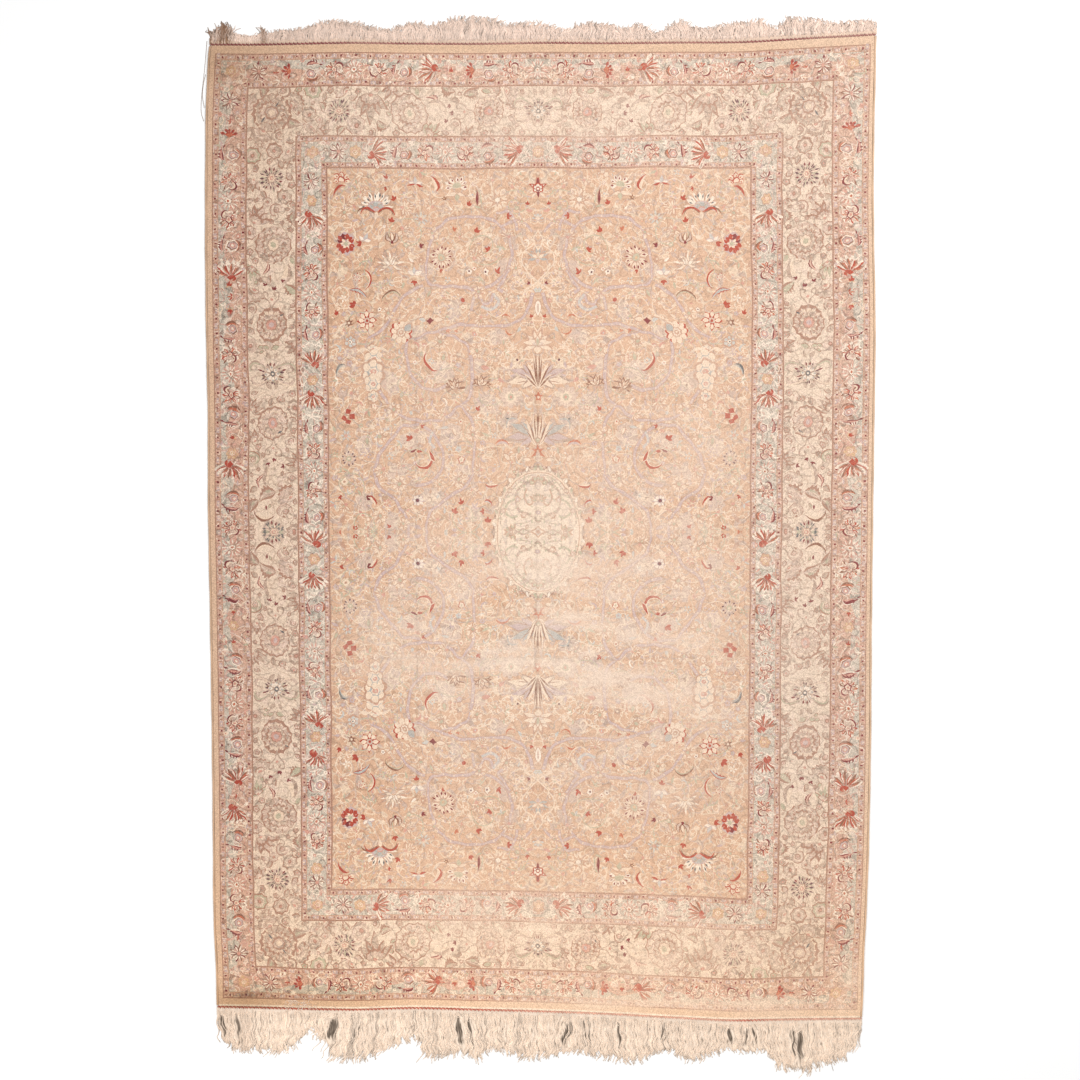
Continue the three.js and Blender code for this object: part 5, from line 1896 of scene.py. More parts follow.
@dataclass
class Seams:
    """The edges of a cut chart along which the yarn changes, each with its left and right yarn."""

    points: np.ndarray
    low: np.ndarray
    high: np.ndarray
    left: np.ndarray
    right: np.ndarray

    @staticmethod
    def keys(triangles: np.ndarray, count: int) -> tuple:
        """Each triangle edge as one number for both directions, and whether it rises from its lower point."""
        ahead = np.roll(triangles, -1, axis=1)
        low, high = np.minimum(triangles, ahead), np.maximum(triangles, ahead)
        return (low * count + high).ravel(), (triangles < ahead).ravel()

    @classmethod
    def between(
        cls, points: np.ndarray, triangles: np.ndarray, yarns: np.ndarray, region: np.ndarray
    ) -> "Seams":
        """Finds the seams of a cut chart, with yarns that are beyond the rim or unknown marked as such.

        Args:
            points: The chart's points.
            triangles: Its triangles.
            yarns: Each triangle's yarn.
            region: The chart's rim.

        Returns:
            The seams.
        """
        count = len(points)
        keys, rising = cls.keys(triangles, count)
        edges, where = np.unique(keys, return_inverse=True)
        where = where.reshape(-1)
        value = np.repeat(yarns, 3)
        left, right = np.full(len(edges), UNKNOWN), np.full(len(edges), UNKNOWN)
        left[where[rising]] = value[rising]
        right[where[~rising]] = value[~rising]
        low, high = edges // count, edges % count
        rim = np.zeros(len(edges), bool)
        for a, b in zip(region, np.roll(region, -1, axis=0)):
            along = (b - a) / np.linalg.norm(b - a)
            near = np.abs((points[:, 0] - a[0]) * along[1] - (points[:, 1] - a[1]) * along[0]) < 2e-3
            rim |= near[low] & near[high]
        left[rim & (left == UNKNOWN)] = BEYOND
        right[rim & (right == UNKNOWN)] = BEYOND
        seen = left != right
        return cls(points, low[seen], high[seen], left[seen], right[seen])

    def eased(self, slack: float, longest: float, rounds: int) -> "Seams":
        """Takes out points that lie almost on the line between their two neighbours, but none on the rim.

        Args:
            slack: The greatest distance from that line.
            longest: How far apart the two neighbours may be.
            rounds: How many times neighbours are looked through.

        Returns:
            The eased seams.
        """
        low, high, left, right = self.low, self.high, self.left, self.right
        count = len(self.points)
        rim = (left < 0) | (right < 0)
        fixed = np.zeros(count, bool)
        fixed[np.concatenate((low[rim], high[rim]))] = True
        for _ in range(rounds):
            ends = np.concatenate((low, high))
            order = np.argsort(ends, kind="stable")
            first = np.searchsorted(ends[order], np.arange(count))
            turn = np.flatnonzero((np.bincount(ends, minlength=count) == 2) & ~fixed)
            one, two = order[first[turn]] % len(low), order[first[turn] + 1] % len(low)
            a = np.where(low[one] == turn, high[one], low[one])
            b = np.where(low[two] == turn, high[two], low[two])
            line, arm = self.points[b] - self.points[a], self.points[turn] - self.points[a]
            length = np.maximum(np.linalg.norm(line, axis=1), 1e-9)
            off = np.abs(line[:, 0] * arm[:, 1] - line[:, 1] * arm[:, 0]) / length
            share = np.sum(arm * line, axis=1) / length**2
            fine = (off < slack) & (share > 0) & (share < 1) & (a != b) & (length < longest)
            free = np.zeros(count, bool)
            free[turn[fine]] = True
            fine &= ~(free[a] & (a < turn)) & ~(free[b] & (b < turn))
            one, two, a, b = one[fine], two[fine], a[fine], b[fine]
            if not len(one):
                break
            near = np.where(low[one] == a, left[one], right[one])
            far = np.where(low[one] == a, right[one], left[one])
            kept = np.ones(len(low), bool)
            kept[one] = kept[two] = False
            left = np.concatenate((left[kept], np.where(a < b, near, far)))
            right = np.concatenate((right[kept], np.where(a < b, far, near)))
            low = np.concatenate((low[kept], np.minimum(a, b)))
            high = np.concatenate((high[kept], np.maximum(a, b)))
        return Seams(self.points, low, high, left, right)

    def filled(self, loose: np.ndarray) -> tuple:
        """Cuts the chart anew along the seams alone.

        A triangle takes the yarn on its side of a seam, and one that touches no seam takes its neighbour's.

        Args:
            loose: More points that the triangles have to use.

        Returns:
            The points, the triangles and each triangle's yarn.
        """
        used, where = np.unique(np.concatenate((self.low, self.high)), return_inverse=True)
        start, end = where.reshape(2, -1)
        every = np.vstack((self.points[used], loose))
        seams = np.column_stack((start, end))
        result = delaunay_2d_cdt(every.tolist(), seams.tolist(), [], 0, 1e-5, True)
        points = np.array([tuple(point) for point in result[0]], float)
        edges, triangles = np.array(result[1], int), np.array(result[2], int)
        source = np.array([ids[0] if ids else -1 for ids in result[4]], int)
        way = np.sum(
            (every[end[source]] - every[start[source]]) * (points[edges[:, 1]] - points[edges[:, 0]]), axis=1
        )
        as_was = (way > 0) == (edges[:, 0] < edges[:, 1])
        left = np.where(source < 0, UNKNOWN, np.where(as_was, self.left[source], self.right[source]))
        right = np.where(source < 0, UNKNOWN, np.where(as_was, self.right[source], self.left[source]))
        count = len(points)
        known = edges.min(axis=1) * count + edges.max(axis=1)
        order = np.argsort(known)
        keys, rising = self.keys(triangles, count)
        at = order[np.searchsorted(known[order], keys)]
        yarns = np.where(rising, left[at], right[at]).reshape(-1, 3).max(axis=1)
        owner = np.repeat(np.arange(len(triangles)), 3)
        pairs = np.argsort(at, kind="stable")
        met = np.flatnonzero(at[pairs][1:] == at[pairs][:-1])
        free = met[source[at[pairs][met]] < 0]
        for links, rounds in ((free, 400), (met, 6)):
            one, two = owner[pairs[links]], owner[pairs[links + 1]]
            one, two = np.concatenate((one, two)), np.concatenate((two, one))
            for _ in range(rounds):
                gains = (yarns[one] == UNKNOWN) & (yarns[two] != UNKNOWN)
                yarns[one[gains]] = yarns[two[gains]]
                if not gains.any():
                    break
        return points, triangles[yarns >= 0], yarns[yarns >= 0]


@dataclass
class Cloth:
    """A chart's triangles after cutting and mirroring: points, triangles, their yarns, and the back."""

    points: np.ndarray
    triangles: np.ndarray
    yarns: np.ndarray
    back: np.ndarray

    @staticmethod
    def inside(outline: np.ndarray, pitch: float, spare: float) -> np.ndarray:
        """A square lattice's points inside an outline, where a ray to the right crosses it at odd count."""
        low, high = outline.min(0) + spare, outline.max(0) - spare
        grid = np.stack(np.meshgrid(np.arange(low[0], high[0], pitch), np.arange(low[1], high[1], pitch)), -1)
        grid = grid.reshape(-1, 2)
        held = np.zeros(len(grid), bool)
        for (ax, ay), (bx, by) in zip(outline, np.roll(outline, -1, axis=0)):
            if ay == by:
                continue
            meets = (grid[:, 1] > min(ay, by)) & (grid[:, 1] <= max(ay, by))
            cross = ax + (grid[:, 1] - ay) / (by - ay) * (bx - ax)
            held ^= meets & (grid[:, 0] < cross)
        return grid[held]

    @staticmethod
    def edge_points(outline: np.ndarray, pitch: float) -> np.ndarray:
        """The outline again with points no further apart than pitch."""
        parts = []
        for a, b in zip(outline, np.roll(outline, -1, axis=0)):
            count = max(1, int(np.linalg.norm(b - a) / pitch))
            parts.append(a + (b - a) * (np.arange(count) / count)[:, None])
        return np.vstack(parts)

    @staticmethod
    def area(line: np.ndarray) -> float:
        """Twice the area within an outline: the sum of the cross products of its neighbouring corners."""
        ahead = np.roll(line, -1, axis=0)
        return np.sum(line[:, 0] * ahead[:, 1] - ahead[:, 0] * line[:, 1])

    @classmethod
    def by_hand(cls, outlines: list) -> list:
        """The outlines as hands knot them: corners stray by noise of their place, so neighbours still meet.

        The long stripes keep to their lines.
        """
        every = np.vstack(outlines)
        x, y = every[:, 0], every[:, 1]
        stray = np.column_stack([
            0.6 * noise_like(x, y, 15.0, seed) + 0.1 * noise_like(x, y, 5.0, seed + 1) for seed in (51, 53)
        ])
        long = np.array([np.ptp(line, axis=0).max() > 150 for line in outlines])
        stray[np.repeat(long, [len(line) for line in outlines])] = 0.0
        ends = np.cumsum([len(line) for line in outlines])[:-1]
        moved = np.split(np.round(every + stray, 2), ends)
        before, after = (np.array([cls.area(line) for line in lines]) for lines in (outlines, moved))
        firm = after < 0.6 * before
        return [line if held else strayed for line, strayed, held in zip(outlines, moved, firm)]

    @classmethod
    def cut(cls, outlines: list, loose: np.ndarray) -> tuple:
        """Cuts the plane along every outline.

        Args:
            outlines: Closed outlines, the region first, each later one lying over those before it.
            loose: More points that the triangles have to use.

        Returns:
            The points, the triangles inside the first outline, and the topmost outline's number over each.
        """
        counts = [len(outline) for outline in outlines]
        starts = np.concatenate(([0], np.cumsum(counts)))
        faces = [list(range(int(a), int(b))) for a, b in zip(starts[:-1], starts[1:])]
        every = np.vstack([*outlines, loose]) if len(loose) else np.vstack(outlines)
        result = delaunay_2d_cdt(every.tolist(), [], faces, 1, 1e-4, True)
        points = np.array([tuple(point) for point in result[0]], float)
        triangles = np.array([face for face in result[2] if len(face) == 3], int).reshape(-1, 3)
        owners = [ids for face, ids in zip(result[2], result[5]) if len(face) == 3]
        kept = np.array([0 in ids for ids in owners], bool)
        top = np.array([max(ids) if ids else 0 for ids in owners], int)
        return points, triangles[kept], top[kept]

    @classmethod
    def of(cls, chart: Chart, pitch: float) -> "Cloth":
        """Cuts a chart and mirrors it over the whole rug.

        Args:
            chart: The chart with its patches.
            pitch: The lattice that carries the folds and waves, in squares.

        Returns:
            The whole cloth.
        """
        ordered = sorted(chart.patches, key=lambda patch: (patch[0], patch[1]))
        outlines = [chart.region] + cls.by_hand([patch[2] for patch in ordered])
        outlines = [
            cls.edge_points(line, pitch) if np.ptp(line, axis=0).max() > 12 else line for line in outlines
        ]
        yarn_of = np.array([YARN_INDEX[chart.ground]] + [patch[3] for patch in ordered])
        lattice = cls.inside(chart.region, pitch, 1.0)
        points, triangles, top = cls.cut(outlines, lattice)
        seams = Seams.between(points, triangles, yarn_of[top], chart.region).eased(0.02, 7.5, 6)
        points, triangles, yarns = seams.filled(lattice)
        hem = cls.loop_of(points, triangles, chart.region)
        _, back, _ = cls.cut([points[hem]], np.zeros((0, 2)))
        back = hem[back]
        flips = [(1, 1), (-1, 1)] + ([(1, -1), (-1, -1)] if chart.mirror_ends else [])
        whole = np.vstack([points * np.array(flip, float) for flip in flips])
        faces, under = (
            np.vstack([
                (part if flip[0] * flip[1] > 0 else part[:, ::-1]) + index * len(points)
                for index, flip in enumerate(flips)
            ])
            for part in (triangles, back)
        )
        _, first, same = np.unique(np.round(whole, 5), axis=0, return_index=True, return_inverse=True)
        same = same.reshape(-1)
        faces = same[faces]
        sound = (faces != np.roll(faces, 1, axis=1)).all(axis=1)
        return cls(whole[first], faces[sound], np.tile(yarns, len(flips))[sound], same[under])

    @staticmethod
    def loop_of(points: np.ndarray, triangles: np.ndarray, outline: np.ndarray) -> np.ndarray:
        """The points on an outline, in its order: sorted by side and by their share of the way along it."""
        used = np.unique(triangles)
        order = []
        for a, b in zip(outline, np.roll(outline, -1, axis=0)):
            along = b - a
            length = np.linalg.norm(along)
            offset = points[used] - a
            off = np.abs(offset[:, 0] * along[1] - offset[:, 1] * along[0]) / length
            share = (offset @ along) / length**2
            on = (off < 1e-3) & (share > -1e-6) & (share < 1 - 1e-6)
            order.append(used[on][np.argsort(share[on])])
        return np.concatenate(order)

    def drawn_out(self, rows: tuple, left: tuple, right: tuple, still: float) -> "Cloth":
        """The cloth with its side bands drawn towards the rim: distances from it map to others by lines.

        Args:
            rows: Two distances in from the rim, in squares, between the pile's edge and the third.
            left: Where those two come to lie at the left.
            right: Where they come to lie at the right.
            still: The distance from which nothing moves.

        Returns:
            The moved cloth.
        """
        x = self.points[:, 0]
        inset = HALF_WIDE - np.abs(x)
        ends = (still, HALF_WIDE)
        at_left, at_right = (
            np.interp(inset, (0.0, SIDE_GAP, *rows, *ends), (0.0, SIDE_GAP, *moved, *ends))
            for moved in (left, right)
        )
        x = np.sign(x) * (HALF_WIDE - np.where(x < 0, at_left, at_right))
        return Cloth(np.column_stack((x, self.points[:, 1])), self.triangles, self.yarns, self.back)


def ordered(low: np.ndarray, high: np.ndarray) -> np.ndarray:
    """Pairs of numbers as two columns, the smaller first."""
    return np.column_stack((np.minimum(low, high), np.maximum(low, high)))


@dataclass
class MeshMaker:
    """Puts points, faces, colours and directions into a mesh object at the origin."""

    name: str
    points: np.ndarray
    faces: np.ndarray
    smooth: bool = True

    def build(self) -> bpy.types.Object:
        """Makes the mesh from whole arrays and links its object.

        Returns:
            The new object.
        """
        mesh = bpy.data.meshes.new(self.name)
        corners = self.faces.shape[1]
        mesh.vertices.add(len(self.points))
        mesh.vertices.foreach_set("co", (self.points * MM).astype(np.float32).ravel())
        mesh.loops.add(self.faces.size)
        mesh.loops.foreach_set("vertex_index", self.faces.astype(np.int32).ravel())
        mesh.polygons.add(len(self.faces))
        mesh.polygons.foreach_set("loop_start", np.arange(0, self.faces.size, corners, dtype=np.int32))
        mesh.update(calc_edges=True)
        mesh.polygons.foreach_set("use_smooth", np.full(len(self.faces), self.smooth, bool))
        mesh.update()
        obj = bpy.data.objects.new(self.name, mesh)
        bpy.context.scene.collection.objects.link(obj)
        return obj

    @staticmethod
    def colour(obj: bpy.types.Object, name: str, domain: str, values: np.ndarray) -> None:
        """Adds a colour attribute of three linear numbers, or four, for each point or corner."""
        layer = obj.data.color_attributes.new(name, "FLOAT_COLOR", domain)
        rows = values if values.shape[1] == 4 else np.column_stack((values, np.ones(len(values))))
        layer.data.foreach_set("color", rows.astype(np.float32).ravel())

    @staticmethod
    def number(obj: bpy.types.Object, name: str, values: np.ndarray) -> None:
        """Adds one number for each point."""
        layer = obj.data.attributes.new(name, "FLOAT", "POINT")
        layer.data.foreach_set("value", values.astype(np.float32))


@dataclass
class Pile:
    """One part of the clipped silk pile: a closed slab from the foundation up to the knots' tips."""

    name: str
    top_level: float = 4.0
    foot_level: float = 2.2

    def build(self, cloth: Cloth) -> bpy.types.Object:
        """Makes the slab of one cloth.

        The top follows the rug's folds, the foot is flat, and a wall stands on each open edge of the top.

        Args:
            cloth: The cut and mirrored chart.

        Returns:
            The slab.
        """
        place = OUTLINE.of_chart(cloth.points)
        x, y = place[:, 0], place[:, 1]
        top = np.column_stack((x, y, self.top_level + LIE.height(x, y)))
        edges = np.vstack(
            (cloth.triangles[:, [0, 1]], cloth.triangles[:, [1, 2]], cloth.triangles[:, [2, 0]])
        )
        _, index, counts = np.unique(
            ordered(edges[:, 0], edges[:, 1]), axis=0, return_index=True, return_counts=True
        )
        open_edges = edges[index[counts == 1]]
        hem = np.unique(np.concatenate((open_edges.ravel(), cloth.back.ravel())))
        foot = np.full(len(top), -1)
        foot[hem] = len(top) + np.arange(len(hem))
        low = np.column_stack((x[hem], y[hem], np.full(len(hem), self.foot_level)))
        a, b = open_edges[:, 0], open_edges[:, 1]
        walls = np.vstack((np.column_stack((b, a, foot[a])), np.column_stack((b, foot[a], foot[b]))))
        back = foot[cloth.back[:, ::-1]]
        faces = np.vstack((cloth.triangles, walls, back))
        points = np.vstack((top, low))
        obj = MeshMaker(self.name, points, faces).build()
        self.dress(obj, cloth, points, faces)
        return obj

    def dress(self, obj: bpy.types.Object, cloth: Cloth, points: np.ndarray, faces: np.ndarray) -> None:
        """Adds the yarn colours, the rug's age with its painted sheen and shade, the map for the export and
        the directions of the surface.

        Args:
            obj: The slab.
            cloth: Its cloth.
            points: The slab's points in millimetres.
            faces: Its triangles.
        """
        palette = np.array([(*linear(yarn.value), FIGURED.get(yarn, 0.3)) for yarn in YARN_LIST])
        ground = palette[YARN_INDEX[Yarn.CAMEL]]
        colours = np.tile(ground, (faces.size, 1))
        colours[: cloth.triangles.size] = np.repeat(palette[cloth.yarns], 3, axis=0)
        MeshMaker.colour(obj, "yarn", "CORNER", colours)
        x, y = points[:, 0], points[:, 1]
        depth = AGE.depth(x, y)
        evened = np.array(linear((227, 194, 170))) ** -depth[:, None]
        # The tone carries painted shade towards the left besides stains and warmth, and the wear is partly
        # painted sheen.
        MeshMaker.colour(obj, "tone", "POINT", np.clip(AGE.tone(x, y) * evened, 0.3, 1.6))
        MeshMaker.number(obj, "wear_and_sheen", AGE.wear_and_sheen(x, y))
        MeshMaker.number(obj, "power", 1.0 + depth)
        low, high = points.min(0), points.max(0)
        span = (points[:, :2] - low[:2]) / (high[:2] - low[:2])
        corner = faces.ravel()
        upper = np.arange(len(corner)) < cloth.triangles.size
        across = 0.003 + 0.994 * span[corner, 0]
        along = np.where(upper, 0.03 + 0.967 * span[corner, 1], 0.004 + 0.016 * span[corner, 1])
        layer = obj.data.uv_layers.new(name="OFBake")
        layer.data.foreach_set("uv", np.column_stack((across, along)).astype(np.float32).ravel())
        ends = points[faces]
        flat = np.cross(ends[:, 1] - ends[:, 0], ends[:, 2] - ends[:, 0])
        flat /= np.maximum(np.linalg.norm(flat, axis=1, keepdims=True), 1e-12)
        normals = np.repeat(flat, 3, axis=0)
        normals[: cloth.triangles.size] = LIE.normal(x, y)[cloth.triangles.ravel()]
        obj.data.normals_split_custom_set(normals.tolist())


@dataclass
class Foundation:
    """The woven silk foundation under the pile, a thin closed sheet with the rug's outline."""

    name: str = "foundation"
    thickness: float = 2.2
    across: int = 44
    along: int = 64
    inset_side: float = 2.4
    inset_end: float = 1.6

    def build(self) -> bpy.types.Object:
        """Makes the sheet: two grids over the outline, one above the other, joined round the rim.

        Returns:
            The sheet.
        """
        u = np.linspace(-(HALF_WIDE - self.inset_side), HALF_WIDE - self.inset_side, self.across + 1)
        v = np.linspace(-(HALF_LONG - self.inset_end), HALF_LONG - self.inset_end, self.along + 1)
        squares = np.stack(np.meshgrid(u, v), -1).reshape(-1, 2)
        place = OUTLINE.of_chart(squares)
        wide, count = self.across + 1, len(place)
        top = np.column_stack((place, np.full(count, self.thickness)))
        low = np.column_stack((place, np.zeros(count)))
        row, column = np.meshgrid(np.arange(self.along), np.arange(self.across), indexing="ij")
        a = (row * wide + column).ravel()
        quads = np.column_stack((a, a + 1, a + wide + 1, a + wide))
        bottom, upper = np.arange(self.across), self.along * wide + np.arange(self.across)
        left, right = np.arange(self.along) * wide, np.arange(self.along) * wide + self.across
        rim = np.vstack((
            np.column_stack((bottom, bottom + 1)), np.column_stack((upper + 1, upper)),
            np.column_stack((left + wide, left)), np.column_stack((right, right + wide)),
        ))
        walls = np.column_stack((rim[:, 1], rim[:, 0], rim[:, 0] + count, rim[:, 1] + count))
        faces = np.vstack((quads, quads[:, ::-1] + count, walls))
        return MeshMaker(self.name, np.vstack((top, low)), faces, False).build()


def tube_faces(paths: int, stations: int, sides: int) -> np.ndarray:
    """The triangles of closed tubes, whose points run path by path and ring by ring.

    Two triangles join each side of a ring to the next ring, and a fan closes each end.

    Args:
        paths: How many tubes.
        stations: How many rings each has.
        sides: How many corners a ring has.

    Returns:
        The triangles.
    """
    path, station, side = np.meshgrid(
        np.arange(paths), np.arange(stations - 1), np.arange(sides), indexing="ij"
    )
    base = (path * stations + station) * sides
    a, b = (base + side).ravel(), (base + (side + 1) % sides).ravel()
    fan = np.arange(1, sides - 1)
    start = (np.arange(paths) * stations * sides)[:, None]
    end = start + (stations - 1) * sides
    return np.vstack((
        np.column_stack((a, b, b + sides)),
        np.column_stack((a, b + sides, a + sides)),
        np.column_stack(((start + 0 * fan).ravel(), (start + fan + 1).ravel(), (start + fan).ravel())),
        np.column_stack(((end + 0 * fan).ravel(), (end + fan).ravel(), (end + fan + 1).ravel())),
    ))


@dataclass
class Tube:
    """Many like tubes at once: closed bodies with a ring of corners at each station of each path."""

    sides: int

    def mesh(self, centres: np.ndarray, across: np.ndarray, up: np.ndarray) -> tuple:
        """Carries a section along paths.

        A ring's corner is the station plus the cosine of its angle times across plus the sine times up.

        Args:
            centres: Paths by stations by three.
            across: The section's half-width at each station, as a vector.
            up: The section's half-height at each station, as a vector.

        Returns:
            The points and the triangles.
        """
        paths, stations, _ = centres.shape
        angle = 2 * np.pi * np.arange(self.sides) / self.sides + np.pi / 2
        rings = (
            centres[:, :, None, :]
            + np.cos(angle)[None, None, :, None] * across[:, :, None, :]
            + np.sin(angle)[None, None, :, None] * up[:, :, None, :]
        )
        return rings.reshape(-1, 3), tube_faces(paths, stations, self.sides)


def lying_tubes(
    centres: np.ndarray, wide: np.ndarray | float, tall: np.ndarray | float
) -> tuple:
    """Three-sided tubes that lie flat: their half-widths stand square to the path, their half-heights up.

    Args:
        centres: Paths by stations by three.
        wide: The half-widths.
        tall: The half-heights.

    Returns:
        The points and the triangles.
    """
    ahead = np.gradient(centres, axis=1)
    ahead /= np.maximum(np.linalg.norm(ahead, axis=2, keepdims=True), 1e-9)
    side = np.stack((ahead[..., 1], -ahead[..., 0], 0 * ahead[..., 0]), -1)
    up = np.zeros_like(side)
    up[..., 2] = 1.0
    return Tube(3).mesh(centres, side * wide, up * tall)


def outward(points: np.ndarray, faces: np.ndarray) -> np.ndarray:
    """The faces turned round if the body they close would have a volume below nought."""
    a, b, c = points[faces[:, 0]], points[faces[:, 1]], points[faces[:, 2]]
    return faces if np.sum(a * np.cross(b, c)) > 0 else faces[:, ::-1]


@dataclass
class Selvedge:
    """The overcast side cord: a low round cord with a ridge for each turn of the wrapping silk."""

    side: int
    width: float = 7.0
    height: float = 5.0
    wrap: float = 3.3
    per_wrap: int = 2

    def build(self) -> bpy.types.Object:
        """Makes the cord from end cord to end cord.

        Returns:
            The cord.
        """
        x_low = OUTLINE.corner(self.side, -1)
        x_high = OUTLINE.corner(self.side, 1)
        low = float(OUTLINE.end(-1, x_low)) + 5.1
        high = float(OUTLINE.end(1, x_high)) - 5.1
        count = int((high - low) / self.wrap * self.per_wrap)
        y = np.linspace(low, high, count)
        ridge = 1.0 - 0.09 * (
            np.arange(count) % self.per_wrap == 0
        ) + 0.035 * np.sin(y / 17.0) * np.sin(y / 5.3)
        x = OUTLINE.side(self.side, y) - self.side * self.width / 2 + 0.4 * np.sin(y / 31.0)
        z = np.full(count, self.height / 2 + 0.05)
        centres = np.column_stack((x, y, z))[None]
        across = np.column_stack((self.width / 2 * ridge, 0 * y, 0 * y))[None]
        up = np.column_stack((0 * y, 0 * y, self.height / 2 * ridge))[None]
        points, faces = Tube(6).mesh(centres, across, up)
        name = "side_cord_left" if self.side < 0 else "side_cord_right"
        obj = MeshMaker(name, points, outward(points, faces)).build()
        obj["worn_side"] = self.side
        base = np.array(linear((226, 190, 158)))
        shade = 1 + 0.10 * noise_like(
            points[:, 0], points[:, 1], 90.0, 11
        ) + 0.05 * np.sin(points[:, 1] * 2.1)
        # The rug's tone includes painted shade towards the left side.
        MeshMaker.colour(obj, "yarn", "POINT", base * shade[:, None] * AGE.tone(points[:, 0], points[:, 1]))
        return obj


@dataclass
class EndCord:
    """The cord twined across the warps: a thicker plum ply and a white one wound about each other."""

    end: int
    pitch: float = 11.8
    per_pitch: int = 9
    middle: float = 2.5

    def build(self) -> bpy.types.Object:
        """Makes both plies as one body of two tubes.

        Returns:
            The cord.
        """
        first, last = OUTLINE.corner(-1, self.end), OUTLINE.corner(1, self.end)
        count = int((last - first - 4) / self.pitch * self.per_pitch)
        x = np.linspace(first + 2, last - 2, count)
        line = OUTLINE.end(self.end, x)
        turn = 2 * np.pi * (x - first) / self.pitch + 0.6 * np.sin(x / 47.0)
        centres, across, up = [], [], []
        for phase, thick in ((np.pi, 4.2), (0.0, 2.8)):
            wide = thick * (1.0 + 0.06 * np.sin(x / 13.0 + phase))
            tall = 0.36 * wide
            centres.append(np.column_stack((
                x, line + (6.5 - thick) * np.cos(turn + phase), self.middle + 0.9 * np.sin(turn + phase),
            )))
            slant = -0.6 * wide * np.sin(turn + phase)
            across.append(np.column_stack((slant, wide, 0 * x)))
            up.append(np.column_stack((0 * x, 0 * x, tall)))
        points, faces = Tube(5).mesh(np.array(centres), np.array(across), np.array(up))
        name = "twined_cord_upper" if self.end > 0 else "twined_cord_lower"
        obj = MeshMaker(name, points, outward(points, faces)).build()
        MeshMaker.colour(obj, "yarn", "POINT", self.colours(points, count))
        return obj

    def colours(self, points: np.ndarray, count: int) -> np.ndarray:
        """Each ply's silk, faded along the lower end.

        Args:
            points: The cord's points.
            count: Stations along one ply.

        Returns:
            Linear red, green and blue of each point.
        """
        x = points[:, 0]
        white = np.arange(len(points)) >= count * 5
        plum = np.array(linear((156, 82, 82) if self.end > 0 else (196, 98, 80)))
        pale = np.array(linear((240, 200, 182)))
        cream = np.array(linear((238, 202, 182) if self.end > 0 else (250, 222, 204)))
        if self.end > 0:
            fade = np.clip(0.08 + 0.14 * (x > -400) + 0.14 * noise_like(x, 0 * x, 300.0, 5), 0, 0.6)
        else:
            fade = np.clip((x + 250.0) / 500.0, 0.06, 0.72) - 0.5 * np.exp(-(((x - 640.0) / 60.0) ** 2))
        base = plum + (pale - plum) * np.clip(fade, 0, 1)[:, None]
        base[white] = cream
        shade = 1 + 0.1 * noise_like(x, points[:, 1], 37.0, 6)
        # Times the rug's tone, with its painted shade towards the left.
        return base * shade[:, None] * AGE.tone(x, points[:, 1])


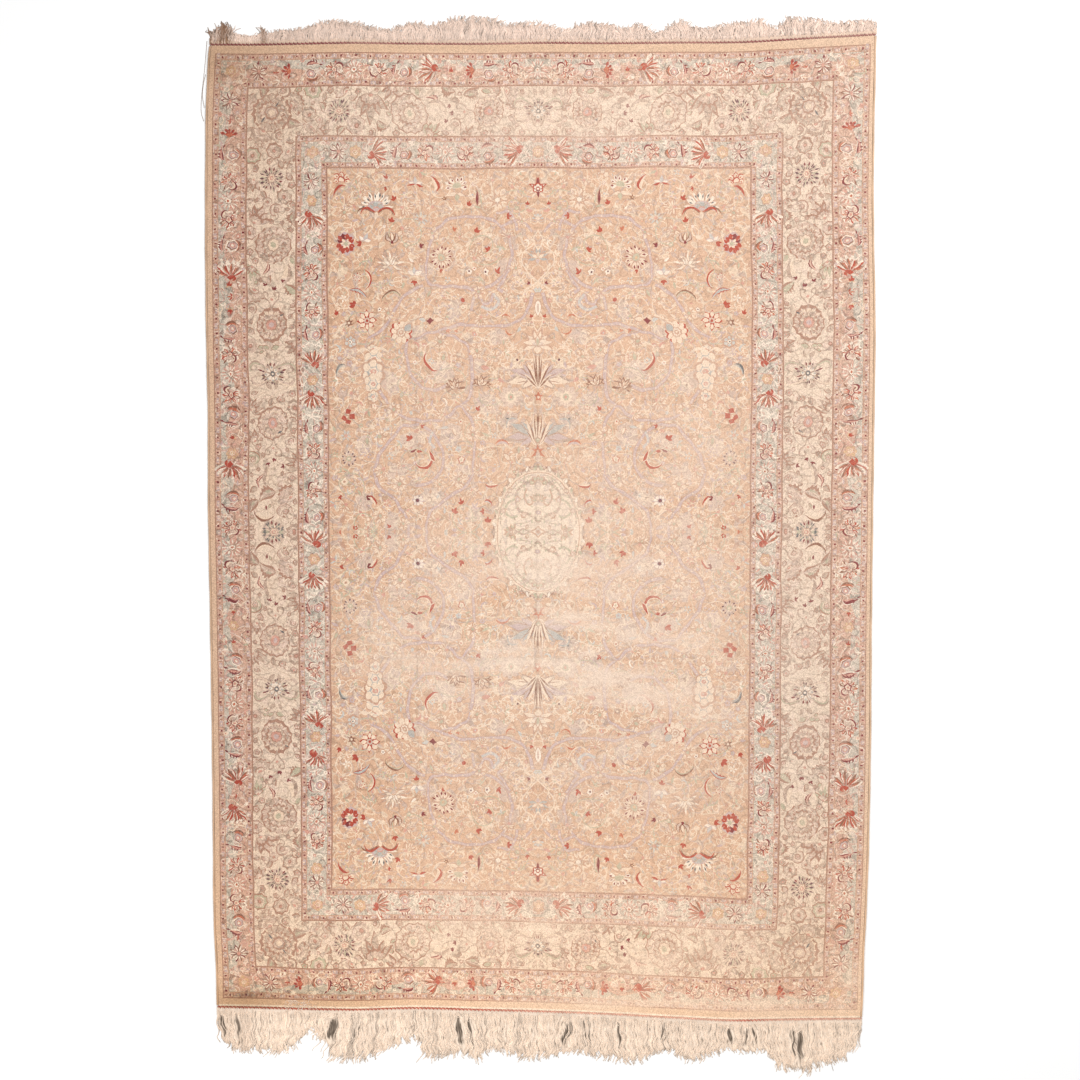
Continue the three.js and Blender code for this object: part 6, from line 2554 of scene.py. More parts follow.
@dataclass
class Fringe:
    """The flat-woven strip beyond an end cord and the loose warps that leave it."""

    end: int
    skirt: float
    warps: int
    stations: int
    radius: float
    wave: float
    wave_length: float
    tips: tuple
    partings: tuple
    tufts: tuple
    frizz: float
    gather: float
    threads: tuple
    seed: int
    columns: int
    rows: int
    ragged: float
    # How bright the matted fibres are: a level of painted shade between the warps.
    shaded: float

    def root(self) -> float:
        """How far beyond the end cord's middle the strip ends."""
        return 4.8 + self.skirt

    def strip(self) -> tuple:
        """The flat-woven strip: two rows of points above and below along both edges, slightly rippled."""
        first, last = OUTLINE.corner(-1, self.end), OUTLINE.corner(1, self.end)
        x = np.linspace(first, last, 520)
        line = OUTLINE.end(self.end, x)
        rows = []
        for share, z in ((0.0, 0.0), (1.0, 0.0), (1.0, 1.9), (0.66, 2.3), (0.33, 2.4), (0.0, 2.3)):
            ragged = (
                1.0 * np.sin(x / 7.0) + 1.8 * noise_like(x, 0 * x, 60.0, 8) + noise_like(x, 0 * x, 17.0, 10)
            ) * share
            ripple = (
                0.25 * np.sin(x / 4.0) + 0.35 * noise_like(x, 0 * x, 21.0, 12) if z > 0 else 0.0
            ) + 0 * x
            away = 4.8 + self.skirt * share + ragged if share else 0.6 + 0 * x
            rows.append(np.column_stack((x, line + self.end * away, z + ripple)))
        grid = np.stack(rows, 1)
        points = grid.reshape(-1, 3)
        faces = tube_faces(1, len(x), grid.shape[1])
        return points, outward(points, faces)

    def fibre_and_shadow_mat(self) -> tuple:
        """The matted fibres between the warps: a thin slab with a ragged rim, nearly as long as the warps.

        Each column of points is as long as the tips' table says there, times two noises. It leans
        and snakes as the warps do. Its colour is painted shade of the warps: dimmed by the shaded level,
        darker along narrow streaks where a noise drawn out along the warps is high, and in the middle of each
        parting.

        Returns:
            The points, the faces and the shade of each point.
        """
        x = np.linspace(OUTLINE.corner(-1, self.end) + 4, OUTLINE.corner(1, self.end) - 4, self.columns)
        table = np.array(self.tips, float)
        near = x - OUTLINE.shift_x
        ragged = noise_like(x, 0 * x, 17.0, 41) + 0.8 * noise_like(x, 0 * x, 6.0, 42)
        ragged = 0.97 - self.ragged + self.ragged * ragged
        length = np.maximum((np.interp(near, table[:, 0], table[:, 1]) - self.root()) * ragged, 5.0)[:, None]
        lean = np.interp(near, table[:, 0], table[:, 2])[:, None]
        share = np.append(np.linspace(0, 1, self.rows), (1.0, 0.0))[None, :]
        under = np.append(np.zeros(self.rows), (1.0, 1.0))[None, :]
        turn = 2 * np.pi * share * length / self.wave_length + x[:, None] / 40.0
        px = x[:, None] + lean * share**2 + 0.5 * self.wave * share**0.6 * np.sin(turn)
        along = share * (length + 0.5 * self.skirt) - 0.5 * self.skirt
        py = OUTLINE.end(self.end, x)[:, None] + self.end * (self.root() + along)
        top = 0.5 + 1.1 * (1 - share) + 0.25 * noise_like(px, py, 9.0, 43)
        points = np.stack((px, py, np.where(under > 0, 0.05, top)), -1).reshape(-1, 3)
        fine = noise_like(px, 0.16 * py, 5.5, 44) + 0.5 * noise_like(px, 0.3 * py, 3.1, 45)
        # Painted shadow between the warps: dark streaks where a long noise is high.
        shadow_slits = np.clip((noise_like(px, 0.22 * py, 8.5, 46) - 0.5) * 4.0, 0, 1)
        shade = self.shaded + 0.14 * fine - 0.6 * shadow_slits
        # Painted shadow in the middle of each parting.
        for at, radius, _, slant in self.partings:
            off = np.abs(near[:, None] - at - slant * (share - 0.4)) / (radius * 0.6)
            window = 1.3 * np.sin(np.pi * np.clip((share - 0.04) / 0.78, 0, 1)) ** 0.7
            edge = window - off + 0.3 * noise_like(px, 0.5 * py, 7.0, 47)
            shade = shade - 0.74 * np.clip(edge * 4.0, 0, 1)
        faces = tube_faces(1, self.columns, self.rows + 2)
        return points, outward(points, faces), np.clip(shade, 0.1, 1.1).ravel()

    def strands(self) -> tuple:
        """The loose warps as three-sided tubes.

        A warp starts inside the strip. It snakes with a sine, leans and parts as the table says,
        gathers towards the middle of its bundle, and frays sideways by a random walk.

        Returns:
            The points, the faces and each point's place along its warp.
        """
        draw = np.random.default_rng(self.seed)
        first, last = OUTLINE.corner(-1, self.end) + 3, OUTLINE.corner(1, self.end) - 3
        x = np.linspace(first, last, self.warps) + draw.uniform(-0.8, 0.8, self.warps)
        table = np.array(self.tips, float)
        near = x - OUTLINE.shift_x
        reach = np.interp(near, table[:, 0], table[:, 1]) * draw.uniform(0.88, 1.06, self.warps)
        lean = np.interp(near, table[:, 0], table[:, 2])
        length = np.maximum(reach - self.root(), 7.0)
        lean = lean + 0.13 * length * draw.normal(0, 1, self.warps) * (draw.random(self.warps) < 0.35)
        for at, radius, _, slant in self.partings:
            missing = (np.abs(near - at - 0.1 * slant) < 0.6 * radius) & (draw.random(self.warps) < 0.82)
            length = np.where(missing, length * draw.uniform(0.04, 0.16, self.warps), length)
            lean = lean + 0.5 * slant * np.exp(-(((near - at) / (2.5 * radius)) ** 2))
        share = np.linspace(0, 1, self.stations)[None, :]
        bundle = np.floor(np.cumsum(draw.random(self.warps) < 0.2))
        middle = np.array([x[bundle == b].mean() for b in np.unique(bundle)])[
            np.unique(bundle, return_inverse=True)[1].reshape(-1)
        ]
        turn = 2 * np.pi * share * length[:, None] / self.wave_length + middle[:, None] / 40.0
        turn = turn + draw.uniform(-0.7, 0.7, (self.warps, 1))
        sideways = self.wave * share**0.6 * np.sin(turn) + lean[:, None] * share**2
        sideways = sideways + (middle - x)[:, None] * self.gather * np.sin(
            np.pi * np.clip(share * 1.1, 0, 1)
        ) ** 0.8
        for at, radius, opening, _ in self.partings:
            off = (near - at) / radius
            sideways = sideways + (opening * off * np.exp(-off * off / 2))[:, None] * np.sin(np.pi * share)
        walk = np.cumsum(draw.normal(0, self.frizz, (self.warps, self.stations)), axis=1)
        sideways = sideways + (walk - walk[:, :1]) * share
        start = -draw.uniform(0.15, 0.85, (self.warps, 1)) * self.skirt
        along = start + share * (length[:, None] - start)
        along = along + self.frizz * 0.8 * np.sin(turn * 2.3) * share
        layer = draw.random((self.warps, 1))
        lift = 0.7 + 1.5 * layer + 0.5 * np.sin(turn * 1.7 + x[:, None])
        lift = lift * (1 - 0.35 * share) + (
            2.7 - lift * (1 - 0.35 * share)
        ) / (1 + np.exp((along - 2.0) / 3.0))
        px = x[:, None] + sideways
        line = OUTLINE.end(self.end, x)[:, None]
        py = line + self.end * (self.root() + along)
        centres = np.stack((px, py, np.clip(lift, 0.6, 3.0)), -1)
        thin = self.radius * (1 - 0.3 * share**4) * draw.uniform(0.75, 1.25, (self.warps, 1))
        points, faces = lying_tubes(centres, thin[..., None], thin[..., None] * 0.8)
        points[:, 2] = np.maximum(points[:, 2], 0.05)
        lots = draw.normal(1.01, 0.07, self.warps)
        # About one warp in six is made darker: painted shade of warps lying in the others' shadow.
        lots = lots - np.where(draw.random(self.warps) < 0.16, draw.uniform(0.15, 0.5, self.warps), 0)
        shade = np.repeat(lots, self.stations * 3)
        places = np.tile(np.repeat(np.linspace(0, 1, self.stations), 3), self.warps)
        faces = outward(points, faces)
        # Loose threads are drawn at half the warps' brightness: along the upper left edge this is also
        # painted shadow beside the rug.
        curls = [(tuple(path), 0.8, 0.5) for path in self.threads]
        if self.end < 0:
            for _ in range(26):
                spot = np.array([draw.uniform(-785, -705), draw.uniform(-1412, -1388)])
                way = draw.uniform(0, 2 * np.pi) + np.cumsum(draw.uniform(0.3, 1.5, 5))
                steps = np.column_stack((np.cos(way), 0.8 * np.sin(way))) * draw.uniform(5, 9)
                curls.append(
                    (tuple(map(tuple, spot + np.cumsum(steps, axis=0))), draw.uniform(4.9, 5.8), 0.98)
                )
        for path, height, tone in curls:
            more, sides = self.thread(path, height)
            faces = np.vstack((faces, sides + len(points)))
            points = np.vstack((points, more))
            places = np.concatenate((places, np.ones(len(more))))
            shade = np.concatenate((shade, np.full(len(more), tone)))
        return points, faces, places, shade

    @staticmethod
    def thread(stations: tuple, height: float) -> tuple:
        """One loose thread that lies at a height along a smooth path through its stations, in millimetres."""
        path = through(stations, 7.0 if height < 1 else 3.0)
        centres = np.column_stack((path, np.full(len(path), height)))[None]
        points, faces = lying_tubes(centres, 0.75, 0.6)
        return points, outward(points, faces)

    def build(self) -> list:
        """Makes the strip, the matted fibres and the warps as three pieces.

        Returns:
            The strip, the matted fibres and the warps.
        """
        word = "upper" if self.end > 0 else "lower"
        points, faces = self.strip()
        strip = MeshMaker(f"woven_strip_{word}", points, faces, False).build()
        base = AGE.level * np.array(linear((231, 203, 181) if self.end > 0 else (245, 223, 202)))
        x, y = points[:, 0], points[:, 1]
        shade = 1 + 0.06 * noise_like(x, y, 70.0, 9) + 0.05 * noise_like(x, 0 * y, 19.0, 13)
        MeshMaker.colour(strip, "yarn", "POINT", base * shade[:, None] * self.dirt(x, y))
        base = np.array(linear((241, 218, 203) if self.end > 0 else (250, 228, 207)))
        # The matted fibres' colour is painted shade under and between the warps.
        points, faces, shade = self.fibre_and_shadow_mat()
        fibre_and_shadow_mat = MeshMaker(f"fibre_mat_painted_shadow_{word}", points, faces).build()
        warm = np.column_stack((shade, shade**1.05, shade**1.1))
        MeshMaker.colour(fibre_and_shadow_mat, "yarn", "POINT", base * warm * self.dirt(points[:, 0], points[:, 1]))
        points, faces, share, shade = self.strands()
        warps = MeshMaker(f"warps_{word}", points, faces).build()
        x = points[:, 0]
        shade = shade * (1 - 0.06 * (1 - share)) * (1 + 0.08 * noise_like(x, points[:, 1], 45.0, 7))
        MeshMaker.colour(warps, "yarn", "POINT", base * shade[:, None] * self.dirt(x, points[:, 1]))
        return [strip, fibre_and_shadow_mat, warps]

    def dirt(self, x: np.ndarray, y: np.ndarray) -> np.ndarray:
        """A factor for red, green and blue that browns the warps at the soiled tufts, in specks."""
        total = np.zeros_like(x)
        for at, wide, strength in self.tufts:
            total += strength * np.exp(-(((x - at) / wide) ** 2))
        total = np.clip(total * (1 + 0.7 * noise_like(x, y, 8.0, 48)), 0, 0.85)
        return np.column_stack((1 - total * 0.8, 1 - total * 0.92, 1 - total))


# Where along the fringes, how far beyond the end cord's middle and with what lean the warps end, in mm.
UPPER_TIPS = (
    (-1008, 44, -6), (-995, 50, -4), (-984, 40, 0), (-972, 58, -4), (-955, 66, 0), (-938, 60, 6),
    (-924, 34, 4), (-870, 27, 2), (-850, 34, 0), (-838, 58, 0), (-827, 38, 4), (-780, 44, 4), (-740, 43, -6),
    (-645, 71, 10), (-560, 62, 4), (-470, 42, -6), (-375, 68, 8), (-335, 57, -4), (-240, 84, 6),
    (-150, 80, 8), (-100, 60, -8), (-15, 66, 4), (75, 39, -4), (120, 62, 8), (215, 60, 0), (256, 46, -6),
    (300, 62, 6), (347, 30, 4), (437, 70, -8), (482, 41, 4), (570, 58, -4), (663, 70, 8), (709, 32, 0),
    (755, 70, -6), (845, 56, 6), (889, 42, -4), (980, 48, -4), (1015, 44, -8),
)
LOWER_TIPS = (
    (-1000, 112, 14), (-940, 146, 0), (-850, 138, -8), (-800, 150, -10), (-755, 122, -4), (-715, 62, 4),
    (-670, 98, 0), (-625, 164, -20), (-520, 162, -24), (-430, 120, -10), (-388, 92, 2), (-345, 169, -4),
    (-250, 146, 6), (-205, 171, 8), (-158, 125, 0), (-20, 157, -12), (120, 130, -4), (265, 150, 6),
    (315, 149, 2), (360, 116, -6), (405, 111, 0), (475, 141, -6), (590, 95, -12), (640, 108, 0),
    (685, 99, 12), (735, 156, 14), (825, 178, 4), (875, 146, -4), (960, 130, -10), (1000, 80, -16),
)
# Where the lower warps part: the place, the half-width, how far they are pushed aside, and the slant.
PARTINGS = (
    (-985, 11, 10, 8), (-936, 8, 8, 12), (-640, 22, 16, -26), (-570, 4, 3, -14), (-556, 4, 3, -14),
    (-252, 12, 12, 10), (-218, 7, 8, 16), (88, 18, 14, -34), (140, 5, 6, 20), (152, 4, 4, 14), (244, 7, 6, 8),
    (380, 4, 4, -6), (590, 9, 8, 14), (640, 5, 4, -14), (664, 6, 6, 22), (785, 9, 8, 4), (806, 12, 10, -12),
)
# Soiled tufts: the place, the half-width and the strength.
UPPER_TUFTS = (
    (-954, 19, 0.62), (-1001, 10, 0.6), (-975, 50, 0.22), (-836, 9, 0.5), (-790, 60, 0.12),
    (-640, 300, 0.06),
)
LOWER_TUFTS = ((-1000, 60, 0.16), (-920, 20, 0.1))
# Long loose threads, by places along them. The upper ones hug the left edge, and drawn dark, they also paint
# the shadow beside it.
UPPER_THREADS = (
    (
        (-1007, 1550), (-1010, 1515), (-1014, 1475), (-1018, 1440), (-1023, 1400), (-1026, 1365),
        (-1026, 1335), (-1019, 1310),
    ),
    ((-1012, 1450), (-1019, 1420), (-1022, 1385), (-1017, 1350)),
)
LOWER_THREADS = (
    ((905, -1530), (914, -1560), (904, -1584), (909, -1608)),
    ((816, -1560), (822, -1588), (812, -1604)),
)


@dataclass(frozen=True)
class Groups:
    """The shader node groups that more than one finish uses."""

    knots: bpy.types.NodeTree
    nap: bpy.types.NodeTree
    figures: bpy.types.NodeTree
    fold: bpy.types.NodeTree

    @classmethod
    def make(cls) -> "Groups":
        """Builds the groups.

        Returns:
            The groups.
        """
        return cls(cls.knot_group(), cls.nap_group(), cls.figure_group(), cls.fold_shade_group())

    @staticmethod
    def begin(name: str, inputs: tuple, outputs: tuple) -> tuple:
        """Starts a group.

        Args:
            name: Its name.
            inputs: Each input's name and number, or None for a colour.
            outputs: Each output's name. One called Color is a colour, any other is a number.

        Returns:
            The group's tree, the sockets of its input and the sockets of its output.
        """
        tree = bpy.data.node_groups.new(name, "ShaderNodeTree")
        for label, value in inputs:
            kind = "NodeSocketColor" if value is None else "NodeSocketFloat"
            made = tree.interface.new_socket(name=label, in_out="INPUT", socket_type=kind)
            if value is not None:
                made.default_value = value
        for label in outputs:
            kind = "NodeSocketColor" if label == "Color" else "NodeSocketFloat"
            tree.interface.new_socket(name=label, in_out="OUTPUT", socket_type=kind)
        put_in, put_out = tree.nodes.new("NodeGroupInput"), tree.nodes.new("NodeGroupOutput")
        return tree, put_in.outputs, put_out.inputs

    @staticmethod
    def add(
        tree: bpy.types.NodeTree, kind: str, inputs: dict | None = None, **settings: object
    ) -> bpy.types.Node:
        """Adds a node.

        Args:
            tree: Where it goes.
            kind: Its kind, as Blender names it after the word ShaderNode.
            inputs: What each input is set to, or the socket that feeds it.
            settings: The node's own settings.

        Returns:
            The node.
        """
        made = tree.nodes.new(f"ShaderNode{kind}")
        for name, value in settings.items():
            setattr(made, name, value)
        for name, value in (inputs or {}).items():
            if isinstance(value, bpy.types.NodeSocket):
                tree.links.new(value, made.inputs[name])
            else:
                made.inputs[name].default_value = value
        return made

    @classmethod
    def calc(
        cls, tree: bpy.types.NodeTree, operation: str, *values: object, clamp: bool = False
    ) -> bpy.types.NodeSocket:
        """A sum of the named kind on sockets and plain numbers, in order."""
        node = cls.add(tree, "Math", dict(enumerate(values)), operation=operation, use_clamp=clamp)
        return node.outputs[0]

    @classmethod
    def times(cls, tree: bpy.types.NodeTree, one: object, other: object) -> bpy.types.NodeSocket:
        """The product of two values."""
        return cls.calc(tree, "MULTIPLY", one, other)

    @classmethod
    def plus(cls, tree: bpy.types.NodeTree, one: object, other: object) -> bpy.types.NodeSocket:
        """The sum of two values."""
        return cls.calc(tree, "ADD", one, other)

    @classmethod
    def less(cls, tree: bpy.types.NodeTree, one: object, other: object) -> bpy.types.NodeSocket:
        """The first value less the second."""
        return cls.calc(tree, "SUBTRACT", one, other)

    @classmethod
    def centred(
        cls, tree: bpy.types.NodeTree, value: bpy.types.NodeSocket, gain: bpy.types.NodeSocket
    ) -> bpy.types.NodeSocket:
        """A value less a half, times a gain."""
        return cls.times(tree, cls.less(tree, value, 0.5), gain)

    @classmethod
    def ranged(
        cls, tree: bpy.types.NodeTree, value: bpy.types.NodeSocket, low: float, high: float,
        first: object, last: object
    ) -> bpy.types.NodeSocket:
        """A value moved from one range into another."""
        ends = {"From Min": low, "From Max": high, "To Min": first, "To Max": last}
        return cls.add(tree, "MapRange", {"Value": value, **ends}).outputs["Result"]

    @classmethod
    def contour(
        cls, tree: bpy.types.NodeTree, value: bpy.types.NodeSocket, rate: float
    ) -> bpy.types.NodeSocket:
        """A thin line wherever the value times the rate is whole: 1 on it, falling to 0 beside it."""
        off = cls.calc(tree, "PINGPONG", cls.times(tree, value, rate), 0.5)
        return cls.ranged(tree, off, 0.04, 0.12, 1.0, 0.0)

    @classmethod
    def mixed(
        cls, tree: bpy.types.NodeTree, share: object, one: object, other: object, blend: str = "MIX"
    ) -> bpy.types.NodeSocket:
        """The first colour mixed by a share with the second."""
        inputs = {"Factor": share, "A": one, "B": other}
        return cls.add(tree, "Mix", inputs, data_type="RGBA", blend_type=blend).outputs["Result"]

    @classmethod
    def knot_group(cls) -> bpy.types.NodeTree:
        """Rows of knots: a cell for each knot, coarser noise and noise drawn out along the rows.

        Their sum is the shade, and the distance from a cell's middle is the height.

        Returns:
            The group.
        """
        tree, given, out = cls.begin(
            "knot rows", (("Rows per Metre", 500.0), ("Speckle", 0.08), ("Streak", 0.05)),
            ("Shade", "Height")
        )
        place = cls.add(tree, "TexCoord").outputs["Object"]
        scale = cls.add(
            tree, "VectorMath", {0: place, "Scale": given["Rows per Metre"]}, operation="SCALE"
        ).outputs["Vector"]
        cells = cls.add(
            tree, "TexVoronoi", {"Vector": scale, "Scale": 1.0, "Randomness": 0.55},
            voronoi_dimensions="2D"
        )
        split = cls.add(tree, "SeparateColor", {"Color": cells.outputs["Color"]})
        coarse = cls.add(tree, "TexNoise", {"Vector": scale, "Scale": 0.42, "Detail": 3.0})
        stretch = cls.add(tree, "Mapping", {"Vector": scale, "Scale": (0.006, 0.42, 0.0)})
        rows = cls.add(
            tree, "TexNoise", {"Vector": stretch.outputs["Vector"], "Scale": 1.0, "Detail": 2.0}
        )
        first = cls.centred(tree, split.outputs["Red"], given["Speckle"])
        second = cls.centred(tree, coarse.outputs["Fac"], given["Speckle"])
        third = cls.centred(tree, rows.outputs["Fac"], given["Streak"])
        total = cls.plus(tree, cls.plus(tree, first, second), third)
        tree.links.new(cls.plus(tree, total, 1.0), out["Shade"])
        tree.links.new(cells.outputs["Distance"], out["Height"])
        return tree

    @classmethod
    def nap_group(cls) -> bpy.types.NodeTree:
        """The lie of the nap: slow patches from a smoother to a duller roughness, and low patches that set
        how much the pile pales, partly as painted sheen.

        Returns:
            The group.
        """
        tree, given, out = cls.begin(
            "silk nap", (("Smooth", 0.5), ("Dull", 0.8), ("Patches per Metre", 6.0)),
            ("Roughness", "Paling")
        )
        place = cls.add(tree, "TexCoord").outputs["Object"]
        noise = cls.add(tree, "TexNoise", {
            "Vector": place, "Scale": given["Patches per Metre"], "Detail": 4.0, "Roughness": 0.62,
        })
        spread = cls.ranged(tree, noise.outputs["Fac"], 0.3, 0.7, given["Smooth"], given["Dull"])
        stretch = cls.add(tree, "Mapping", {"Vector": place, "Scale": (2.4, 10.0, 1.0)})
        paling = cls.add(tree, "TexNoise", {
            "Vector": stretch.outputs["Vector"], "Scale": 1.0, "Detail": 6.0, "Roughness": 0.62,
        })
        tree.links.new(spread, out["Roughness"])
        tree.links.new(paling.outputs["Fac"], out["Paling"])
        return tree

    @classmethod
    def fold_shade_group(cls) -> bpy.types.NodeTree:
        """The painted shade of one fold: a bell across a line, which noise bends and breaks up, fading at
        both ends.

        Returns:
            The group.
        """
        names = ("Noise", "Place", "Width", "From", "To", "Upright")
        tree, given, out = cls.begin("painted fold shade", tuple((name, 0.5) for name in names), ("Mask",))
        place = cls.add(tree, "TexCoord")
        apart = cls.add(tree, "SeparateXYZ", {0: place.outputs["Object"]})
        x, y = apart.outputs["X"], apart.outputs["Y"]
        across = cls.calc(tree, "MULTIPLY_ADD", given["Upright"], cls.less(tree, x, y), y)
        along = cls.calc(tree, "MULTIPLY_ADD", given["Upright"], cls.less(tree, y, x), x)
        wander = cls.ranged(tree, given["Noise"], 0.0, 1.0, -0.012, 0.012)
        off = cls.less(tree, cls.plus(tree, across, wander), given["Place"])
        off = cls.calc(tree, "DIVIDE", off, given["Width"])
        bell = cls.calc(tree, "EXPONENT", cls.times(tree, cls.times(tree, off, off), -1.0))
        first = cls.calc(tree, "MULTIPLY", cls.less(tree, along, given["From"]), 6.0, clamp=True)
        last = cls.calc(tree, "MULTIPLY", cls.less(tree, given["To"], along), 6.0, clamp=True)
        broken = cls.ranged(tree, given["Noise"], 0.38, 0.6, 0.25, 1.0)
        mask = cls.times(tree, cls.times(tree, bell, broken), cls.times(tree, first, last))
        tree.links.new(mask, out["Mask"])
        return tree

    @classmethod
    def figure_group(cls) -> bpy.types.NodeTree:
        """The figures too small to draw: curling stems, and curled cells with a dark outline and a dot.

        They are read at the distance from the medallion's middle, so they mirror as the chart does.
        A stem runs where one channel of a slow noise, times its rate, is near a whole number.

        Returns:
            The group.
        """
        tree, given, out = cls.begin(
            "small figures",
            (
                ("Color", None), ("Stem Color", None), ("Second Color", None), ("Amount", 1.0),
                ("Cells per Metre", 150.0), ("Outline", 0.2), ("Dot", 0.3), ("Stem", 0.4),
            ),
            ("Color",)
        )
        place = cls.add(tree, "TexCoord")
        middle = cls.add(tree, "Mapping", {
            "Vector": place.outputs["Object"],
            "Location": (-OUTLINE.middle_x * MM, -OUTLINE.middle_y * MM, 0.0),
        })
        mirrored = cls.add(
            tree, "VectorMath", {0: middle.outputs["Vector"]}, operation="ABSOLUTE"
        ).outputs["Vector"]
        bend = cls.add(tree, "TexNoise", {"Vector": mirrored, "Scale": 70.0, "Detail": 1.0})
        bent = cls.add(
            tree, "VectorMath", {0: bend.outputs["Color"], 1: (0.016, 0.016, 0.0), 2: mirrored},
            operation="MULTIPLY_ADD"
        )
        slow = cls.add(tree, "TexNoise", {"Vector": mirrored, "Scale": 17.0, "Detail": 1.0})
        waves = cls.add(tree, "SeparateColor", {"Color": slow.outputs["Color"]})
        amount, outline = given["Amount"], given["Outline"]
        stem = cls.times(tree, given["Stem"], amount)
        first, second, brown = (
            cls.times(tree, cls.contour(tree, waves.outputs[channel], rate), stem)
            for channel, rate in (("Red", 5.5), ("Green", 5.0), ("Blue", 5.5))
        )
        cells, rims = tree.nodes.new("ShaderNodeTexVoronoi"), tree.nodes.new("ShaderNodeTexVoronoi")
        rims.feature = "DISTANCE_TO_EDGE"
        for node in (cells, rims):
            node.voronoi_dimensions = "2D"
            node.inputs["Randomness"].default_value = 0.85
            tree.links.new(bent.outputs["Vector"], node.inputs["Vector"])
            tree.links.new(given["Cells per Metre"], node.inputs["Scale"])
        lots = cls.add(tree, "SeparateColor", {"Color": cells.outputs["Color"]})
        rim = cls.ranged(tree, rims.outputs["Distance"], 0.02, 0.15, 1.0, 0.0)
        dark = cls.times(tree, cls.times(tree, rim, lots.outputs["Blue"]), outline)
        dark = cls.plus(tree, cls.times(tree, dark, amount), cls.times(tree, brown, outline))
        shade = cls.ranged(tree, dark, 0.0, 1.0, 1.0, 0.0)
        dot = cls.ranged(tree, cells.outputs["Distance"], 0.16, 0.34, 1.0, 0.0)
        share = cls.times(tree, cls.times(tree, dot, given["Dot"]), lots.outputs["Red"])
        share = cls.times(tree, share, amount)
        ramp = cls.add(tree, "ValToRGB", {"Fac": lots.outputs["Green"]})
        ramp.color_ramp.interpolation = "CONSTANT"
        tints = (
            (0.0, Yarn.CREAM), (0.3, Yarn.BROWN), (0.46, Yarn.SAGE), (0.58, Yarn.IVORY),
            (0.7, Yarn.LAVENDER), (0.8, Yarn.TAUPE), (0.93, Yarn.BRICK),
        )
        while len(ramp.color_ramp.elements) < len(tints):
            ramp.color_ramp.elements.new(0.5)
        for element, (at, yarn) in zip(ramp.color_ramp.elements, tints):
            element.position = at
            element.color = (*linear(yarn.value), 1.0)
        colour = cls.mixed(tree, second, given["Color"], given["Second Color"])
        colour = cls.mixed(tree, first, colour, given["Stem Color"])
        colour = cls.mixed(tree, share, colour, ramp.outputs["Color"])
        shaded = cls.add(tree, "VectorMath", {0: colour, "Scale": shade}, operation="SCALE")
        tree.links.new(shaded.outputs["Vector"], out["Color"])
        return tree


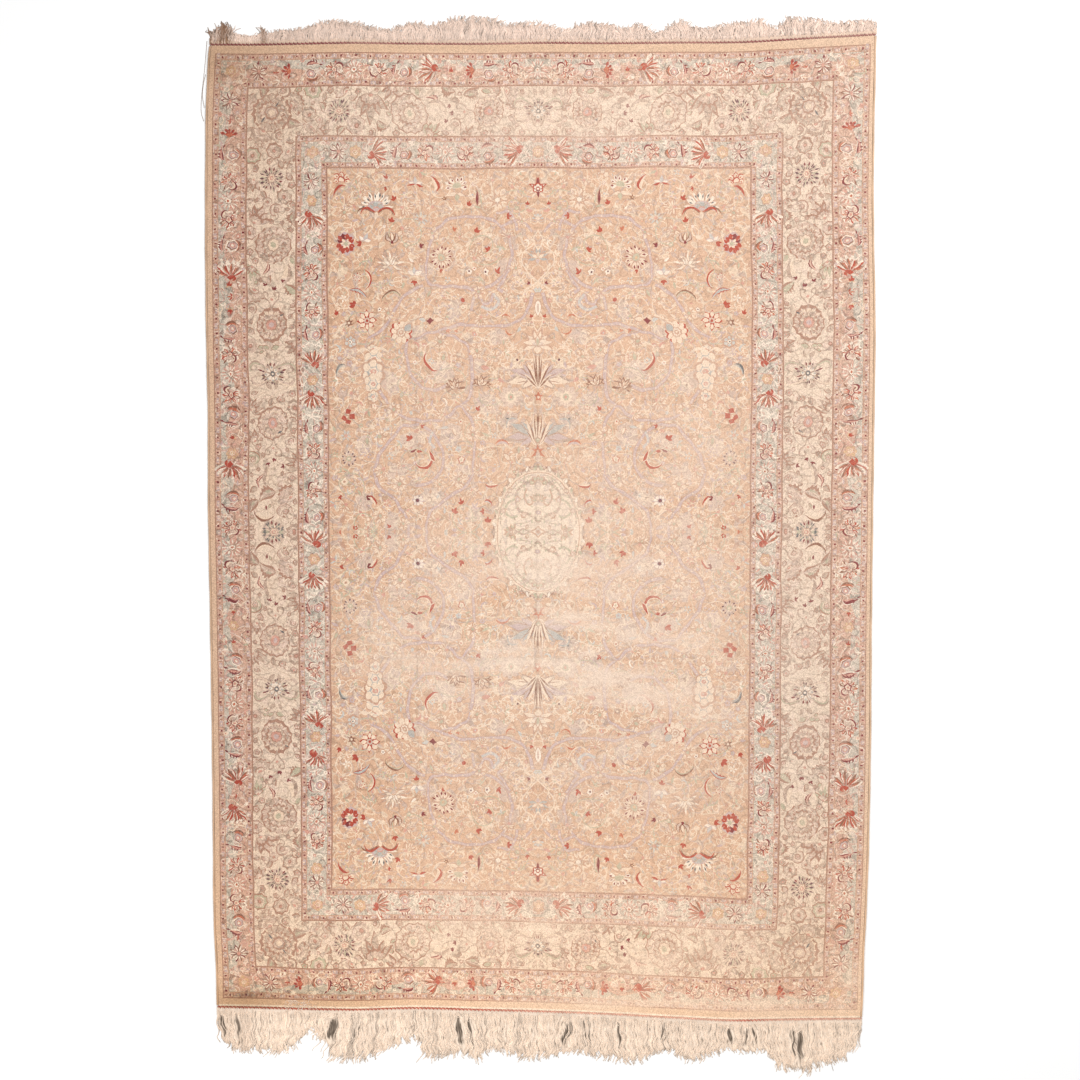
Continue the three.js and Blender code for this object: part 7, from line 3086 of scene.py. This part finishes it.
@dataclass(frozen=True)
class SilkFinish:
    """A silk surface: its yarn comes from the mesh, and knots, streaks, nap and paling vary it; the paling is
    partly painted sheen, and folds carry painted shade.
    """

    name: str
    rows: float
    speckle: float
    streak: float
    smooth: float
    dull: float
    sheen: float
    relief: float
    aged: bool = False
    cells: float = 150.0
    outline: float = 0.3
    dot: float = 0.4
    stem: float = 0.4
    stem_colour: tuple = (244, 220, 192)
    second_colour: tuple = (205, 186, 180)
    bare: tuple = (240, 213, 191)

    def material(self, groups: Groups) -> bpy.types.Material:
        """Builds the material.

        Args:
            groups: The shared node groups.

        Returns:
            The material.
        """
        material = bpy.data.materials.new(self.name)
        material.use_nodes = True
        tree = material.node_tree
        shader = tree.nodes["Principled BSDF"].inputs
        shader["Sheen Weight"].default_value = self.sheen
        shader["Sheen Roughness"].default_value = 0.35
        shader["Specular IOR Level"].default_value = 0.3
        yarn = Groups.add(tree, "Attribute", attribute_name="yarn")
        knots = Groups.add(
            tree, "Group",
            {"Rows per Metre": self.rows, "Speckle": self.speckle, "Streak": self.streak},
            node_tree=groups.knots
        )
        nap = Groups.add(
            tree, "Group", {"Smooth": self.smooth, "Dull": self.dull}, node_tree=groups.nap
        )
        colour, light, height = yarn.outputs["Color"], knots.outputs["Shade"], knots.outputs["Height"]
        if self.aged:
            figures = Groups.add(tree, "Group", {
                "Color": colour, "Amount": yarn.outputs["Alpha"], "Cells per Metre": self.cells,
                "Outline": self.outline, "Dot": self.dot, "Stem": self.stem,
                "Stem Color": (*linear(self.stem_colour), 1.0),
                "Second Color": (*linear(self.second_colour), 1.0),
            }, node_tree=groups.figures)
            colour = self.age(tree, figures.outputs["Color"], nap.outputs["Paling"])
            # Painted shade along the folds darkens the colour and lowers the bump; a strength below nought
            # lightens it as painted highlight.
            folds = self.folds(tree, groups)
            bright = Groups.less(tree, 1.0, folds)
            light = Groups.times(tree, light, bright)
            deep = Groups.times(tree, folds, 3.0)
            height = Groups.less(tree, height, deep)
        shade = Groups.add(tree, "VectorMath", {0: colour, "Scale": light}, operation="SCALE")
        bump = Groups.add(
            tree, "Bump", {"Strength": 0.35, "Distance": self.relief, "Height": height}
        )
        tree.links.new(shade.outputs["Vector"], shader["Base Color"])
        tree.links.new(nap.outputs["Roughness"], shader["Roughness"])
        tree.links.new(bump.outputs["Normal"], shader["Normal"])
        return material

    def folds(self, tree: bpy.types.NodeTree, groups: Groups) -> bpy.types.NodeSocket:
        """The sum of the painted fold shades, each its mask times its strength.

        Args:
            tree: The material's tree.
            groups: The shared node groups.

        Returns:
            The share by which the painted fold shade darkens the pile, and lightens it as painted highlight
            where a strength is below nought.
        """
        place = Groups.add(tree, "TexCoord")
        noise = Groups.add(
            tree, "TexNoise", {"Vector": place.outputs["Object"], "Scale": 34.0, "Detail": 3.0}
        )
        total = None
        for *values, strength in AGE.folds:
            inputs = dict(zip(("Place", "Width", "From", "To", "Upright"), values))
            inputs["Noise"] = noise.outputs["Fac"]
            node = Groups.add(tree, "Group", inputs, node_tree=groups.fold)
            part = Groups.times(tree, node.outputs["Mask"], strength)
            total = part if total is None else Groups.plus(tree, total, part)
        return total

    def age(
        self, tree: bpy.types.NodeTree, colour: bpy.types.NodeSocket, patch: bpy.types.NodeSocket
    ) -> bpy.types.NodeSocket:
        """Pales the yarn towards the bare pile by wear and patches, partly as painted sheen, then by the
        power, times the tone with its painted shade.

        Args:
            tree: The material's tree.
            colour: The yarn's colour.
            patch: Slow patches from 0 to 1.

        Returns:
            The aged colour.
        """
        wear_and_sheen = Groups.add(tree, "Attribute", attribute_name="wear_and_sheen")
        uneven = Groups.ranged(tree, patch, 0.36, 0.64, 0.0, 2.0)
        amount = Groups.calc(tree, "MULTIPLY", wear_and_sheen.outputs["Fac"], uneven, clamp=True)
        pale = Groups.mixed(tree, amount, colour, (*linear(self.bare), 1.0))
        power = Groups.add(tree, "Attribute", attribute_name="power")
        deep = Groups.add(tree, "Gamma", {"Color": pale, "Gamma": power.outputs["Fac"]})
        tone = Groups.add(tree, "Attribute", attribute_name="tone")
        return Groups.mixed(tree, 1.0, deep.outputs["Color"], tone.outputs["Color"], "MULTIPLY")


@dataclass(frozen=True)
class Studio:
    """The pale floor, the soft lights and the camera over the rug."""

    distance: float = 4.6
    tilt: float = 2.5
    lens: float = 50.11
    aim_x: float = -0.0025
    aim_y: float = 0.0434

    def camera(self) -> None:
        """Hangs the camera over the rug, tilted a little so that the upper end is nearer."""
        data = bpy.data.cameras.new("camera")
        data.lens = self.lens
        data.sensor_width = 36.0
        data.dof.use_dof = False
        obj = bpy.data.objects.new("camera", data)
        angle = math.radians(self.tilt)
        obj.location = (
            self.aim_x, self.aim_y + self.distance * math.sin(angle), self.distance * math.cos(angle)
        )
        obj.rotation_euler = (-angle, 0.0, 0.0)
        bpy.context.scene.collection.objects.link(obj)
        bpy.context.scene.camera = obj

    def floor(self) -> None:
        """Lays the pale floor just under the rug."""
        points = np.array(
            [[-9000, -9000, -0.4], [9000, -9000, -0.4], [9000, 9000, -0.4], [-9000, 9000, -0.4]], float
        )
        obj = MeshMaker("floor", points, np.array([[0, 1, 2, 3]]), False).build()
        material = bpy.data.materials.new("floor paint")
        material.use_nodes = True
        shader = material.node_tree.nodes["Principled BSDF"]
        shader.inputs["Base Color"].default_value = (0.93, 0.93, 0.93, 1.0)
        shader.inputs["Roughness"].default_value = 0.9
        shader.inputs["Specular IOR Level"].default_value = 0.1
        obj.data.materials.append(material)

    def lamp(self, name: str, place: tuple, aim: tuple, size: float, power: float, colour: tuple) -> None:
        """Hangs one soft square lamp.

        Args:
            name: Its name.
            place: Where it hangs, in metres.
            aim: What it faces.
            size: Its side.
            power: Its watts.
            colour: Its light.
        """
        data = bpy.data.lights.new(name, "AREA")
        data.shape = "SQUARE"
        data.size = size
        data.energy = power
        data.color = colour
        obj = bpy.data.objects.new(name, data)
        away = np.array(place, float) - np.array(aim, float)
        flat = math.hypot(away[0], away[1])
        obj.location = place
        obj.rotation_euler = (math.atan2(flat, away[2]), 0.0, math.atan2(away[0], -away[1]))
        bpy.context.scene.collection.objects.link(obj)

    def lights(self) -> None:
        """A wide soft lamp from the upper right, a weaker one from the left, and an even sky."""
        world = bpy.data.worlds.new("studio")
        world.use_nodes = True
        back = world.node_tree.nodes["Background"]
        back.inputs["Color"].default_value = (1.0, 1.0, 1.0, 1.0)
        back.inputs["Strength"].default_value = 0.55
        bpy.context.scene.world = world
        self.lamp("key", (2.8, 2.2, 4.2), (0.0, 0.0, 0.0), 3.0, 190.0, (1.0, 0.99, 0.975))
        self.lamp("fill", (-3.4, -2.2, 4.0), (0.0, 0.0, 0.0), 3.0, 120.0, (0.99, 0.995, 1.0))
        bpy.context.scene.view_settings.view_transform = "Standard"

    def build(self) -> None:
        """Sets up the camera, the floor and the lights."""
        self.camera()
        self.floor()
        self.lights()


@dataclass
class Rug:
    """The whole rug: its charts, its cords and its fringes, built in order and declared to the frame."""

    groups: Groups
    pitch: float = 5.5

    def finish_piece(
        self, obj: bpy.types.Object, material: bpy.types.Material
    ) -> bpy.types.Object:
        """Gives a piece its material and its body, and reports it."""
        obj.data.materials.clear()
        obj.data.materials.append(material)
        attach(obj, "root")
        log.info("%s: %d faces", obj.name, len(obj.data.polygons))
        return obj

    def piles(self) -> list:
        """Draws, cuts and raises every chart.

        Returns:
            The pile's pieces.
        """
        field_silk, main_silk, minor_silk = (
            SilkFinish(
                name, 520.0, speckle, 0.05, 0.5, 0.8, 0.2, 0.0006, True, cells, outline, dot, stem, light,
                other
            ).material(self.groups)
            for name, speckle, cells, outline, dot, stem, light, other in (
                ("field silk", 0.30, 150.0, 0.24, 0.5, 0.7, (247, 221, 193), (212, 188, 174)),
                ("main border silk", 0.44, 140.0, 0.36, 0.5, 0.7, (208, 178, 154), (248, 218, 198)),
                ("minor border silk", 0.48, 130.0, 0.40, 0.8, 0.7, (252, 228, 208), (226, 176, 158)),
            )
        )
        quarter = rectangle(INNER_ENDS - HALF_WIDE, 0.0, 0.0, HALF_LONG - INNER_ENDS)
        field_chart = FieldChart(quarter, Yarn.PEACH, False, 21)
        field_chart.draw()
        upper = Cloth.of(field_chart, self.pitch)
        log.info("field chart: %d patches", len(field_chart.patches))
        lower = Cloth(
            upper.points * np.array([1.0, -1.0]), upper.triangles[:, ::-1], upper.yarns, upper.back[:, ::-1]
        )
        made = [
            self.finish_piece(Pile("pile_field_upper").build(upper), field_silk),
            self.finish_piece(Pile("pile_field_lower").build(lower), field_silk),
        ]
        for name, silk, chart in (
            (
                "pile_main_border", main_silk,
                MainBorderChart(quarter_ring(OUTER_ENDS, MAIN_ENDS), Yarn.BORDER_CREAM, True, 22)
            ),
            ("pile_outer_border", minor_silk, OuterBorderChart(self.trimmed(), Yarn.BLUE_BEIGE, False, 23)),
            (
                "pile_inner_border", minor_silk,
                InnerBorderChart(half_ring(MAIN_ENDS, INNER_ENDS), Yarn.BLUE_BEIGE, False, 24)
            ),
        ):
            chart.draw()
            log.info("%s: %d patches", name, len(chart.patches))
            cloth = Cloth.of(chart, self.pitch)
            if name == "pile_outer_border":
                cloth = cloth.drawn_out((9.45, 15.3), (7.5, 13.3), (6.0, 12.0), 36.0)
            made.append(self.finish_piece(Pile(name).build(cloth), silk))
        return made

    @staticmethod
    def trimmed() -> np.ndarray:
        """The outer border's region, which stops short of the side cords and the end cords."""
        ring = half_ring(0.0, OUTER_ENDS)
        ring[:4, 1] = np.sign(ring[:4, 1]) * (HALF_LONG - END_GAP)
        ring[1:3, 0] = -(HALF_WIDE - SIDE_GAP)
        return ring

    @staticmethod
    def upper_fringe() -> Fringe:
        """The short, ruffled fringe beyond the upper end cord.

        Returns:
            The fringe.
        """
        return Fringe(
            end=1, skirt=13.0, warps=1500, stations=7, radius=1.5, wave=5.6, wave_length=34.0,
            tips=UPPER_TIPS, partings=(), tufts=UPPER_TUFTS, frizz=3.8, gather=0.3,
            threads=UPPER_THREADS, seed=31, columns=700, rows=5, ragged=0.17, shaded=0.72,
        )

    @staticmethod
    def lower_fringe() -> Fringe:
        """The long fringe beyond the lower end cord.

        Returns:
            The fringe.
        """
        return Fringe(
            end=-1, skirt=19.0, warps=1180, stations=14, radius=1.6, wave=5.8, wave_length=46.0,
            tips=LOWER_TIPS, partings=PARTINGS, tufts=LOWER_TUFTS, frizz=1.8, gather=0.3,
            threads=LOWER_THREADS, seed=32, columns=860, rows=12, ragged=0.07, shaded=0.93,
        )

    def build(self) -> None:
        weave, wrap, plies, warp, flat = (
            SilkFinish(*values).material(self.groups)
            for values in (
                ("woven silk foundation", 800.0, 0.08, 0.05, 0.6, 0.85, 0.1, 0.0004),
                ("overcast camel silk", 420.0, 0.12, 0.0, 0.45, 0.7, 0.25, 0.0005),
                ("twined silk plies", 700.0, 0.14, 0.0, 0.45, 0.7, 0.2, 0.0004),
                ("loose silk warps", 600.0, 0.16, 0.0, 0.6, 0.9, 0.08, 0.0003),
                ("flat-woven silk strip", 520.0, 0.10, 0.04, 0.55, 0.85, 0.2, 0.0006),
            )
        )
        base = Foundation().build()
        camel = np.tile(linear((226, 196, 166)), (len(base.data.vertices), 1))
        MeshMaker.colour(base, "yarn", "POINT", camel)
        self.finish_piece(base, weave)
        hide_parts("rug_body")
        parts = self.piles()
        for side, node in ((-1, "selvedge_left"), (1, "selvedge_right")):
            cord = self.finish_piece(Selvedge(side).build(), wrap)
            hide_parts(node)
            parts.append(cord)
        for end, node in ((1, "end_cord_upper"), (-1, "end_cord_lower")):
            cord = self.finish_piece(EndCord(end).build(), plies)
            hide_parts(node)
            parts.append(cord)
        for fringe, node in ((self.upper_fringe(), "fringe_upper"), (self.lower_fringe(), "fringe_lower")):
            strip, fibre_and_shadow_mat, warps = fringe.build()
            self.finish_piece(strip, flat)
            self.finish_piece(fibre_and_shadow_mat, warp)
            self.finish_piece(warps, warp)
            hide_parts(node)
            parts.extend((strip, fibre_and_shadow_mat, warps))


def main() -> None:
    """Builds the studio and the rug."""
    logging.basicConfig(level=logging.INFO, format="%(name)s: %(message)s")
    Studio().build()
    Rug(Groups.make()).build()


if __name__ == "__main__":
    main()
